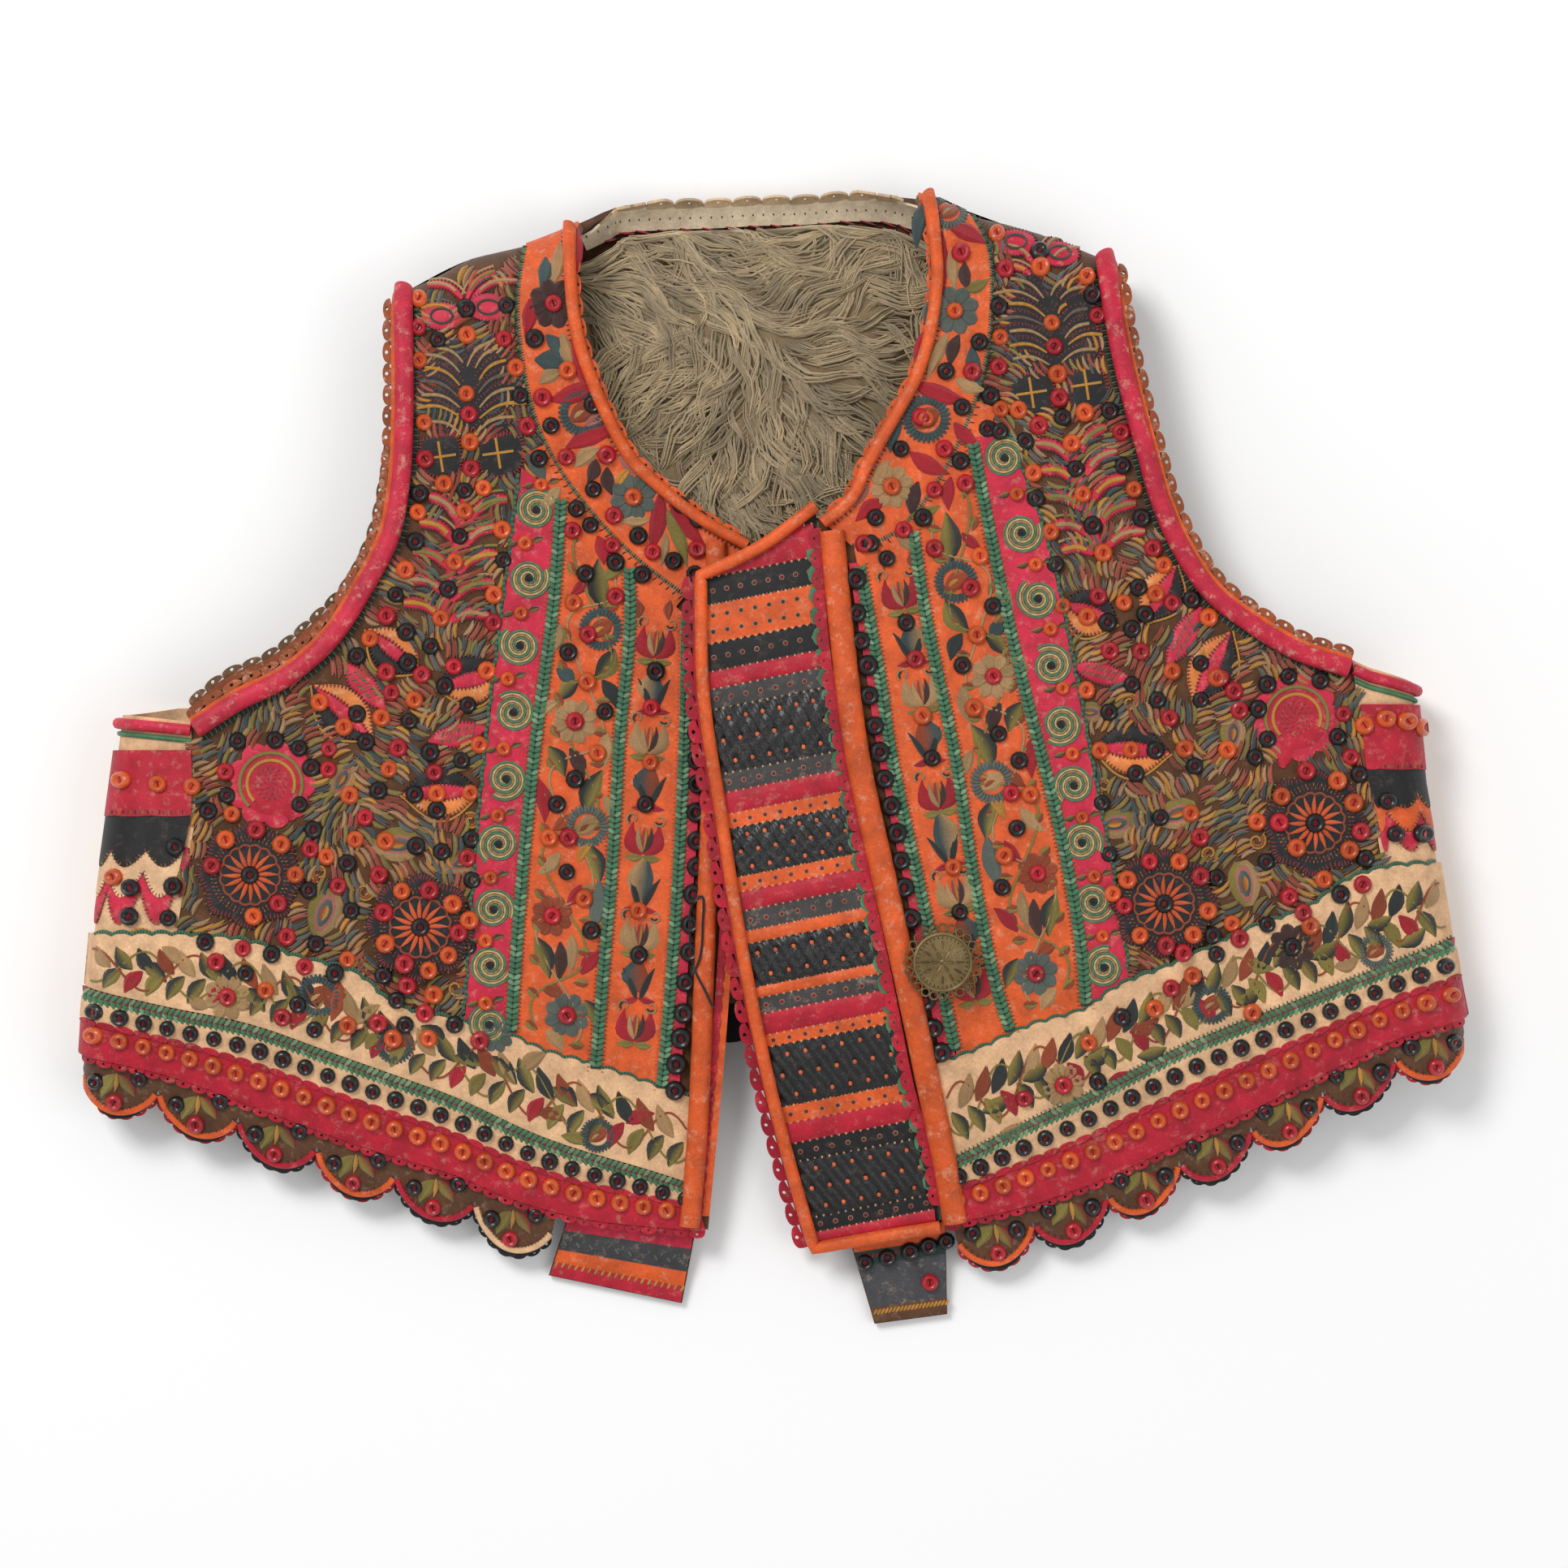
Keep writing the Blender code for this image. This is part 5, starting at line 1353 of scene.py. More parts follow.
def sew_armhole(side):
    """Scalloped trims outside the armhole roll and the corded line inside it."""
    front = over_front(side)
    turn = OUTWARDS[side]
    armhole = Path(ARMHOLE[side])
    batch = gather("arm_trim_leather_" + side, LEATHER_LOOK, ["armhole_trim_" + side])
    slab(batch, on_front(Ribbon(armhole, 3.0 * turn, -1.6 * turn), side), even(2),
         rolled(110, armhole.length, end_gap=1.0),
         LOW + 0.5, HIGH + 0.2, ORANGE)
    teeth(batch, front, armhole, 8.6, -1.5 * turn, -3.6 * turn, LOW + 0.3, HIGH, BURNT, 0.75, 0.0, 0.985)
    cord = gather("arm_cord_" + side, WOOL_LOOK)
    ticks(cord, front, armhole, 1.15, 7.4 * turn, 9.6 * turn, 0.5, 0.9, 0.2,
          [colour(24, 28, 28, 0.0), colour(70, 130, 96, 0.1)], 0.0, 0.985)
    edge = gather("back_arm_scallops_" + side, LEATHER_LOOK, ["back_armhole_edge_" + side])
    back = Path(BACK_ARMHOLE[side])
    slab(edge, on_back(Ribbon(back, -1.5 * -turn, 1.5 * -turn)), even(2),
         rolled(80, back.length, end_gap=4.0),
         BEHIND + 0.2, BEHIND + LEATHER, BURNT)
    brown = colour(112, 78, 46, 0.5)
    teeth(edge, over_back, back, 8.6, 1.4 * -turn, 3.2 * -turn, BEHIND + 0.2, BEHIND + LEATHER, brown,
          0.75, 0.0, 0.975)


def sew_neck(side):
    """Green line along the yoke, scallops inside the neck roll, stitches on it."""
    front = over_front(side)
    out = OUTWARDS[side]
    neck, yoke = Path(NECK_EDGE[side]), Path(YOKE_EDGE[side])
    cord = gather("yoke_cord_" + side, WOOL_LOOK)
    ticks(cord, front, yoke, 1.1, -0.9, 0.9, 0.5, 0.7, HIGH - 0.1, BRAID_TINTS + [GREEN], 0.0, 0.99)
    ticks(cord, front, yoke, 3.2, 1.0 * -out, 2.9 * -out, 0.3, 0.35, HIGH, [colour(60, 26, 22, 0.0)], 0.0,
          0.98, 0.5)
    ticks(cord, front, neck, 1.9, 4.7 * -out, 6.4 * -out, 0.35, 0.4, HIGH,
          [colour(40, 24, 22), DARK_BROWN, BLUE], 0.02, 0.97)
    trim = gather("neck_scallops_" + side, LEATHER_LOOK)
    teeth(trim, front, neck, 8.7, 1.2 * -out, 2.9 * out, HIGH - 0.6, HIGH + 0.1, ORANGE, 0.7, 0.03, 0.97)


BUTTON_COLUMN = {
    RIGHT: [(859, 903), (859, 936), (860, 966), (858, 1001), (859, 1036), (859, 1068), (855, 1102),
            (851, 1139), (850, 1173), (845, 1210), (842, 1248), (839, 1279), (833, 1311), (831, 1344)],
    LEFT: [(1054, 715), (1055, 757), (1060, 791), (1068, 821), (1070, 858), (1077, 895), (1083, 927),
           (1089, 960), (1097, 993), (1104, 1026), (1109, 1060), (1113, 1093), (1121, 1131), (1139, 1230),
           (1149, 1264), (1159, 1294)],
}


# Buttons of the yokes and of the right front's strips by colour
YOKE_KNOTS = {
    RIGHT: {
        "k": [(661, 421), (731, 500), (680, 526), (731, 603), (710, 627), (727, 647), (786, 660), (830, 691),
              (839, 621), (861, 639), (758, 693), (721, 707), (791, 708)],
        "o": [(701, 459), (780, 612)],
        "r": [(684, 378), (670, 492), (698, 564), (748, 561), (756, 635), (705, 654), (754, 672), (804, 680),
              (859, 677)],
    },
    LEFT: {
        "k": [(1205, 425), (1164, 461), (1184, 505), (1109, 556), (1182, 571), (1136, 640), (1078, 640),
              (1092, 690)],
        "o": [(1159, 260), (1175, 387), (1140, 519), (1098, 602)],
        "r": [(1182, 316), (1196, 461), (1133, 517), (1162, 556), (1188, 598), (1150, 606), (1112, 655),
              (1064, 672)],
    },
}
STRIP_KNOTS = {
    "k": [(665, 566), (856, 707), (808, 827), (795, 991), (787, 1176), (700, 804), (745, 877), (708, 960),
          (686, 991), (698, 1074), (728, 1146)],
    "o": [(706, 743), (723, 840), (736, 928), (676, 1032), (719, 1107), (801, 939), (786, 1122)],
    "r": [(802, 872), (758, 735), (724, 782), (708, 889), (700, 1032), (680, 1128), (698, 1250)],
}


def hem_knots(side):
    """The row of black buttons on the cream edge and the row of orange ones on the red band."""
    band, rows = band_plan(side), []
    shares = np.linspace(BAND_START, BAND_END, 60)
    for path_station, station in ((1.45, 1.5), (2.42, 2.42)):
        found = along_path(Path(band(np.full(60, path_station), shares)), BAND_KNOT_PITCH)
        rows.append(band(np.full(len(found), station), BAND_START + (BAND_END - BAND_START) * found))
    return rows


def sew_hem(side):
    """Cream edge over the red band, stitches on it, and the punched scallops under it."""
    front = over_front(side)
    band = band_plan(side)
    shares = np.linspace(BAND_START, 0.995, 80)
    batch = gather("band_edge_" + side, CREAM_LOOK)
    slab(batch, lambda u, v, lift: front_point(band(0.9 + 1.2 * u, v), lift, side), even(3),
         BAND_START + (1.0 - BAND_START) * rolled(120, 260.0, end_gap=0.6, radius=19.0), 2.45, 2.85, CREAM)
    low_edge = Path(band(np.full(80, 3.1), shares))
    trim = gather("hem_scallops_" + side, LEATHER_LOOK)
    side_turn = -OUTWARDS[side]
    teeth(trim, front, low_edge, 6.6, 0.0, 3.6 * side_turn, 0.3, 1.2, CRIMSON, 0.6)
    stitch = gather("hem_stitches_" + side, WOOL_LOOK)
    edge = Path(band(np.full(80, 2.12), shares))
    ticks(stitch, front, edge, 2.2, -1.1, 1.1, 0.4, 0.5, 2.5, [GREEN, CRIMSON, DARK_BROWN])
    teeth(trim, front, edge, 7.0, 0.8 * side_turn, -2.4 * side_turn, 2.8, 3.4, CRIMSON, 0.3)
    ticks(stitch, front, low_edge, 2.4, -1.6 * side_turn, 0.2, 0.35, 0.5, 1.9, [colour(120, 20, 30), GREEN])


def tongue_frame(side):
    """The middles of the hem's tongues as shares of its length, and the share that each takes."""
    start, count = TONGUE_START[side], TONGUE_COUNT[side]
    edges = start + (1.0 - start) * even(count)
    return (edges[1:] + edges[:-1]) / 2.0, (1.0 - start) / count


TONGUE_TONES = {RIGHT: [CREAM, CRIMSON, ORANGE, CRIMSON, ORANGE, ORANGE],
                LEFT: [ORANGE, CRIMSON, ORANGE, CRIMSON, ORANGE, CRIMSON, ORANGE]}


def sew_tongues(side):
    """Bindings, stitches and leaves of the hem's tongues, the places of their buttons, and the punched
    scallops under them.
    """
    hem = Path(HEM[side])
    out = OUTWARDS[side]
    slant = unit(np.array([TONGUE_LEAN * out, -1.0]))
    front = over_front(side)
    binding = gather("tongue_bindings_" + side, LEATHER_LOOK)
    leaves = gather("tongue_leaves_" + side, WOOL_LOOK)
    under = gather("pinked_scallops_" + side, LEATHER_LOOK)
    spots = {"k": [], "r": []}
    middles, wide = tongue_frame(side)
    for tone, middle in zip(TONGUE_TONES[side], middles):
        share = np.linspace(-0.5, 0.5, 41)[1:-1]
        lobe = np.abs(np.cos(np.pi * share))
        depth = TONGUE_SEAT + TONGUE_DEPTH * (0.3 + 0.7 * lobe ** 0.55)
        rim = hem.at(middle + wide * share) + slant * depth[:, None]
        inward = rim - slant * 1.6
        ridge(binding, front, rim - slant * 0.9, 1.35, 1.0, -0.75, tone)
        edge = Path(inward - slant * 0.4)
        ticks(leaves, front, edge, 1.5, -0.9, 1.5, 0.3, 0.4, -0.4, [DARK_BROWN, RUST])
        outline = Path(rim + slant * 1.2)
        tone_under = CRIMSON if np.allclose(tone, ORANGE) else BLACK
        teeth(under, front, outline, 5.4, out, -3.0 * out, -3.9, -2.9, tone_under, 0.6)
        root = hem.at(np.array(middle)) + slant * 8.0
        for turn, tint in ((-1.0, OLIVE), (1.0, MAROON)):
            side_way = np.array([turn * 0.55, -0.85])
            scatter(leaves, LEAF, front, [root + (turn * 1.0, 2.0)], side_way, 11.0, 3.2 * turn, 1.0, -0.55,
                    [[OLIVE, tint]])
        scatter(leaves, BLADE, front, [root + (0.0, 2.5)], slant, 8.0, 1.1, 1.3, -0.5, MUSTARD)
        spots["k"] += [root + (-9.0, -1.0), root + (9.0, 0.5)]
        spots["r"].append(root + slant * 9.5)
    return spots


ARC = Form([0.35, 0.9, 1.0, 0.95, 0.7, 0.2], bend=0.9,
           section=((-1.0, 0.0), (-0.4, 1.0), (0.4, 1.0), (1.0, 0.0)))

SPIRALS = {
    RIGHT: [(661, 629), (652, 713), (641, 796), (633, 878), (624, 960), (615, 1040), (609, 1120), (605, 1188),
            (603, 1261)],
    LEFT: [(1236, 567), (1257, 658), (1277, 739), (1293, 821), (1305, 893), (1321, 968), (1331, 1038),
           (1345, 1110), (1358, 1190)],
}
SMALL_KNOTS = {
    RIGHT: [(667, 598), (647, 670), (642, 756), (626, 837), (621, 923), (614, 1005), (605, 1081), (599, 1158),
            (599, 1234)],
    LEFT: [(1251, 611), (1274, 697), (1292, 776), (1307, 849), (1319, 929), (1331, 1007), (1346, 1079),
           (1356, 1152)],
}
# Buttons on the brown fields by colour: k black, o orange, r red
FIELD_KNOTS = {
    RIGHT: {
        "k": [(577, 384), (626, 380), (542, 422), (643, 490), (574, 606), (519, 610), (568, 662), (514, 669),
              (621, 691), (554, 727), (490, 734), (503, 780), (533, 797), (443, 809), (505, 817), (550, 846),
              (578, 869), (443, 880), (507, 889), (454, 914), (532, 927), (570, 937), (469, 974), (513, 979),
              (540, 998), (582, 1033), (515, 1042), (546, 1049), (431, 1063), (384, 1096), (436, 1121),
              (393, 1162), (297, 913), (343, 912), (372, 922), (387, 946), (373, 991), (284, 980), (261, 999),
              (390, 1022), (583, 1084), (578, 1165), (475, 1200)],
        "o": [(519, 372), (578, 416), (519, 447), (638, 456), (577, 488), (525, 523), (581, 547), (549, 598),
              (597, 603), (517, 633), (574, 631), (620, 654), (562, 694), (502, 704), (610, 734), (545, 763),
              (459, 788), (601, 827), (513, 863), (397, 866), (473, 885), (427, 896), (592, 918), (482, 948),
              (434, 980), (581, 977), (540, 978), (441, 1034), (478, 1036), (406, 1055), (290, 1003),
              (431, 1181), (536, 1224)],
        "r": [(518, 407), (623, 421), (580, 513), (651, 527), (526, 568), (582, 579), (479, 760), (609, 768),
              (479, 829), (522, 832), (485, 854), (561, 822), (409, 923), (493, 922), (408, 948), (537, 952),
              (453, 1007), (282, 951), (386, 1046), (420, 1091), (470, 1077), (577, 1057), (357, 1153),
              (504, 1212)],
    },
    LEFT: {
        "k": [(1212, 270), (1254, 275), (1279, 314), (1344, 367), (1229, 381), (1219, 491), (1365, 509),
              (1307, 517), (1215, 531), (1261, 546), (1323, 580), (1381, 576), (1274, 616), (1344, 649),
              (1404, 640), (1298, 697), (1400, 725), (1408, 758), (1362, 768), (1392, 776), (1465, 740),
              (1476, 818), (1476, 863), (1392, 844), (1423, 863), (1364, 878), (1421, 925), (1397, 953),
              (1469, 944), (1543, 933), (1558, 844), (1584, 834), (1623, 839), (1547, 874), (1558, 911),
              (1644, 908), (1670, 954), (1355, 989), (1427, 1007), (1364, 1052), (1556, 1061), (1678, 1057),
              (1495, 1081)],
        "o": [(1227, 292), (1269, 287), (1280, 333), (1337, 345), (1294, 401), (1231, 419), (1301, 464),
              (1231, 507), (1253, 508), (1334, 511), (1318, 549), (1271, 585), (1332, 611), (1395, 605),
              (1292, 657), (1357, 683), (1431, 698), (1382, 744), (1307, 748), (1337, 761), (1421, 733),
              (1486, 762), (1441, 828), (1336, 851), (1496, 836), (1353, 925), (1391, 924), (1457, 923),
              (1509, 924), (1464, 1002), (1545, 1012), (1627, 1083), (1514, 1137)],
        "r": [(1237, 335), (1335, 318), (1350, 392), (1297, 430), (1229, 455), (1303, 493), (1278, 527),
              (1379, 535), (1418, 677), (1351, 736), (1441, 744), (1365, 803), (1403, 804), (1438, 885),
              (1517, 852), (1524, 876), (1475, 1031), (1660, 933), (1651, 880), (1584, 1104), (1501, 836)],
    },
}
ROSETTE_KNOTS = {
    RIGHT: [("o", [(283, 1034), (351, 1040), (368, 1077), (317, 1128)]),
            ("r", [(320, 1022), (347, 1112), (266, 1066)]),
            ("o", [(498, 1097), (559, 1113), (579, 1133), (554, 1175), (530, 1193), (478, 1161)]),
            ("r", [(531, 1096), (566, 1148), (501, 1185), (476, 1123)])],
    LEFT: [("o", [(1643, 962), (1575, 981), (1663, 989), (1593, 1044), (1658, 1047)]),
           ("r", [(1605, 950), (1572, 1013), (1672, 1024)]),
           ("o", [(1449, 1061), (1386, 1083), (1484, 1121), (1401, 1151), (1466, 1150), (1368, 1100)]),
           ("r", [(1413, 1061), (1475, 1079), (1382, 1115), (1433, 1163), (1454, 1172)])],
}
# Three-coloured almonds: middle, length and width in pixels, angle in degrees, order of the bands
ALMONDS = {
    RIGHT: [((487, 803), 80, 50, -40, "opk"), ((582, 838), 82, 56, 14, "kpo"),
            ((426, 878), 96, 56, -42, "opk"), ((545, 976), 92, 58, 2, "kpo")],
    LEFT: [((1340, 756), 72, 54, -20, "kpo"), ((1428, 733), 76, 50, 62, "opk"),
           ((1490, 823), 96, 54, 62, "opk"), ((1392, 924), 92, 58, -4, "kpo")],
}
# Pink leaves with crossed stitches inside: middle, length, width, angle
CROSSED_LEAVES = {
    RIGHT: [((452, 846), 78, 30, -48), ((566, 905), 74, 30, 14), ((232, 1058), 30, 14, 80)],
    LEFT: [((1355, 830), 76, 28, -14), ((1456, 785), 82, 30, 60)],
}
TEARDROPS = {RIGHT: ((338, 966), (365, 1010)), LEFT: ((1594, 885), (1576, 946))}
# Fingers of the pink ferns, from the spine outwards
FERN_SPINE = {RIGHT: [(575, 612), (566, 660), (556, 712), (546, 768)],
              LEFT: [(1317, 545), (1328, 595), (1341, 645), (1356, 686)]}
FERNS = {
    RIGHT: [((566, 646), (531, 613)), ((560, 668), (519, 645)), ((555, 702), (511, 681)),
            ((550, 734), (504, 716)), ((546, 764), (500, 744)), ((579, 644), (626, 616)),
            ((573, 676), (619, 650)), ((566, 708), (614, 684)), ((558, 742), (610, 720)),
            ((554, 768), (604, 760))],
    LEFT: [((1317, 570), (1273, 549)), ((1324, 597), (1281, 582)), ((1331, 630), (1287, 614)),
           ((1338, 660), (1296, 650)), ((1345, 684), (1306, 680)), ((1330, 560), (1361, 528)),
           ((1336, 588), (1374, 558)), ((1343, 620), (1384, 591)), ((1350, 652), (1397, 622)),
           ((1359, 680), (1408, 656))],
}
SMALL_FERNS = {
    RIGHT: [((572, 372), (528, 352)), ((566, 390), (522, 384)), ((578, 372), (612, 338)),
            ((584, 372), (640, 350))],
    LEFT: [((1272, 330), (1236, 306)), ((1268, 342), (1232, 334)), ((1284, 322), (1310, 290)),
           ((1290, 330), (1330, 306))],
}
# Cords over the black feather, from the spine outwards, with their tint
FEATHER_CORDS = {
    RIGHT: [((573, 450), (541, 432), "t"), ((569, 462), (526, 440), "t"), ((569, 478), (526, 456), "m"),
            ((567, 492), (520, 473), "g"), ((569, 505), (522, 490), "t"), ((567, 515), (516, 506), "m"),
            ((570, 538), (534, 522), "t"), ((578, 455), (608, 424), "t"), ((588, 457), (616, 432), "t"),
            ((593, 471), (626, 447), "m"), ((592, 487), (630, 464), "g"), ((593, 505), (636, 481), "t"),
            ((593, 518), (650, 500), "m"), ((589, 536), (636, 516), "t")],
    LEFT: [((1284, 371), (1243, 347), "t"), ((1278, 375), (1222, 366), "t"), ((1286, 394), (1241, 378), "m"),
           ((1284, 404), (1220, 402), "g"), ((1290, 424), (1242, 412), "t"), ((1288, 438), (1242, 430), "m"),
           ((1291, 453), (1246, 446), "t"), ((1293, 368), (1312, 348), "t"), ((1304, 372), (1334, 358), "t"),
           ((1302, 390), (1312, 378), "m"), ((1308, 400), (1338, 384), "g"), ((1310, 420), (1340, 402), "t"),
           ((1314, 428), (1356, 416), "m"), ((1306, 450), (1348, 434), "t")],
}
FEATHER_PLATES = {
    RIGHT: [[(534, 420), (560, 418), (579, 432), (600, 416), (622, 424), (642, 470), (640, 522), (600, 540),
             (579, 530), (556, 540), (522, 524), (518, 470)],
            [(522, 543), (566, 541), (570, 560), (568, 584), (524, 582), (519, 562)],
            [(594, 543), (642, 540), (646, 560), (640, 580), (596, 584), (590, 562)]],
    LEFT: [[(1250, 346), (1272, 338), (1290, 352), (1312, 346), (1336, 360), (1348, 400), (1354, 440),
            (1318, 462), (1300, 456), (1286, 462), (1246, 456), (1236, 400)],
           [(1246, 468), (1290, 462), (1298, 486), (1292, 508), (1250, 508), (1242, 486)],
           [(1314, 462), (1352, 456), (1362, 478), (1360, 500), (1320, 506), (1312, 484)]],
}
FEATHER_CROSSES = {RIGHT: [(545, 565), (615, 560)], LEFT: [(1269, 487), (1336, 477)]}
RING_PLATES = {RIGHT: [(547, 393), (604, 382)], LEFT: [(1250, 302), (1304, 315)]}
# Satin buds: middle, radius in pixels, angle
BUDS = {
    RIGHT: [((403, 1124), 30, 70), ((491, 1040), 30, 0), ((424, 961), 22, 60), ((572, 1062), 22, 20)],
    LEFT: [((1371, 1015), 26, 10), ((1447, 1003), 26, 20), ((1516, 905), 22, 85), ((1530, 1088), 28, 100),
           ((1340, 878), 18, 0)],
}
CURLS = {RIGHT: [(397, 1075), (452, 1098), (563, 1216), (582, 1012)],
         LEFT: [(1358, 968), (1487, 1051), (1545, 1036), (1390, 866)]}
CORD_TINTS = {"t": TAN, "m": MUSTARD, "g": colour(110, 92, 78, 0.1)}
WAYS = {"o": colour(222, 128, 62, 0.5), "p": PINK, "k": BLACK}
FIELD_TINTS = [OLIVE, TAN, RUST, GREY, colour(176, 84, 60, 0.1), OLIVE, TAN, SLATE, MUSTARD]


def plate(batch, surface_of, outline, lower, upper, tint, steps=44):
    """A closed leather plate inside a smooth outline of plan points."""
    outline = np.asarray(outline, float)
    rim = closed(outline).at(np.arange(steps) / steps)
    middle = rim.mean(axis=0)
    rings = [middle + (rim - middle) * scale for scale in (1.0, 0.8, 0.55, 0.28)]
    plan = np.vstack(rings + [middle[None]])
    lift = np.full(len(plan), float(upper))
    lift[:steps] -= 0.25 * (upper - lower)
    points = np.vstack([surface_of(plan, lift), surface_of(plan, np.full(len(plan), float(lower)))])
    number = np.arange(steps)
    after = (number + 1) % steps
    size = len(plan)
    quads = []
    for ring in range(3):
        inner, outer = (ring + 1) * steps, ring * steps
        face = np.stack([number + outer, after + outer, after + inner, number + inner], axis=-1)
        quads += [face, face[:, ::-1] + size]
    quads.append(np.stack([number + size, after + size, after, number], axis=-1))
    cap = np.stack([number + 3 * steps, after + 3 * steps, np.full(steps, size - 1)], axis=-1)
    tris = [cap, cap[:, ::-1] + size]
    batch.add(points, np.vstack(quads), np.vstack(tris), tint)


def lens_line(middle, length, width, angle, offset, steps=15):
    """A bowed line through a lens, with its half-width profile, in plan millimetres."""
    share = np.linspace(0.0, 1.0, steps)
    ahead = heading(angle)
    beside = np.array([-ahead[1], ahead[0]])
    bulge = np.sin(np.pi * np.clip(share, 0.02, 0.98))
    line = middle + ahead * ((share - 0.5) * length)[:, None] + beside * (offset * width * bulge)[:, None]
    return line, bulge


def almond(leather, wool, surface_of, middle, length, width, angle, order, base):
    """Three leather bands between two tips, edged with stitches and a mustard cord."""
    for offset, letter in zip((0.34, 0.0, -0.34), order):
        line, bulge = lens_line(middle, length, width, angle, offset)
        ridge(leather, surface_of, line, 0.19 * width * bulge ** 0.8, 1.0, base, WAYS[letter])
    for offset in (0.52, 0.17, -0.17, -0.52):
        line = Path(lens_line(middle, length, width, angle, offset)[0])
        ticks(wool, surface_of, line, 1.5, -0.8, 0.8, 0.3, 0.45, base + 0.75, [BLACK, WINE], 0.03, 0.97)
    line, _ = lens_line(middle, length * 1.08, width, angle, -0.62)
    ridge(wool, surface_of, line, 0.5, 0.8, base, MUSTARD)


def finger(leather, wool, surface_of, root, tip, core, base, wide):
    """A pink leather finger with a satin core and stitched edges."""
    run = tip - root
    beside = np.array([-run[1], run[0]])
    share = np.linspace(0.0, 1.0, 10)
    way = 1.0 if run[0] > 0 else -1.0
    sag = 0.16 * way
    line = root + run * share[:, None] + beside * (sag * np.sin(np.pi * share))[:, None]
    half = wide * np.interp(share, [0.0, 0.2, 0.85, 1.0], [0.45, 0.85, 1.0, 0.55])
    ridge(leather, surface_of, line, half, 0.95, base, PINK)
    path = Path(line)
    ridge(wool, surface_of, line[2:], half[2:] * 0.4, 0.7, base + 0.75, core)
    for turn in (-1.0, 1.0):
        ticks(wool, surface_of, path, 1.4, turn * wide * 0.72, turn * wide * 1.12, 0.27, 0.4, base + 0.6,
              [BLACK], 0.12, 0.98)
    off = path.beside(np.linspace(0.05, 1.0, 10), np.full(10, wide * 1.35 * way))
    ridge(wool, surface_of, off, 0.62, 0.8, base - 0.1, [TAN, OLIVE, GREY][int(dice.integers(3))])


def bud(wool, surface_of, middle, radius, angle, base):
    """Nested satin petals round a bright core."""
    ahead = heading(angle)
    for scale, lift, tints in ((1.0, 0.0, (TAN, OLIVE)), (0.78, 0.25, (DUSTY_PINK, DUSTY_PINK)),
                               (0.56, 0.5, (SLATE, GREY)),
                               (0.32, 0.75, (MUSTARD, RUST))):
        scatter(wool, PETAL, surface_of, [middle - ahead * radius * scale], ahead, 2.0 * radius * scale,
                radius * 0.72 * scale,
                0.9, base + lift, [list(tints)])


def inside(points, outline):
    """Which plan points lie inside a closed outline."""
    outline = np.asarray(outline, float)
    after = np.roll(outline, -1, axis=0)
    x, y = points[:, :1], points[:, 1:]
    crosses = (outline[:, 1] > y) != (after[:, 1] > y)
    rise = np.where(after[:, 1] == outline[:, 1], TINY, after[:, 1] - outline[:, 1])
    at = (after[:, 0] - outline[:, 0]) * (y - outline[:, 1]) / rise + outline[:, 0]
    return (crosses & (x < at)).sum(axis=1) % 2 == 1


def spread(outline, gap, taken, tries):
    """Places inside an outline, no closer than a gap to each other and clear of discs that are taken."""
    outline = np.asarray(outline, float)
    low, high = outline.min(axis=0), outline.max(axis=0)
    found = dice.uniform(low, high, (tries, 2))
    found = found[inside(found, outline)]
    if len(taken):
        taken = np.array(taken, float)
        near = np.hypot(found[:, None, 0] - taken[:, 0], found[:, None, 1] - taken[:, 1]) < taken[:, 2]
        found = found[~near.any(axis=1)]
    kept = []
    for place in found:
        if all((place[0] - other[0]) ** 2 + (place[1] - other[1]) ** 2 > gap * gap for other in kept):
            kept.append(place)
    return np.array(kept).reshape(-1, 2)


def field_outline(side):
    """The brown field's plan outline, inside the spirals, the armhole roll and the hem border."""
    turn = OUTWARDS[side]
    arm = Path(ARMHOLE[side]).beside(np.linspace(0.02, 0.97, 30), np.full(30, 10.5 * turn))
    yoke = np.array(YOKE_EDGE[side][3:], float) + (2.5 * turn, 0.0)
    spirals = np.array(SPIRAL_EDGE[side], float)
    border = np.array(BORDER_TOP[side], float)
    border = border[np.abs(border[:, 0]) > 124] + (0.0, 2.0)
    seam = Path(SIDE_SEAM[side]).at(np.linspace(0.55, 0.95, 6))
    return np.vstack([yoke[::-1], spirals, border[np.abs(border[:, 0]) < 247], seam, arm])


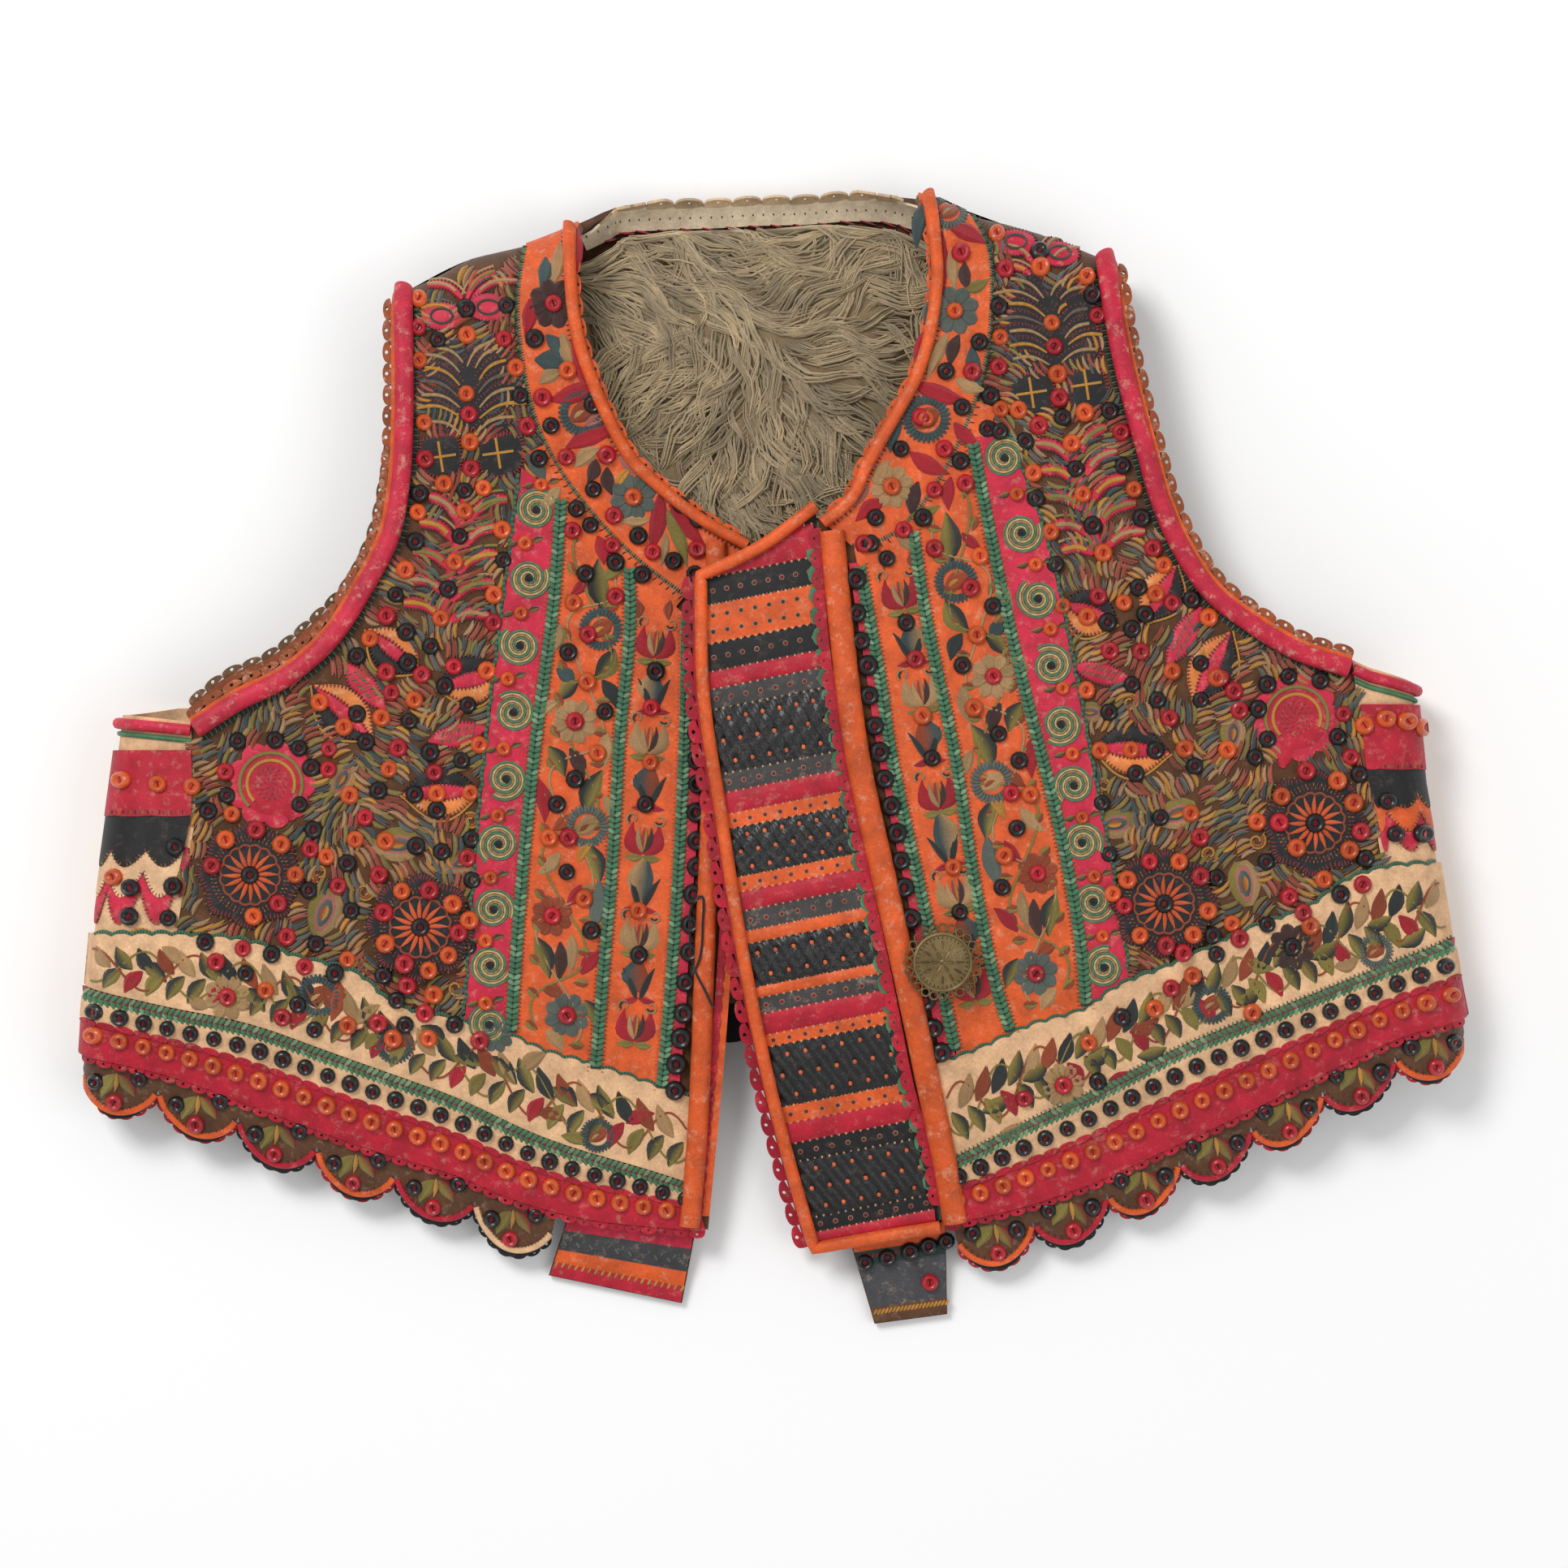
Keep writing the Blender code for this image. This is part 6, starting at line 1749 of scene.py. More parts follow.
def taken_discs(side):
    """Discs of the field that motifs and buttons already cover, in plan millimetres."""
    taken = []
    for spots in FIELD_KNOTS[side].values():
        taken += [(*place, 3.9) for place in from_photo(*spots)]
    lenses = [(*lens[:4], 0.55) for lens in ALMONDS[side]] + [(*lens, 0.6) for lens in CROSSED_LEAVES[side]]
    for middle, length, width, angle, share in lenses:
        for step in (-0.3, 0.0, 0.3):
            place = from_photo(middle)[0] + heading(angle) * length * MM_PER_PIXEL * step
            taken.append((*place, width * MM_PER_PIXEL * share))
    taken += [(*centre, ROSETTE_RADIUS + 1.5) for centre in ROSETTES[side]]
    taken.append((*from_photo(TEARDROPS[side][0])[0], 18.0))
    taken.append((*from_photo(TEARDROPS[side][1])[0], 6.0))
    taken += [(*from_photo(middle)[0], radius * MM_PER_PIXEL) for middle, radius, _ in BUDS[side]]
    taken += [(*place, 4.6) for place in from_photo(*CURLS[side])]
    for root, tip in FERNS[side] + SMALL_FERNS[side]:
        ends = from_photo(root, tip)
        taken += [(*(ends[0] + (ends[1] - ends[0]) * share), 3.6) for share in (0.2, 0.5, 0.8, 1.0)]
    for outline in FEATHER_PLATES[side]:
        rim = from_photo(*outline)
        middle = rim.mean(axis=0)
        taken.append((*middle, float(np.linalg.norm(rim - middle, axis=1).min()) + 1.0))
        taken += [(*place, 5.0) for place in (rim + middle) / 2.0]
    taken += [(*place, 7.0) for place in from_photo(*RING_PLATES[side])]
    return taken


CORES = [TAN, MUSTARD, OLIVE]
FERN_WIDTH = 2.7
SMALL_FERN_WIDTH = 1.9
RING_TINT = colour(70, 60, 56, 0.1)
CURL_TINT = colour(170, 92, 40, 0.1)
TEARDROP_RADIUS = 12.5


def sew_ferns(side, leather, wool, front, base):
    """The pink ferns' fingers and their spine."""
    for fingers, wide in ((FERNS[side], FERN_WIDTH), (SMALL_FERNS[side], SMALL_FERN_WIDTH)):
        for number, (root, tip) in enumerate(fingers):
            ends = from_photo(root, tip)
            finger(leather, wool, front, ends[0], ends[1], CORES[number % 3], base, wide)
        if wide == FERN_WIDTH:
            spine = Path(from_photo(*FERN_SPINE[side])).at(even(16))
            ridge(leather, front, spine, np.full(17, 2.0), 1.0, base, PINK)


def sew_feather(side, leather, wool, front, base):
    """The black feather's plates, the cords over them, their crosses and the two ringed plates above."""
    for outline in FEATHER_PLATES[side]:
        rim = from_photo(*outline)
        plate(leather, front, rim, base - 0.1, base + 0.9, BLACK, 60)
        ticks(wool, front, closed(rim), 1.4, -0.9, 0.7, 0.3, 0.5, base + 0.6, [SILK_RED])
    for root, tip, letter in FEATHER_CORDS[side]:
        ends = from_photo(root, tip)
        run = ends[1] - ends[0]
        beside = np.array([-run[1], run[0]]) * (1.0 if run[0] > 0 else -1.0)
        share = even(10)
        line = ends[0] + run * share[:, None] + beside * (0.14 * np.sin(np.pi * share))[:, None]
        # Every other point of the cord is a darker copy of its tint: painted shade in the grooves of its
        # twist.
        twist_shade = in_turn(11, CORD_TINTS[letter], CORD_TINTS[letter] * (0.8, 0.8, 0.8, 1.0))
        ridge(wool, front, line, 0.75 * np.interp(share, [0, 0.7, 1], [0.55, 1.1, 0.9]), 0.8, base + 0.8,
              twist_shade)
        path = Path(line)
        for turn in (-1.0, 1.0):
            ticks(wool, front, path, 1.5, 1.9 * turn, 2.7 * turn, 0.3, 0.45, base + 0.75, [SILK_RED])
    for spot in from_photo(*FEATHER_CROSSES[side]):
        for way in (np.array([1.0, 0.15]), np.array([-0.15, 1.0])):
            line = spot + way * np.linspace(-6.2, 6.2, 8)[:, None]
            ridge(wool, front, line, 0.6, 0.75, base + 0.8, MUSTARD)
    for spot in from_photo(*RING_PLATES[side]):
        turn = np.linspace(0.0, 2.0 * np.pi, 13)[:-1]
        rim = spot + np.stack([np.cos(turn) * 8.4, np.sin(turn) * 5.6], axis=-1)
        plate(leather, front, rim, base - 0.1, base + 0.9, PINK)
        ticks(wool, front, closed(rim), 1.4, -0.9, 0.6, 0.3, 0.45, base + 0.6, [BLACK])
        turn = np.linspace(0.0, 2.0 * np.pi, 20)
        ring = spot + np.stack([np.cos(turn) * 4.4, np.sin(turn) * 2.9], axis=-1)
        ridge(wool, front, ring, 0.6, 0.8, base + 0.75, RING_TINT)


def sew_lenses(side, leather, wool, front, base):
    """The three-coloured almonds and the pink leaves with crossed stitches."""
    for middle, length, width, angle, order in ALMONDS[side]:
        almond(leather, wool, front, from_photo(middle)[0], length * MM_PER_PIXEL, width * MM_PER_PIXEL,
               angle,
               order, base)
    for middle, length, width, angle in CROSSED_LEAVES[side]:
        place, length, width = from_photo(middle)[0], length * MM_PER_PIXEL, width * MM_PER_PIXEL
        line, bulge = lens_line(place, length, width, angle, 0.0)
        ridge(leather, front, line, 0.52 * width * bulge ** 0.7, 1.0, base, PINK)
        path = Path(line)
        for turn in (-1.0, 1.0):
            ticks(wool, front, path, 1.5, turn * width * 0.05, turn * width * 0.24, 0.35, 0.5, base + 0.85,
                  [GREY, OLIVE], 0.2, 0.8, turn * 1.2)
            rim = Path(lens_line(place, length, width, angle, 0.5 * turn)[0])
            ticks(wool, front, rim, 1.4, -0.8, 0.6, 0.3, 0.45, base + 0.5, [BLACK])


def sew_teardrop(side, leather, wool, front, base):
    """The crimson teardrop with pink lobes round it, its cords and the stitched rings on it."""
    middle, tail = from_photo(*TEARDROPS[side])
    turn = np.linspace(0.0, 2.0 * np.pi, 12)[:-1]
    for angle in np.arange(9) * 2.0 * np.pi / 9:
        spot = middle + np.array([math.cos(angle), math.sin(angle)]) * TEARDROP_RADIUS
        plate(leather, front, spot + rays(turn) * 5.6, base - 0.1, base + 0.6, PINK, 20)
    plate(leather, front, middle + rays(turn) * TEARDROP_RADIUS, base, base + 1.0, CRIMSON)
    ridge(leather, front, np.linspace(middle, tail, 8), np.linspace(9.0, 1.5, 8), 0.9, base, CRIMSON)
    arc = np.linspace(-0.4, 1.25 * np.pi, 26)
    for reach, tint in ((12.6, OLIVE), (9.6, MUSTARD)):
        ridge(wool, front, middle + rays(arc) * reach, 0.75, 0.9, base + 0.8, tint)
    for reach in (2.2, 4.2, 6.2):
        ring = Path(middle + rays(np.linspace(0, 6.28, 18)) * reach)
        ticks(wool, front, ring, 1.1, -0.5, 0.5, 0.25, 0.35, base + 0.9, [DUSTY_PINK, DARK_BROWN], 0.0, 1.0,
              0.6)


def sew_field(side):
    """The leather and wool of a brown field: ferns, feather, almonds, buds, curls and rows of leaves."""
    front, base = over_front(side), SKIN_TOP
    leather = gather("field_leather_" + side, LEATHER_LOOK)
    wool = gather("field_wool_" + side, WOOL_LOOK)
    for sew in (sew_ferns, sew_feather, sew_lenses, sew_teardrop):
        sew(side, leather, wool, front, base)
    for spot, radius, angle in BUDS[side]:
        bud(wool, front, from_photo(spot)[0], radius * MM_PER_PIXEL, angle, base)
    for number, spot in enumerate(from_photo(*CURLS[side])):
        spiral(wool, front, spot, 3.8, [MUSTARD, CURL_TINT], base, 0.55, number * 1.3)
    fill_field(side, front, wool, base)


FILL_GAP = 5.3


def fill_field(side, front, wool, base):
    """Rows of small satin arcs over what is left of the field, in nested threes that follow one flow."""
    spots = spread(field_outline(side), FILL_GAP, taken_discs(side), 16000)
    spots = spots[line_distance(spots[:, 0], spots[:, 1], SHOULDER_FOLD[side])[0] > 8.0]
    out = OUTWARDS[side]
    flow = 0.9 * np.sin(spots[:, 0] / 17.0 + 1.3) + 0.8 * np.cos(spots[:, 1] / 13.0) + np.where(
        np.sin(spots[:, 0] / 9.0) > 0, 0.6, 2.4)
    ahead = np.stack([np.cos(flow) * out, np.abs(np.sin(flow)) * 0.8 + 0.25], axis=-1)
    ahead = unit(ahead)
    beside = leftwards(ahead)
    bend = np.where(dice.random(len(spots)) < 0.5, -1.0, 1.0)
    tints = np.array(FIELD_TINTS)
    first = dice.integers(len(tints), size=len(spots))
    for number, offset in enumerate((-2.5, -1.25, 0.0, 1.25, 2.5)):
        length = dice.uniform(7.6, 10.4, len(spots)) * (1.0 - 0.07 * abs(number - 2))
        thin = number % 2
        root = spots - ahead * length[:, None] / 2.0 + beside * offset
        scatter(wool, ARC, front, root, ahead, length, (0.34 if thin else 1.08) * bend, 0.8 if thin else 1.25,
                base,
                DUSTY_PINK if thin else tints[(first + number) % len(tints)])


TONES = {"c": colour(168, 26, 40, 0.1), "t": TAN, "s": SLATE, "o": OLIVE, "b": colour(40, 46, 44, 0.05),
         "d": DARK_BROWN,
         "r": RUST, "m": MUSTARD, "g": GREY, "p": DUSTY_PINK, "u": BLUE}
# Satin leaves: root, tip, width in pixels (negative bends the other way), tones of the two halves
YOKE_LEAVES = {
    RIGHT: [((711, 276), (700, 349), 15, "cc"), ((693, 303), (684, 347), 12, "tt"),
            ((675, 322), (669, 352), 11, "ss"), ((675, 416), (691, 439), 11, "ss"),
            ((695, 414), (706, 450), -12, "tt"), ((711, 402), (728, 478), -15, "cc"),
            ((661, 446), (695, 455), 17, "ss"), ((666, 475), (692, 462), 12, "tt"),
            ((679, 496), (732, 474), -15, "cc"), ((698, 553), (753, 533), 15, "cc"),
            ((708, 576), (736, 556), 13, "tt"), ((735, 566), (726, 590), 11, "dd"),
            ((748, 576), (753, 604), -11, "dd"), ((814, 606), (803, 668), 14, "cc"),
            ((825, 614), (862, 664), -14, "cc"), ((820, 626), (842, 686), 12, "oo"),
            ((762, 560), (786, 584), 13, "pp"), ((800, 640), (770, 640), 10, "tt"),
            ((650, 560), (668, 590), 12, "gg"), ((690, 600), (668, 622), 12, "tt"),
            ((736, 660), (742, 690), 12, "cc"), ((770, 690), (742, 712), 11, "oo"),
            ((720, 528), (752, 512), 10, "pp"), ((655, 372), (650, 410), 12, "cc"),
            ((760, 600), (775, 580), 8, "mm"), ((820, 655), (815, 690), 8, "tt")],
    LEFT: [((1158, 290), (1160, 356), 15, "cc"), ((1166, 284), (1205, 302), -14, "cc"),
           ((1173, 308), (1175, 352), 11, "tt"), ((1187, 327), (1191, 356), 10, "dd"),
           ((1150, 402), (1132, 454), 14, "cc"), ((1167, 414), (1146, 461), 12, "tt"),
           ((1180, 416), (1171, 448), 11, "dd"), ((1124, 475), (1180, 494), 15, "cc"),
           ((1196, 430), (1204, 470), 12, "ss"), ((1176, 470), (1206, 482), 12, "tt"),
           ((1108, 512), (1098, 552), 12, "ss"), ((1174, 524), (1200, 548), 12, "cc"),
           ((1120, 560), (1160, 582), 14, "cc"), ((1094, 570), (1082, 600), 12, "tt"),
           ((1130, 596), (1124, 632), 12, "dd"), ((1090, 618), (1060, 640), 13, "cc"),
           ((1118, 640), (1150, 628), 11, "oo"), ((1070, 600), (1056, 622), 10, "pp"),
           ((1170, 590), (1168, 624), 11, "cc"), ((1140, 250), (1130, 300), 12, "ss"),
           ((1104, 660), (1128, 676), 10, "tt"), ((1186, 362), (1212, 350), 10, "oo"),
           ((1150, 372), (1140, 398), 9, "gg")],
}
# Leaves and flowers of the right front's strips, laid again on the left front as a mirror
STRIP_LEAVES = [((744, 752), (738, 700), 17, "ob"), ((757, 800), (736, 832), 17, "bo"),
                ((686, 824), (704, 842), 12, "ss"), ((690, 862), (710, 842), 13, "bo"),
                ((742, 838), (756, 866), 12, "bb"), ((676, 920), (692, 950), 14, "ob"),
                ((702, 922), (716, 954), 12, "dd"), ((720, 1000), (738, 958), 17, "ob"),
                ((724, 1040), (736, 1080), 15, "ob"), ((738, 1084), (730, 1138), 14, "gg"),
                ((660, 1154), (674, 1196), 15, "ob"), ((690, 1160), (688, 1200), 11, "dd"),
                ((704, 1150), (702, 1190), 10, "tt"), ((716, 1200), (738, 1176), 12, "cc"),
                ((668, 1216), (690, 1226), 11, "rr"), ((690, 1050), (668, 1072), 12, "tt"),
                ((712, 1062), (728, 1040), 9, "mm"), ((664, 960), (670, 1004), 12, "cc"),
                ((690, 770), (678, 800), 13, "tt"), ((722, 714), (706, 730), 9, "cc"),
                ((716, 1090), (700, 1112), 10, "cc"), ((720, 1232), (736, 1262), 12, "ob"),
                ((672, 1268), (690, 1290), 12, "tt"), ((746, 900), (742, 940), 12, "tt"),
                ((664, 880), (684, 868), 10, "tt"), ((700, 1004), (684, 1020), 10, "rr"),
                ((744, 980), (752, 1004), 9, "tt"), ((786, 740), (786, 758), 8, "rr"),
                ((826, 740), (824, 760), -8, "rr")]
STRIP_FLOWERS = [((708, 889), 27, TAN), ((698, 1250), 27, GREY), ((680, 1128), 25, RUST)]
STRIP_EYES = [((740, 775), 27, SLATE, RUST, MUSTARD), ((723, 1018), 27, GREY, TAN, RUST)]
YOKE_FLOWERS = {RIGHT: [((684, 378), 30, DARK_BROWN), ((780, 612), 28, GREY)],
                LEFT: [((1175, 386), 29, GREY), ((1098, 602), 26, TAN)]}
YOKE_EYES = {RIGHT: [((718, 510), 29, SLATE, RUST, TAN)],
             LEFT: [((1167, 265), 24, GREY, RUST, TAN), ((1140, 519), 30, SLATE, RUST, TAN)]}
TULIPS = [((808, 790), 1), ((800, 908), 0), ((794, 1032), 1), ((788, 1150), 0), ((783, 1262), 1)]
LONG_LEAVES = [((805, 866), (806, 834), "st"), ((799, 985), (802, 948), "rs"),
               ((790, 1110), (796, 1064), "st"), ((786, 1222), (787, 1186), "rs")]


LEAF_GROWTH = 1.22
SPIRAL_CORDS = [colour(84, 140, 104, 0.1), colour(216, 190, 124, 0.1), TAN]


def leaf(wool, surface_of, root, tip, width, tones, base):
    """One satin leaf from its root to its tip, in two tones."""
    run = (np.asarray(tip) - root) * LEAF_GROWTH
    scatter(wool, LEAF, surface_of, [root], run, np.linalg.norm(run), width * 0.5 * LEAF_GROWTH, 1.0, base,
            [[TONES[tones[0]], TONES[tones[1]]]])


def tulip(wool, surface_of, centre, up, petal, base, size=7.8):
    """A tulip of two satin petals round a bright core, with leaves under it and curls above."""
    side_way = np.array([-up[1], up[0]])
    root = centre - up * size * 0.9
    for turn in (-1.0, 1.0):
        scatter(wool, COMMA, surface_of, [root + side_way * turn * 0.8], up + side_way * turn * 0.34,
                size * 1.75,
                3.4 * turn, 1.1, base, petal)
        scatter(wool, COMMA, surface_of, [root + side_way * turn * 0.3 + up], up + side_way * turn * 0.2,
                size * 1.35,
                1.6 * turn, 1.2, base + 0.15, DARK_BROWN if turn < 0 else TAN)
        scatter(wool, LEAF, surface_of, [root - up * 0.8], side_way * turn - up * 0.05, size * 0.95,
                1.8 * turn, 0.9, base,
                OLIVE)
        curl = centre + side_way * turn * size * 0.72 + up * size * 0.95
        spiral(wool, surface_of, curl, 2.6, [TAN, DARK_BROWN], base, 0.42, 0.6, turn)
    scatter(wool, PETAL, surface_of, [root + up * 1.6], up, size * 1.2, 1.25, 1.2, base + 0.2,
            [[MUSTARD, TONES["c"]]])


def in_strip(patch, spots):
    """Shares of a strip's patch for plan points."""
    along = np.linspace(0.0, 1.0, 400)
    left, right = patch.at(np.zeros(400), along), patch.at(np.ones(400), along)
    run = right - left
    found = []
    for spot in np.asarray(spots, float).reshape(-1, 2):
        share = ((spot - left) * run).sum(axis=1) / (run * run).sum(axis=1)
        gap = np.linalg.norm(left + run * share[:, None] - spot, axis=1)
        best = int(gap.argmin())
        found.append((share[best], along[best]))
    return np.array(found)


def strip_map(side):
    """A function from the right front's plan points to the same places of a front's strips."""
    if side == RIGHT:
        return lambda spots: np.asarray(spots, float)
    ours, theirs = Patch(strip_patches(RIGHT)[0][0], strip_patches(RIGHT)[0][4]), strip_patches(LEFT)[0]
    outline = Patch(theirs[0], theirs[4])

    def moved(spots):
        """The same shares of this side's strips."""
        shares = in_strip(ours, spots)
        return outline.at(shares[:, 0], shares[:, 1])

    return moved


def sew_strips(side):
    """Tulips, vine, spirals and the corded edge of the strips, and the yoke's leaves and flowers."""
    front, moved = over_front(side), strip_map(side)
    wool = gather("strip_motifs_" + side, WOOL_LOOK)
    flip = -OUTWARDS[side]
    base = HIGH
    for root, tip, width, tones in STRIP_LEAVES:
        ends = moved(from_photo(root, tip))
        leaf(wool, front, ends[0], ends[1], width * 1.3 * MM_PER_PIXEL * flip, tones, base)
    for centre, radius, tint in STRIP_FLOWERS:
        flower(wool, front, moved(from_photo(centre))[0], radius * MM_PER_PIXEL, tint, base)
    for centre, radius, ring, heart, core in STRIP_EYES:
        eye(wool, front, moved(from_photo(centre))[0], radius * MM_PER_PIXEL, base, ring, heart, core)
    for centre, red in TULIPS:
        middle = moved(from_photo(centre))[0]
        above = moved(from_photo((centre[0] + 1, centre[1] - 10)))[0]
        tulip(wool, front, middle, unit(above - middle), TONES["c"] if red else TAN, base)
    for root, tip, tones in LONG_LEAVES:
        ends = moved(from_photo(root, tip))
        leaf(wool, front, ends[0], ends[1], 9.0 * flip, tones, base)
        up = unit(ends[1] - ends[0])
        beside = np.array([-up[1], up[0]])
        for turn in (-1.0, 1.0):
            scatter(wool, BLADE, front, [ends[0] - up * 3.0 + beside * turn * 0.8], up + beside * turn * 0.45,
                    14.0, -1.6 * turn, 1.1, base, TONES["b"])
            scatter(wool, LEAF, front, [ends[0] - up * 2.5], beside * turn - up * 0.2, 7.0, 1.4 * turn, 0.9,
                    base,
                    TONES["c"])
    middle = Patch(strip_patches(RIGHT)[0][2], strip_patches(RIGHT)[0][3])
    shares = np.linspace(0.04, 0.96, 90)
    for phase, tint in ((0.0, OLIVE), (np.pi, TAN)):
        sway = 0.5 + 0.3 * np.sin(shares * 22.0 + phase)
        ridge(wool, front, moved(middle.at(sway, shares)), 0.55, 0.75, base - 0.05, tint)
    spots = moved(middle.at(np.tile([0.16, 0.84], 16), np.repeat((np.arange(16) + 0.7) / 16.4, 2)))
    toward = unit(moved(middle.at(np.tile([0.4, 0.6], 16), np.repeat((np.arange(16) + 1.3) / 16.8, 2)))
                  - spots)
    for form, tint, sign in ((COMMA, RUST, 1.0), (COMMA, OLIVE, -1.0)):
        scatter(wool, form, front, spots, toward, 6.2, 1.1 * sign, 0.85, base - 0.05, tint)
    for number, centre in enumerate(from_photo(*SPIRALS[side])):
        spiral(wool, front, centre, 8.8, SPIRAL_CORDS, base, 0.5, number * 0.9, 1.0 if number % 2 else -1.0)
        scatter(wool, DOT, front, [centre], (1.0, 0.0), 1.9, 1.9, 1.3, base, BLACK)
    for centre in from_photo(*SMALL_KNOTS[side]):
        for turn in (-1.0, 1.0):
            scatter(wool, LEAF, front, [centre + (turn * 3.0, 0.5)], (turn, 0.35 * turn), 5.0, 1.2, 0.9, base,
                    [[OLIVE, DARK_BROWN]])
    edge = Path(SPIRAL_EDGE[side])
    shares = np.linspace(0.01, 0.99, 200)
    swing = 1.1 * np.abs(np.sin(shares * np.pi * edge.length / 8.6)) - 0.3
    green = in_turn(200, GREEN, BRAID_DARK)
    ridge(wool, front, edge.beside(shares, swing * OUTWARDS[side]), 0.75, 1.2, HIGH - 0.6, green)
    for root, tip, width, tones in YOKE_LEAVES[side]:
        ends = from_photo(root, tip)
        leaf(wool, front, ends[0], ends[1], width * 1.3 * MM_PER_PIXEL * flip, tones, base)
    for centre, radius, tint in YOKE_FLOWERS[side]:
        flower(wool, front, from_photo(centre)[0], radius * MM_PER_PIXEL, tint, base)
    for centre, radius, ring, heart, core in YOKE_EYES[side]:
        eye(wool, front, from_photo(centre)[0], radius * MM_PER_PIXEL, base, ring, heart, core)


STAR_REACH = 11.5


def sew_rosettes(side):
    """Lobed black leather discs with red stitches, and a star of orange cords wound over their middles."""
    front = over_front(side)
    for index, centre in enumerate(ROSETTES[side]):
        name = "rosette_%s_%d" % (side, index + 1)
        base = OVER_STRIPS if abs(centre[0]) < 180.0 else LOW
        leather = gather(name + "_leather", LEATHER_LOOK, [name])
        wool = gather(name + "_wool", WOOL_LOOK)
        turn = np.linspace(0.0, 2.0 * np.pi, 129)[:-1]
        reach = ROSETTE_RADIUS * (0.96 + 0.06 * np.cos(8.0 * turn + 0.4))
        rim = np.array(centre) + rays(turn) * reach[:, None]
        plate(leather, front, rim, base, base + 1.3, BLACK, 128)
        edge = Path(np.vstack([rim, rim[:1]])[::4])
        ticks(wool, front, edge, 1.5, 0.3, 2.6, 0.32, 0.4, base + 0.95, [ROSETTE_RED])
        ticks(wool, front, edge, 2.1, -0.8, 0.6, 0.32, 0.4, base + 0.4, [MUSTARD, RUST])
        ray = rays(np.arange(16) * 2.0 * np.pi / 16.0)
        scatter(wool, BLADE, front, np.array(centre) + ray * 2.2, ray, 9.6, 1.0, 1.5, base + 1.1,
                ORANGE * (1, 1, 1, 0.1))
        for number in range(16):
            start = centre + ray[number] * STAR_REACH
            end = centre + ray[(number + 1) % 16] * STAR_REACH
            share = even(5)[:, None]
            arc = start + (end - start) * share
            arc = arc + unit(arc - centre) * np.sin(np.pi * share)
            ridge(wool, front, arc, 0.5, 0.8, base + 1.2, RUST)
        for reach in (14.2, 15.6):
            ring = Path(np.array(centre) + rays(np.linspace(0.0, 2.0 * np.pi, 34)) * reach)
            ticks(wool, front, ring, 1.6, -0.55, 0.55, 0.28, 0.4, base + 1.2, [ROSETTE_RED, MUSTARD])
        knots(gather(name + "_heart", KNOT_LOOK), front, [centre], "k", base + 1.4, 3.9)


def sew_facings():
    """The pinked cream facing at the back neck, and the right front's trim and orange facing."""
    neck = Path(BACK_FACING)
    facing = gather("neck_facing", CREAM_LOOK, ["back_neck_facing"])
    low, high = BEHIND + 0.3, BEHIND + LEATHER + 0.2
    band = Ribbon(neck, -10.0, 0.0)
    slab(facing, lambda u, v, lift: over_back(band.at(u, v), lift), even(8), even(70), low, high,
         colour(236, 216, 184, 0.12))
    teeth(facing, over_back, neck, neck.length / 13.0, -0.1, 3.6, low, high, colour(214, 184, 146, 0.7), 0.75,
          0.05, 0.95)
    wool = gather("neck_facing_stitches", WOOL_LOOK)
    ticks(wool, over_back, neck, 4.2, -4.0, -4.9, 0.5, 0.5, high - 0.1, [colour(40, 40, 40)])
    ticks(wool, over_back, neck, 9.0, -9.6, -11.8, 0.7, 0.9, high - 0.1, [colour(160, 24, 36)], 0.02, 0.98,
          6.0)
    ticks(wool, over_back, neck, 2.4, -9.6, -10.8, 0.35, 0.5, high - 0.6, [colour(60, 48, 40)])
    front = over_front(RIGHT)
    edge = Path(CENTRE_EDGE[RIGHT])
    trim = gather("front_facing", LEATHER_LOOK, ["front_facing_right"])
    slab(trim, on_front(Ribbon(edge, 0.0, 3.4), RIGHT), even(3), 0.02 + 0.9 * even(80), LOW, LOW + 0.8,
         ORANGE)
    teeth(trim, front, edge, 6.4, 5.2, -2.6, LOW + 0.7, LOW + 1.4, CRIMSON, 0.6, 0.02, 0.93)
    slab(trim, on_front(Ribbon(edge, 3.2, 5.8), RIGHT), even(2), 0.02 + 0.9 * even(60), LOW + 0.7, LOW + 1.4,
         CRIMSON)


# Bands of the plastron: upper and lower edge in pixels at its middle, and its kind
BANDS = [(660, 701, "red"), (701, 735, "black"), (735, 782, "orange2"), (782, 816, "black"),
         (816, 837, "red"), (837, 862, "grey"), (862, 940, "quilt"), (940, 963, "grey"), (963, 989, "red"),
         (989, 1007, "orange"), (1007, 1066, "quilt"), (1066, 1084, "orange"), (1084, 1107, "red"),
         (1107, 1132, "grey"), (1132, 1147, "plain"), (1147, 1200, "quilt2"), (1200, 1213, "plain"),
         (1213, 1233, "grey"), (1233, 1259, "red"), (1259, 1274, "orange"), (1274, 1349, "quilt"),
         (1349, 1370, "orange"), (1370, 1395, "red"), (1395, 1418, "black"), (1418, 1489, "quilt"),
         (1489, 1508, "black"), (1508, 1527, "red"), (1527, 1548, "roll")]
BAND_SLOPE = 0.2
QUILT_DOT = colour(214, 104, 62, 0.1)
QUILT_COLUMNS = 7
BAND_TINTS = {"red": CRIMSON, "black": BLACK, "grey": colour(66, 62, 62, 0.3), "orange": ORANGE,
              "orange2": ORANGE,
              "plain": ORANGE, "roll": ORANGE, "quilt": BLACK, "quilt2": BLACK}
HOLE_TINTS = {"black": colour(96, 22, 30), "grey": colour(110, 24, 34), "orange": colour(110, 20, 26),
              "orange2": colour(52, 44, 38)}
BAND_PUFF = {"red": 0.9, "roll": 3.4, "plain": 0.7}


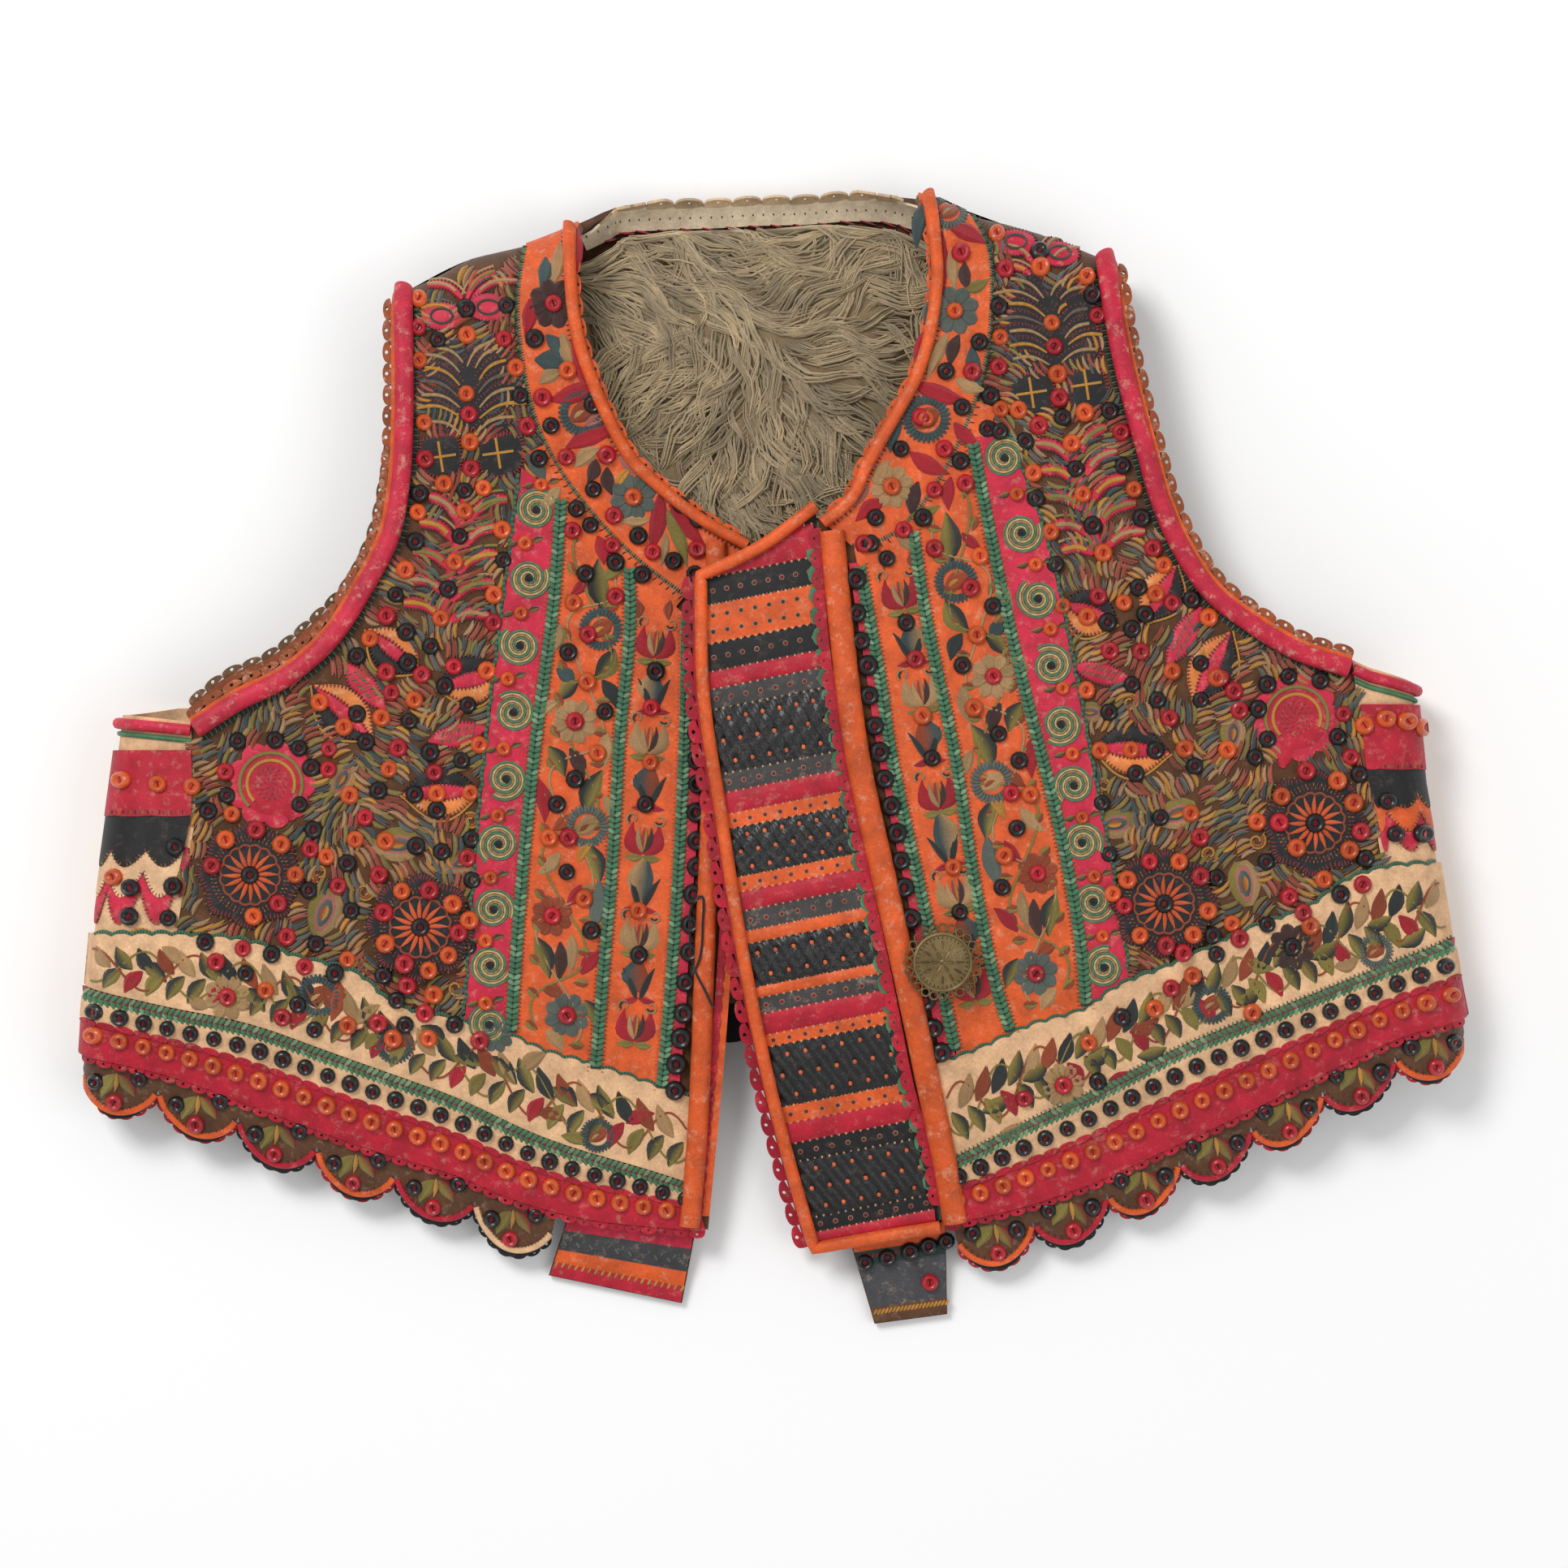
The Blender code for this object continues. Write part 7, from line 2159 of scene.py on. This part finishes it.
def plastron_place():
    """The place function of the plastron's bands, by share across and height of the plan at its middle."""
    free = Path(PLASTRON_FREE)
    sewn = Path([(x - 1.0, y) for x, y in PLASTRON_SEWN])
    left_rows, right_rows = free.points, sewn.points
    top, bottom = Path(PLASTRON_TOP).points, Path(PLASTRON_BOTTOM).points

    def plan(u, middle):
        """Plan points for shares across and heights at the panel's middle, where the bands slope."""
        half = 26.0
        left = np.interp(middle - BAND_SLOPE * half, left_rows[:, 1], left_rows[:, 0])
        right = np.interp(middle + BAND_SLOPE * half, right_rows[:, 1], right_rows[:, 0])
        x = left + 2.0 + (right - left - 3.0) * u
        y = middle + BAND_SLOPE * (x - (left + right) / 2.0)
        y = np.minimum(y, np.interp(x, top[:, 0], top[:, 1]) - 1.0)
        y = np.maximum(y, np.interp(x, bottom[:, 0], bottom[:, 1]) + 1.0)
        return np.stack([x, y], axis=-1)

    return plan


def sew_plastron():
    """The plastron's leather bands, quilted pads, punched holes and pinked seams, and its trims."""
    plan, front = plastron_place(), over_front(LEFT)
    leather = gather("plastron_bands", LEATHER_LOOK)
    dots = gather("plastron_dots", LEATHER_LOOK)
    quilts = gather("plastron_quilts",
                    surface("quilted_leather", 0.27, grain=420.0, depth=0.9, coat=0.25, patchy=0.5))
    for number, (high, low, kind) in enumerate(BANDS):
        top, bottom = from_photo((0, high))[0][1], from_photo((0, low))[0][1]
        batch = quilts if kind.startswith("quilt") else leather
        rows = (2 if kind == "quilt2" else 3) if kind.startswith("quilt") else 0
        columns = QUILT_COLUMNS
        puff = BAND_PUFF.get(kind, 0.15)

        def upper(u, v, rows=rows, puff=puff):
            """Upper lift of the band: a soft swell, or a quilt drawn in at its dots."""
            rise = 0.85 + puff * np.sqrt(np.maximum(1.0 - (2.0 * v - 1.0) ** 2, 0.0))
            if rows:
                across, along = u * columns, v * rows
                pull = (np.maximum(np.cos(2 * np.pi * (across - 0.5 * np.floor(along))), 0.0)
                        * np.sin(np.pi * (along % 1.0)))
                fold = (0.5 * np.sin(2 * np.pi * (across * 2.0 + along * 1.0))
                        + 0.42 * np.sin(np.pi * 2 * (across - along)))
                rise = 1.6 + 0.6 * fold - 1.2 * pull ** 4
                rise = rise * np.minimum(1.0, 0.55 + 3.0 * np.minimum(v, 1.0 - v))
            return rise

        wide, deep = (72, 20) if rows else (20, 6)
        slab(batch, lambda u, v, lift, a=bottom, b=top: front_point(plan(u, a + (b - a) * v), lift, LEFT),
             even(wide), even(deep), 0.05 + 0.03 * (number % 2), upper, BAND_TINTS[kind])
        if rows:
            for row in range(rows):
                u = (np.arange(columns + 1) + 0.5 * (row % 2)) / columns
                u = u[(u > 0.02) & (u < 0.98)]
                v = bottom + (top - bottom) * (row + 0.5) / rows
                scatter(dots, DOT, front, plan(u, np.full(len(u), v)), (1.0, 0.0), 1.0, 1.0, 0.7, 0.75,
                        QUILT_DOT)
        elif kind in HOLE_TINTS:
            for share in ((0.3, 0.72) if kind == "orange2" else (0.5,)):
                u = (np.arange(8) + 0.5) / 8.0
                v = bottom + (top - bottom) * share
                spots = plan(u, np.full(8, v))
                scatter(dots, DOT, front, spots, (1.0, 0.0), 1.15, 1.15, 0.25, 0.9,
                        CREAM * (0.42, 0.4, 0.4, 0.2))
                scatter(dots, DOT, front, spots, (1.0, 0.0), 0.85, 0.85, 0.35, 0.95, HOLE_TINTS[kind])
        line = Path(plan(even(12), np.full(13, top)))
        ticks(dots, front, line, 1.5, -0.5, 0.5, 0.45, 0.3, 0.85,
              [BAND_TINTS[kind], CREAM * (0.8, 0.8, 0.8, 0.1)])
    free, sewn = Path(PLASTRON_FREE), Path([(x - 0.6, y) for x, y in PLASTRON_SEWN])
    under = -BEHIND
    trim = gather("plastron_scallop_trim", LEATHER_LOOK, ["plastron_scallops"])
    slab(trim, on_front(Ribbon(free, 1.0, 3.6), LEFT), even(2), even(80), under - LEATHER, under, CRIMSON)
    teeth(trim, front, free, 9.4, 3.4, 4.6, under - LEATHER, under, CRIMSON, 0.8)
    edge = gather("plastron_inner_trim", LEATHER_LOOK, ["plastron_side_trim"])
    slab(edge, on_front(Ribbon(sewn, -1.5, 1.2), LEFT), even(2), 0.03 + 0.94 * even(90), 1.5, 2.2, CRIMSON)
    teeth(edge, front, sewn, 8.2, -1.2, 4.8, 1.7, 2.4, CRIMSON, 0.6, 0.03, 0.97)
    teeth(edge, front, sewn, 8.2, -1.0, 6.0, 1.0, 1.6, GREEN, 0.4, 0.05, 0.95)


def sew_gusset(side):
    """Buttons, stitches and the eye flower of a side piece's lappets."""
    front = over_front(side)
    wool = gather("gusset_wool_" + side, WOOL_LOOK)
    spots = {
        RIGHT: [("o", (158, 961), 2.2), ("o", (200, 966), 2.2), ("o", (242, 969), 2.2),
                ("k", (221, 1043), 1.7), ("o", (147, 1080), 1.3), ("k", (167, 1093), 1.35),
                ("k", (218, 1091), 1.35),
                ("k", (165, 1128), 0.9), ("k", (212, 1130), 0.9)],
        LEFT: [("o", (1676, 894), 2.2), ("o", (1701, 886), 2.2), ("o", (1725, 889), 2.2),
               ("o", (1747, 896), 2.2),
               ("k", (1704, 987), 1.7), ("k", (1714, 1027), 1.35), ("k", (1747, 1027), 1.35)],
    }[side]
    for kind, spot, base in spots:
        knots(gather("gusset_knot_%s_%d_%d" % (side, spot[0], spot[1]), KNOT_LOOK), front, from_photo(spot),
              kind, base)
    if side == RIGHT:
        eye(wool, front, from_photo((178, 1165))[0], 7.6, 0.2, MUSTARD, RUST, OLIVE)
    skin, across = gusset_place(side)
    roll = gather("gusset_roll_" + side, LEATHER_LOOK, (), ROUND_ANGLE)
    keep = across[across < 0.62]
    rows = [skin(keep, np.full(len(keep), v), np.full(len(keep), lift)) for v,
            lift in ((0.975, 1.6), (0.945, 0.6))]
    swept(roll, rows[0], 2.3, PINK, 10)
    swept(roll, rows[1], 1.0, GREEN, 6)
    place = lappet_point(side)
    for v, upper in ((0.335, 2.3), (0.65, 1.8), (0.83, 1.4), (0.99, 1.0)):
        u = np.linspace(0.02, 0.9, 90)
        line = place(u, np.full(90, v), np.full(90, 0.0))[:, :2]
        inside_fold = np.abs(np.gradient(line[:, 0])) > 0.2
        ticks(wool, front, Path(line[inside_fold]), 1.5, -0.8, 0.8, 0.3, 0.4, upper - 0.1,
              [RUST, DARK_BROWN, OLIVE])


def sew_flap(side):
    """Leather stripes and buttons of a hem flap."""
    place = flap_point(side)
    leather = gather("flap_bands_" + side, LEATHER_LOOK)
    wool = gather("flap_stitches_" + side, WOOL_LOOK)
    rows = {
        RIGHT: [(0.02, 0.2, CRIMSON), (0.2, 0.34, PINK), (0.34, 0.62, colour(66, 66, 68, 0.3)),
                (0.62, 0.8, ORANGE),
                (0.8, 0.99, CRIMSON)],
        LEFT: [(0.02, 0.2, ORANGE), (0.2, 0.36, BRAID_DARK), (0.36, 0.82, colour(72, 72, 76, 0.35)),
               (0.82, 0.99, SUEDE)],
    }[side]
    for number, (start, end, tint) in enumerate(rows):
        slab(leather, place, 0.01 + 0.98 * even(30), np.linspace(start, end, 7),
             FLAP_THICKNESS + 0.03 * (number % 2),
             lambda u, v, a=start, b=end: FLAP_THICKNESS + 0.7 + 0.4 * np.sin(np.pi * (v - a) / (b - a)),
             tint)
    for v, tint, kind in {RIGHT: [(0.11, GREEN, "dots"), (0.48, GREY, "zigzag"), (0.86, MUSTARD, "dots")],
                          LEFT: [(0.28, colour(176, 30, 44), "dots"), (0.9, MUSTARD, "dots")]}[side]:
        u = (np.arange(20) + 0.5) / 20.0
        ends = np.stack([u, np.full(20, v)], axis=-1)
        points = place(ends[:, 0], ends[:, 1], np.full(20, FLAP_THICKNESS + 1.0))
        plan = points[:, :2]
        heights = points[:, 2]
        for number in range(20):
            scatter(wool, STITCH, lambda p, lift, h=heights[number]: np.column_stack([p, h + lift]),
                    [plan[number]],
                    (0.6, 1.0 if kind == "dots" or number % 2 else -1.0), 2.6, 0.6, 0.6, 0.0, tint)
    spots = {RIGHT: [], LEFT: [("k", (1067, 1562)), ("k", (1095, 1556)), ("k", (1123, 1548)),
                               ("k", (1146, 1541)),
                               ("k", (1168, 1535)), ("r", (1148, 1588))]}[side]
    for kind, spot in spots:
        target = from_photo(spot)[0]
        u, v = np.meshgrid(even(40), even(40))
        grid = place(u.ravel(), v.ravel(), np.full(u.size, FLAP_THICKNESS + 0.9))
        height = grid[np.linalg.norm(grid[:, :2] - target, axis=1).argmin(), 2]
        knots(gather("flap_knot_%s_%d" % (side, spot[0]), KNOT_LOOK),
              lambda p, lift, h=height: np.column_stack([p, h + lift]), [target], kind, 0.0)


BORDER_LEAVES = {
    RIGHT: [((255, 1190), (275, 1205), 13, "ob"), ((305, 1215), (325, 1240), 13, "ob"),
            ((260, 1240), (240, 1225), 11, "tt"), ((356, 1205), (372, 1250), 14, "ob"),
            ((420, 1205), (412, 1248), 14, "rr"), ((440, 1260), (466, 1240), 12, "tt"),
            ((452, 1290), (470, 1275), 11, "oo"), ((520, 1262), (545, 1285), 14, "ob"),
            ((560, 1300), (590, 1310), 13, "ob"), ((600, 1300), (630, 1330), 14, "ob"),
            ((640, 1320), (668, 1300), 13, "tt"), ((680, 1340), (705, 1360), 14, "ob"),
            ((720, 1350), (750, 1370), 14, "ob"), ((205, 1165), (225, 1185), 11, "tt"),
            ((180, 1185), (205, 1205), 12, "ob"), ((660, 1370), (690, 1380), 11, "rr"),
            ((770, 1385), (800, 1375), 12, "cc"), ((690, 1400), (720, 1410), 10, "oo")],
    LEFT: [((1260, 1330), (1285, 1310), 14, "ob"), ((1335, 1310), (1360, 1290), 14, "ob"),
           ((1390, 1270), (1420, 1255), 13, "rr"), ((1400, 1300), (1430, 1290), 12, "ob"),
           ((1450, 1240), (1465, 1215), 12, "tt"), ((1520, 1235), (1545, 1215), 13, "ob"),
           ((1530, 1180), (1560, 1190), 12, "oo"), ((1612, 1180), (1640, 1160), 14, "ob"),
           ((1640, 1190), (1665, 1180), 12, "tt"), ((1680, 1140), (1705, 1130), 12, "ob"),
           ((1720, 1165), (1745, 1145), 12, "ob"), ((1210, 1370), (1240, 1350), 13, "ob"),
           ((1300, 1370), (1330, 1362), 11, "oo"), ((1230, 1400), (1260, 1385), 11, "tt"),
           ((1365, 1330), (1390, 1320), 10, "cc")],
}
BORDER_FLOWERS = {
    RIGHT: [("flower", (284, 1226), 28, TAN), ("eye", (395, 1225), 27, SLATE),
            ("eye", (488, 1285), 24, SLATE), ("flower", (612, 1275), 20, GREY),
            ("eye", (735, 1400), 22, SLATE)],
    LEFT: [("flower", (1588, 1165), 28, DARK_BROWN), ("flower", (1310, 1335), 27, TAN),
           ("eye", (1490, 1235), 25, SLATE), ("eye", (1690, 1170), 22, GREY)],
}
BORDER_KNOTS = {
    RIGHT: {"k": [(416, 1197), (339, 1174), (258, 1159), (307, 1197), (370, 1235), (390, 1266), (491, 1230),
                  (501, 1260), (561, 1260)],
            "r": [(304, 1167), (271, 1183), (379, 1189), (504, 1212), (525, 1246), (351, 1251), (468, 1258),
                  (591, 1280), (284, 1226)],
            "o": [(431, 1261), (529, 1277), (486, 1277), (331, 1218)]},
    LEFT: {"k": [(1490, 1151), (1557, 1138), (1495, 1174), (1647, 1101), (1588, 1165), (1380, 1250),
                 (1352, 1330)],
           "r": [(1523, 1155), (1601, 1123), (1674, 1089), (1584, 1104), (1310, 1335), (1440, 1215),
                 (1262, 1352)],
           "o": [(1466, 1200), (1540, 1245), (1420, 1240), (1340, 1282), (1610, 1140)]},
}


def sew_border(side):
    """The vine of the cream hem border and the green cord scalloped along its top."""
    front = over_front(side)
    wool = gather("border_wool_" + side, WOOL_LOOK)
    flip = -OUTWARDS[side]
    for root, tip, width, tones in BORDER_LEAVES[side]:
        ends = from_photo(root, tip)
        leaf(wool, front, ends[0], ends[1], width * 1.4 * MM_PER_PIXEL * flip, tones, HIGH)
    for kind, centre, radius, tint in BORDER_FLOWERS[side]:
        spot = from_photo(centre)[0]
        if kind == "flower":
            flower(wool, front, spot, radius * MM_PER_PIXEL, tint, HIGH)
        else:
            eye(wool, front, spot, radius * MM_PER_PIXEL, HIGH, tint, RUST, TAN)
    top, braid_path = Path(BORDER_TOP[side]), Path(HEM_BRAID[side])
    shares = np.linspace(0.015, 0.985, 280)
    for phase, tint in ((0.0, OLIVE), (np.pi, RUST)):
        sway = (0.5 + 0.26 * np.sin(shares * 40.0 + phase))[:, None]
        ridge(wool, front, top.at(shares) * (1.0 - sway) + braid_path.at(shares) * sway, 0.5, 0.75,
              HIGH - 0.05, tint)
    for number in range(58):
        share = np.array(0.02 + 0.95 * number / 58.0)
        side_way = 0.24 if number % 2 else 0.78
        root = top.at(share) * 0.5 + braid_path.at(share) * 0.5
        tip = top.at(share + 0.022) * (1.0 - side_way) + braid_path.at(share + 0.022) * side_way
        tones = ["ob", "tt", "ob", "rr", "oo", "bb", "cc", "ob"][number % 8]
        leaf(wool, front, root, tip, 5.4 * flip * (1.0 if number % 2 else -1.0), tones, HIGH - 0.05)
    shares = np.linspace(0.01, 0.985, 440)
    swing = 1.3 * np.abs(np.sin(shares * np.pi * top.length / 8.0)) - 0.4
    green = in_turn(440, GREEN, BRAID_DARK)
    ridge(wool, front, top.beside(shares, swing * OUTWARDS[side]), 0.8, 1.3, HIGH - 0.7, green)


def tie_knots(side, tongues):
    """The ring buttons of a front's field, rosettes, yoke, strips, border, hem and tongues, in one piece."""
    front, moved = over_front(side), strip_map(side)
    batch = gather("ring_buttons_" + side, KNOT_LOOK)
    for kind, spots in FIELD_KNOTS[side].items():
        knots(batch, front, from_photo(*spots), kind, SKIN_TOP)
    for kind, spots in ROSETTE_KNOTS[side]:
        places = from_photo(*spots)
        over_strip = np.abs(places[:, 0]) < 180.0
        knots(batch, front, places, kind, np.where(over_strip, OVER_STRIPS, LOW) + 1.25)
    for kind, spots in YOKE_KNOTS[side].items():
        knots(batch, front, from_photo(*spots), kind, HIGH)
    for kind, spots in STRIP_KNOTS.items():
        knots(batch, front, moved(from_photo(*spots)), kind, HIGH)
    for kind, spots in BORDER_KNOTS[side].items():
        knots(batch, front, from_photo(*spots), kind, HIGH)
    knots(batch, front, from_photo(*BUTTON_COLUMN[side]), "k", HIGH, 4.2)
    knots(batch, front, from_photo(*SMALL_KNOTS[side]), "o", HIGH, 2.9)
    black, orange = hem_knots(side)
    knots(batch, front, black, "k", 2.75, 3.45)
    knots(batch, front, orange, "o", 2.4, 3.6)
    for kind, spots in tongues.items():
        knots(batch, front, np.array(spots).reshape(-1, 2), kind, -0.65, 3.5)


def comb_fleece():
    """Locks of wool in the neck opening: fine closed strands in clumps, flowing across and then down."""
    wool = gather("fleece_locks", FLEECE_LOOK)
    neck = np.vstack([Path(NECK_EDGE[RIGHT]).at(even(20)) - (4.0, 0.0), [(-78, 220), (40, 223), (57, 220)],
                      Path(NECK_EDGE[LEFT]).at(even(20))[::-1] + (4.0, 0.0),
                      [(16, 92), (-31, 74), (-28, 84)]])
    roots = spread(neck, 4.1, [], 12000)
    strands, steps = 8, 6
    centre = neck.mean(axis=0)
    under_fronts = centre + (neck - centre) * 1.1
    share = np.linspace(0.0, 1.0, steps)
    count = len(roots)
    flow = 1.1 * np.sin(roots[:, 0] / 19.0 + 0.6) + 0.8 * np.cos(roots[:, 1] / 15.0 + roots[:, 0] / 33.0)
    heading = np.where(roots[:, 1] > 178, -0.35, -1.3) + flow * 0.75
    length = dice.uniform(24.0, 38.0, count)
    bend = dice.normal(0.0, 0.5, count)
    phase = roots[:, 0] * 0.21 + roots[:, 1] * 0.17
    tone = dice.uniform(0.7, 1.15, count)
    base = SKIN + LAYER_GAP + BACK_FLEECE + NECK_FLEECE - 4.2
    rise = dice.uniform(2.2, 5.4, count)
    for _ in range(strands):
        spot = dice.normal(0.0, 1.9, (count, 2))
        gather_in = (1.0 - 0.5 * share)[None, :, None]
        angle = heading[:, None] + bend[:, None] * share + 0.5 * np.sin(share * 5.0 + phase[:, None])
        step = length[:, None] / (steps - 1)
        walk = np.stack([np.cos(angle) * step, np.sin(angle) * step], axis=-1)
        walk[:, 0] = 0.0
        plan = roots[:, None] + np.cumsum(walk, axis=1) + spot[:, None] * gather_in
        plan = plan + dice.normal(0.0, 0.12, plan.shape)
        up = base + rise[:, None] * np.sin(np.pi * (0.15 + 0.75 * share)) + dice.normal(0.0, 0.5, (count, 1))
        middle = back_point(plan.reshape(-1, 2), up.ravel()).reshape(count, steps, 3)
        keep = inside(plan[:, -1], under_fronts) & (plan[:, :, 1].max(axis=1) < 224.0)
        strand_mesh(wool, middle[keep], 0.5 * np.interp(share, [0, 0.2, 0.8, 1], [0.6, 1.0, 0.75, 0.12]),
                    tone[keep])


def strand_mesh(batch, lines, half, tone):
    """Many three-sided strands along their lines, closed at both ends."""
    count, steps = lines.shape[:2]
    ahead = unit(np.gradient(lines, axis=1))
    beside = unit(np.cross(ahead, np.array([0.0, 0.0, 1.0])))
    above = np.cross(beside, ahead)
    turn = np.array([np.pi / 2.0, np.pi * 7.0 / 6.0, np.pi * 11.0 / 6.0])
    ring = lines[:, :, None] + half[None, :, None, None] * (
        beside[:, :, None] * np.cos(turn)[:, None] + above[:, :, None] * np.sin(turn)[:, None])
    index = np.arange(count * steps * 3).reshape(count, steps, 3)
    after = np.roll(index, -1, axis=2)
    quads = np.stack([index[:, :-1], index[:, 1:], after[:, 1:], after[:, :-1]], axis=-1).reshape(-1, 4)
    tris = np.vstack([index[:, 0], index[:, -1, ::-1]])
    # Each strand is darker at its root and lighter at its tip: painted shade down among the locks and a
    # painted highlight on the tips, over a random tone for each clump and strand.
    root_shade_tip_highlight = np.interp(np.arange(steps), [0, steps - 1], [0.75, 1.1])
    shade = tone[:, None, None] * dice.uniform(0.85, 1.15, (count, 1, 1)) * root_shade_tip_highlight[None, :, None]
    tint = np.ones((count, steps, 3, 4)) * WOOL
    tint[..., :3] *= shade[..., None]
    batch.add(ring.reshape(-1, 3), quads[:, ::-1], tris[:, ::-1], tint.reshape(-1, 4))


COIN_FACE = 8.9
LOOP_COUNT = 24
LOOP_REACH = 13.8


def tie_brooch():
    """The ring of small brass loops, the rosette struck on the coin, and the torn loop of black thread."""
    brass = gather("brooch_loops", BRASS_LOOK)
    seat = front_point(np.array(BROOCH_CENTRE), 0.0, LEFT)
    turn = np.linspace(0.0, 2.0 * np.pi, 15)
    for number in range(LOOP_COUNT):
        angle = number * 2.0 * np.pi / LOOP_COUNT
        ray = np.array([math.cos(angle), math.sin(angle)])
        middle = seat + (ray[0] * LOOP_REACH, ray[1] * LOOP_REACH, 8.3)
        ring = middle + np.stack([np.cos(turn) * 1.6, np.sin(turn) * 1.6, 0.0 * turn], axis=-1)
        swept(brass, ring, 0.42, BRASS, 6)

    def face(plan, lift):
        """Points on the coin's face."""
        return np.column_stack([plan, seat[2] + COIN_FACE + lift])

    for count, reach, length, width in ((12, 5.2, 3.6, 0.55), (6, 1.2, 3.6, 0.75), (36, 9.4, 1.0, 0.22)):
        ray = rays(np.arange(count) * 2.0 * np.pi / count)
        scatter(brass, PETAL, face, np.array(BROOCH_CENTRE) + ray * reach, ray, length, width, 0.35, 0.0,
                BRASS)
    scatter(brass, DOT, face, [BROOCH_CENTRE], (1.0, 0.0), 1.2, 1.2, 0.45, 0.0, BRASS)
    thread = gather("torn_thread", WOOL_LOOK)
    route = Path(from_photo((851, 1205), (862, 1180), (866, 1140), (863, 1104), (856, 1110), (850, 1150),
                            (857, 1195),
                            (870, 1220), (879, 1240)))
    plan = route.at(even(90))
    from_roll = (plan[:, 0] - read_table([(y, x) for x, y in FRONT_ROLL[RIGHT]], plan[:, 1])) / 4.2
    over_roll = 4.4 * np.maximum(1.0 - from_roll ** 2, 0.0) ** 0.4
    line = front_point(plan, OVER_STRIPS + 1.3 + over_roll + 0.5 * np.sin(even(90) * 40.0) ** 2, RIGHT)
    swept(thread, line, 0.5, colour(26, 24, 24), 6)


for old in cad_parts.values():
    for place in old.material_slots:
        place.material = LEATHER_LOOK

dress_back()
for side in SIDES:
    dress_front(side)
    dress_gusset(side)
    dress_lappets(side)
    dress_yoke_and_strips(side)
    dress_rolls(side)
    dress_hem(side)
    dress_flap(side)
    sew_braids(side)
    sew_armhole(side)
    sew_neck(side)
    sew_hem(side)
    sew_border(side)
    sew_rosettes(side)
    sew_field(side)
    sew_strips(side)
    sew_gusset(side)
    sew_flap(side)
    tie_knots(side, sew_tongues(side))
dress_plastron()
sew_plastron()
sew_facings()
comb_fleece()
tie_brooch()
dress_brooch()
for batch, name, material, nodes, angle in PENDING:
    batch.make(name, material, nodes, angle)

# The camera, with its frame set at the middle height of the vest
CAMERA_LENS = 100.0
CAMERA_SENSOR = 36.0
VEST_HEIGHT = 30.0

# The studio
FLOOR_HALF = 6.0
FLOOR_SINK = 0.0004
FLOOR_TONE = 0.95
SKY_STRENGTH = 0.55
KEY_PLACE = (-1.1, 1.3, 2.2)
KEY_SIZE = 0.9
KEY_POWER = 42.0
FILL_PLACE = (1.6, -0.6, 2.0)
FILL_SIZE = 1.6
FILL_POWER = 12.0


def place_camera():
    """A camera straight above, whose frame at the vest's height is the photograph's."""
    data = bpy.data.cameras.new("above")
    data.lens = CAMERA_LENS
    data.sensor_width = CAMERA_SENSOR
    camera = bpy.data.objects.new("above", data)
    middle = from_photo(PHOTO_CENTRE)[0] - PLAN_MIDDLE
    frame_width = PHOTO_SIZE * MM_PER_PIXEL
    camera.location = (middle[0] * MM, middle[1] * MM,
                       (VEST_HEIGHT + frame_width * CAMERA_LENS / CAMERA_SENSOR) * MM)
    bpy.context.scene.collection.objects.link(camera)
    bpy.context.scene.camera = camera


def lamp(name, place, size, power):
    """A soft square light turned to the vest."""
    data = bpy.data.lights.new(name, "AREA")
    data.size = size
    data.energy = power
    thing = bpy.data.objects.new(name, data)
    thing.location = place
    thing.rotation_euler = (math.atan2(math.hypot(place[0], place[1]), place[2]), 0.0,
                            math.atan2(place[0], -place[1]))
    bpy.context.scene.collection.objects.link(thing)


def build_studio():
    """A pale floor, a grey-white sky and soft lights from the upper left."""
    data = bpy.data.meshes.new("floor")
    half = FLOOR_HALF
    data.from_pydata([(-half, -half, 0.0), (half, -half, 0.0), (half, half, 0.0), (-half, half, 0.0)], [],
                     [(0, 1, 2, 3)])
    floor = bpy.data.objects.new("floor", data)
    floor.location.z = -FLOOR_SINK
    paper = bpy.data.materials.new("floor_paper")
    paper.use_nodes = True
    shader = paper.node_tree.nodes["Principled BSDF"]
    shader.inputs["Base Color"].default_value = (FLOOR_TONE, FLOOR_TONE, FLOOR_TONE, 1.0)
    shader.inputs["Roughness"].default_value = 0.9
    data.materials.append(paper)
    bpy.context.scene.collection.objects.link(floor)
    world = bpy.data.worlds.new("sky")
    world.use_nodes = True
    world.node_tree.nodes["Background"].inputs["Color"].default_value = (1.0, 1.0, 1.0, 1.0)
    world.node_tree.nodes["Background"].inputs["Strength"].default_value = SKY_STRENGTH
    bpy.context.scene.world = world
    bpy.context.scene.view_settings.view_transform = "Standard"
    lamp("key", KEY_PLACE, KEY_SIZE, KEY_POWER)
    lamp("fill", FILL_PLACE, FILL_SIZE, FILL_POWER)


place_camera()
build_studio()
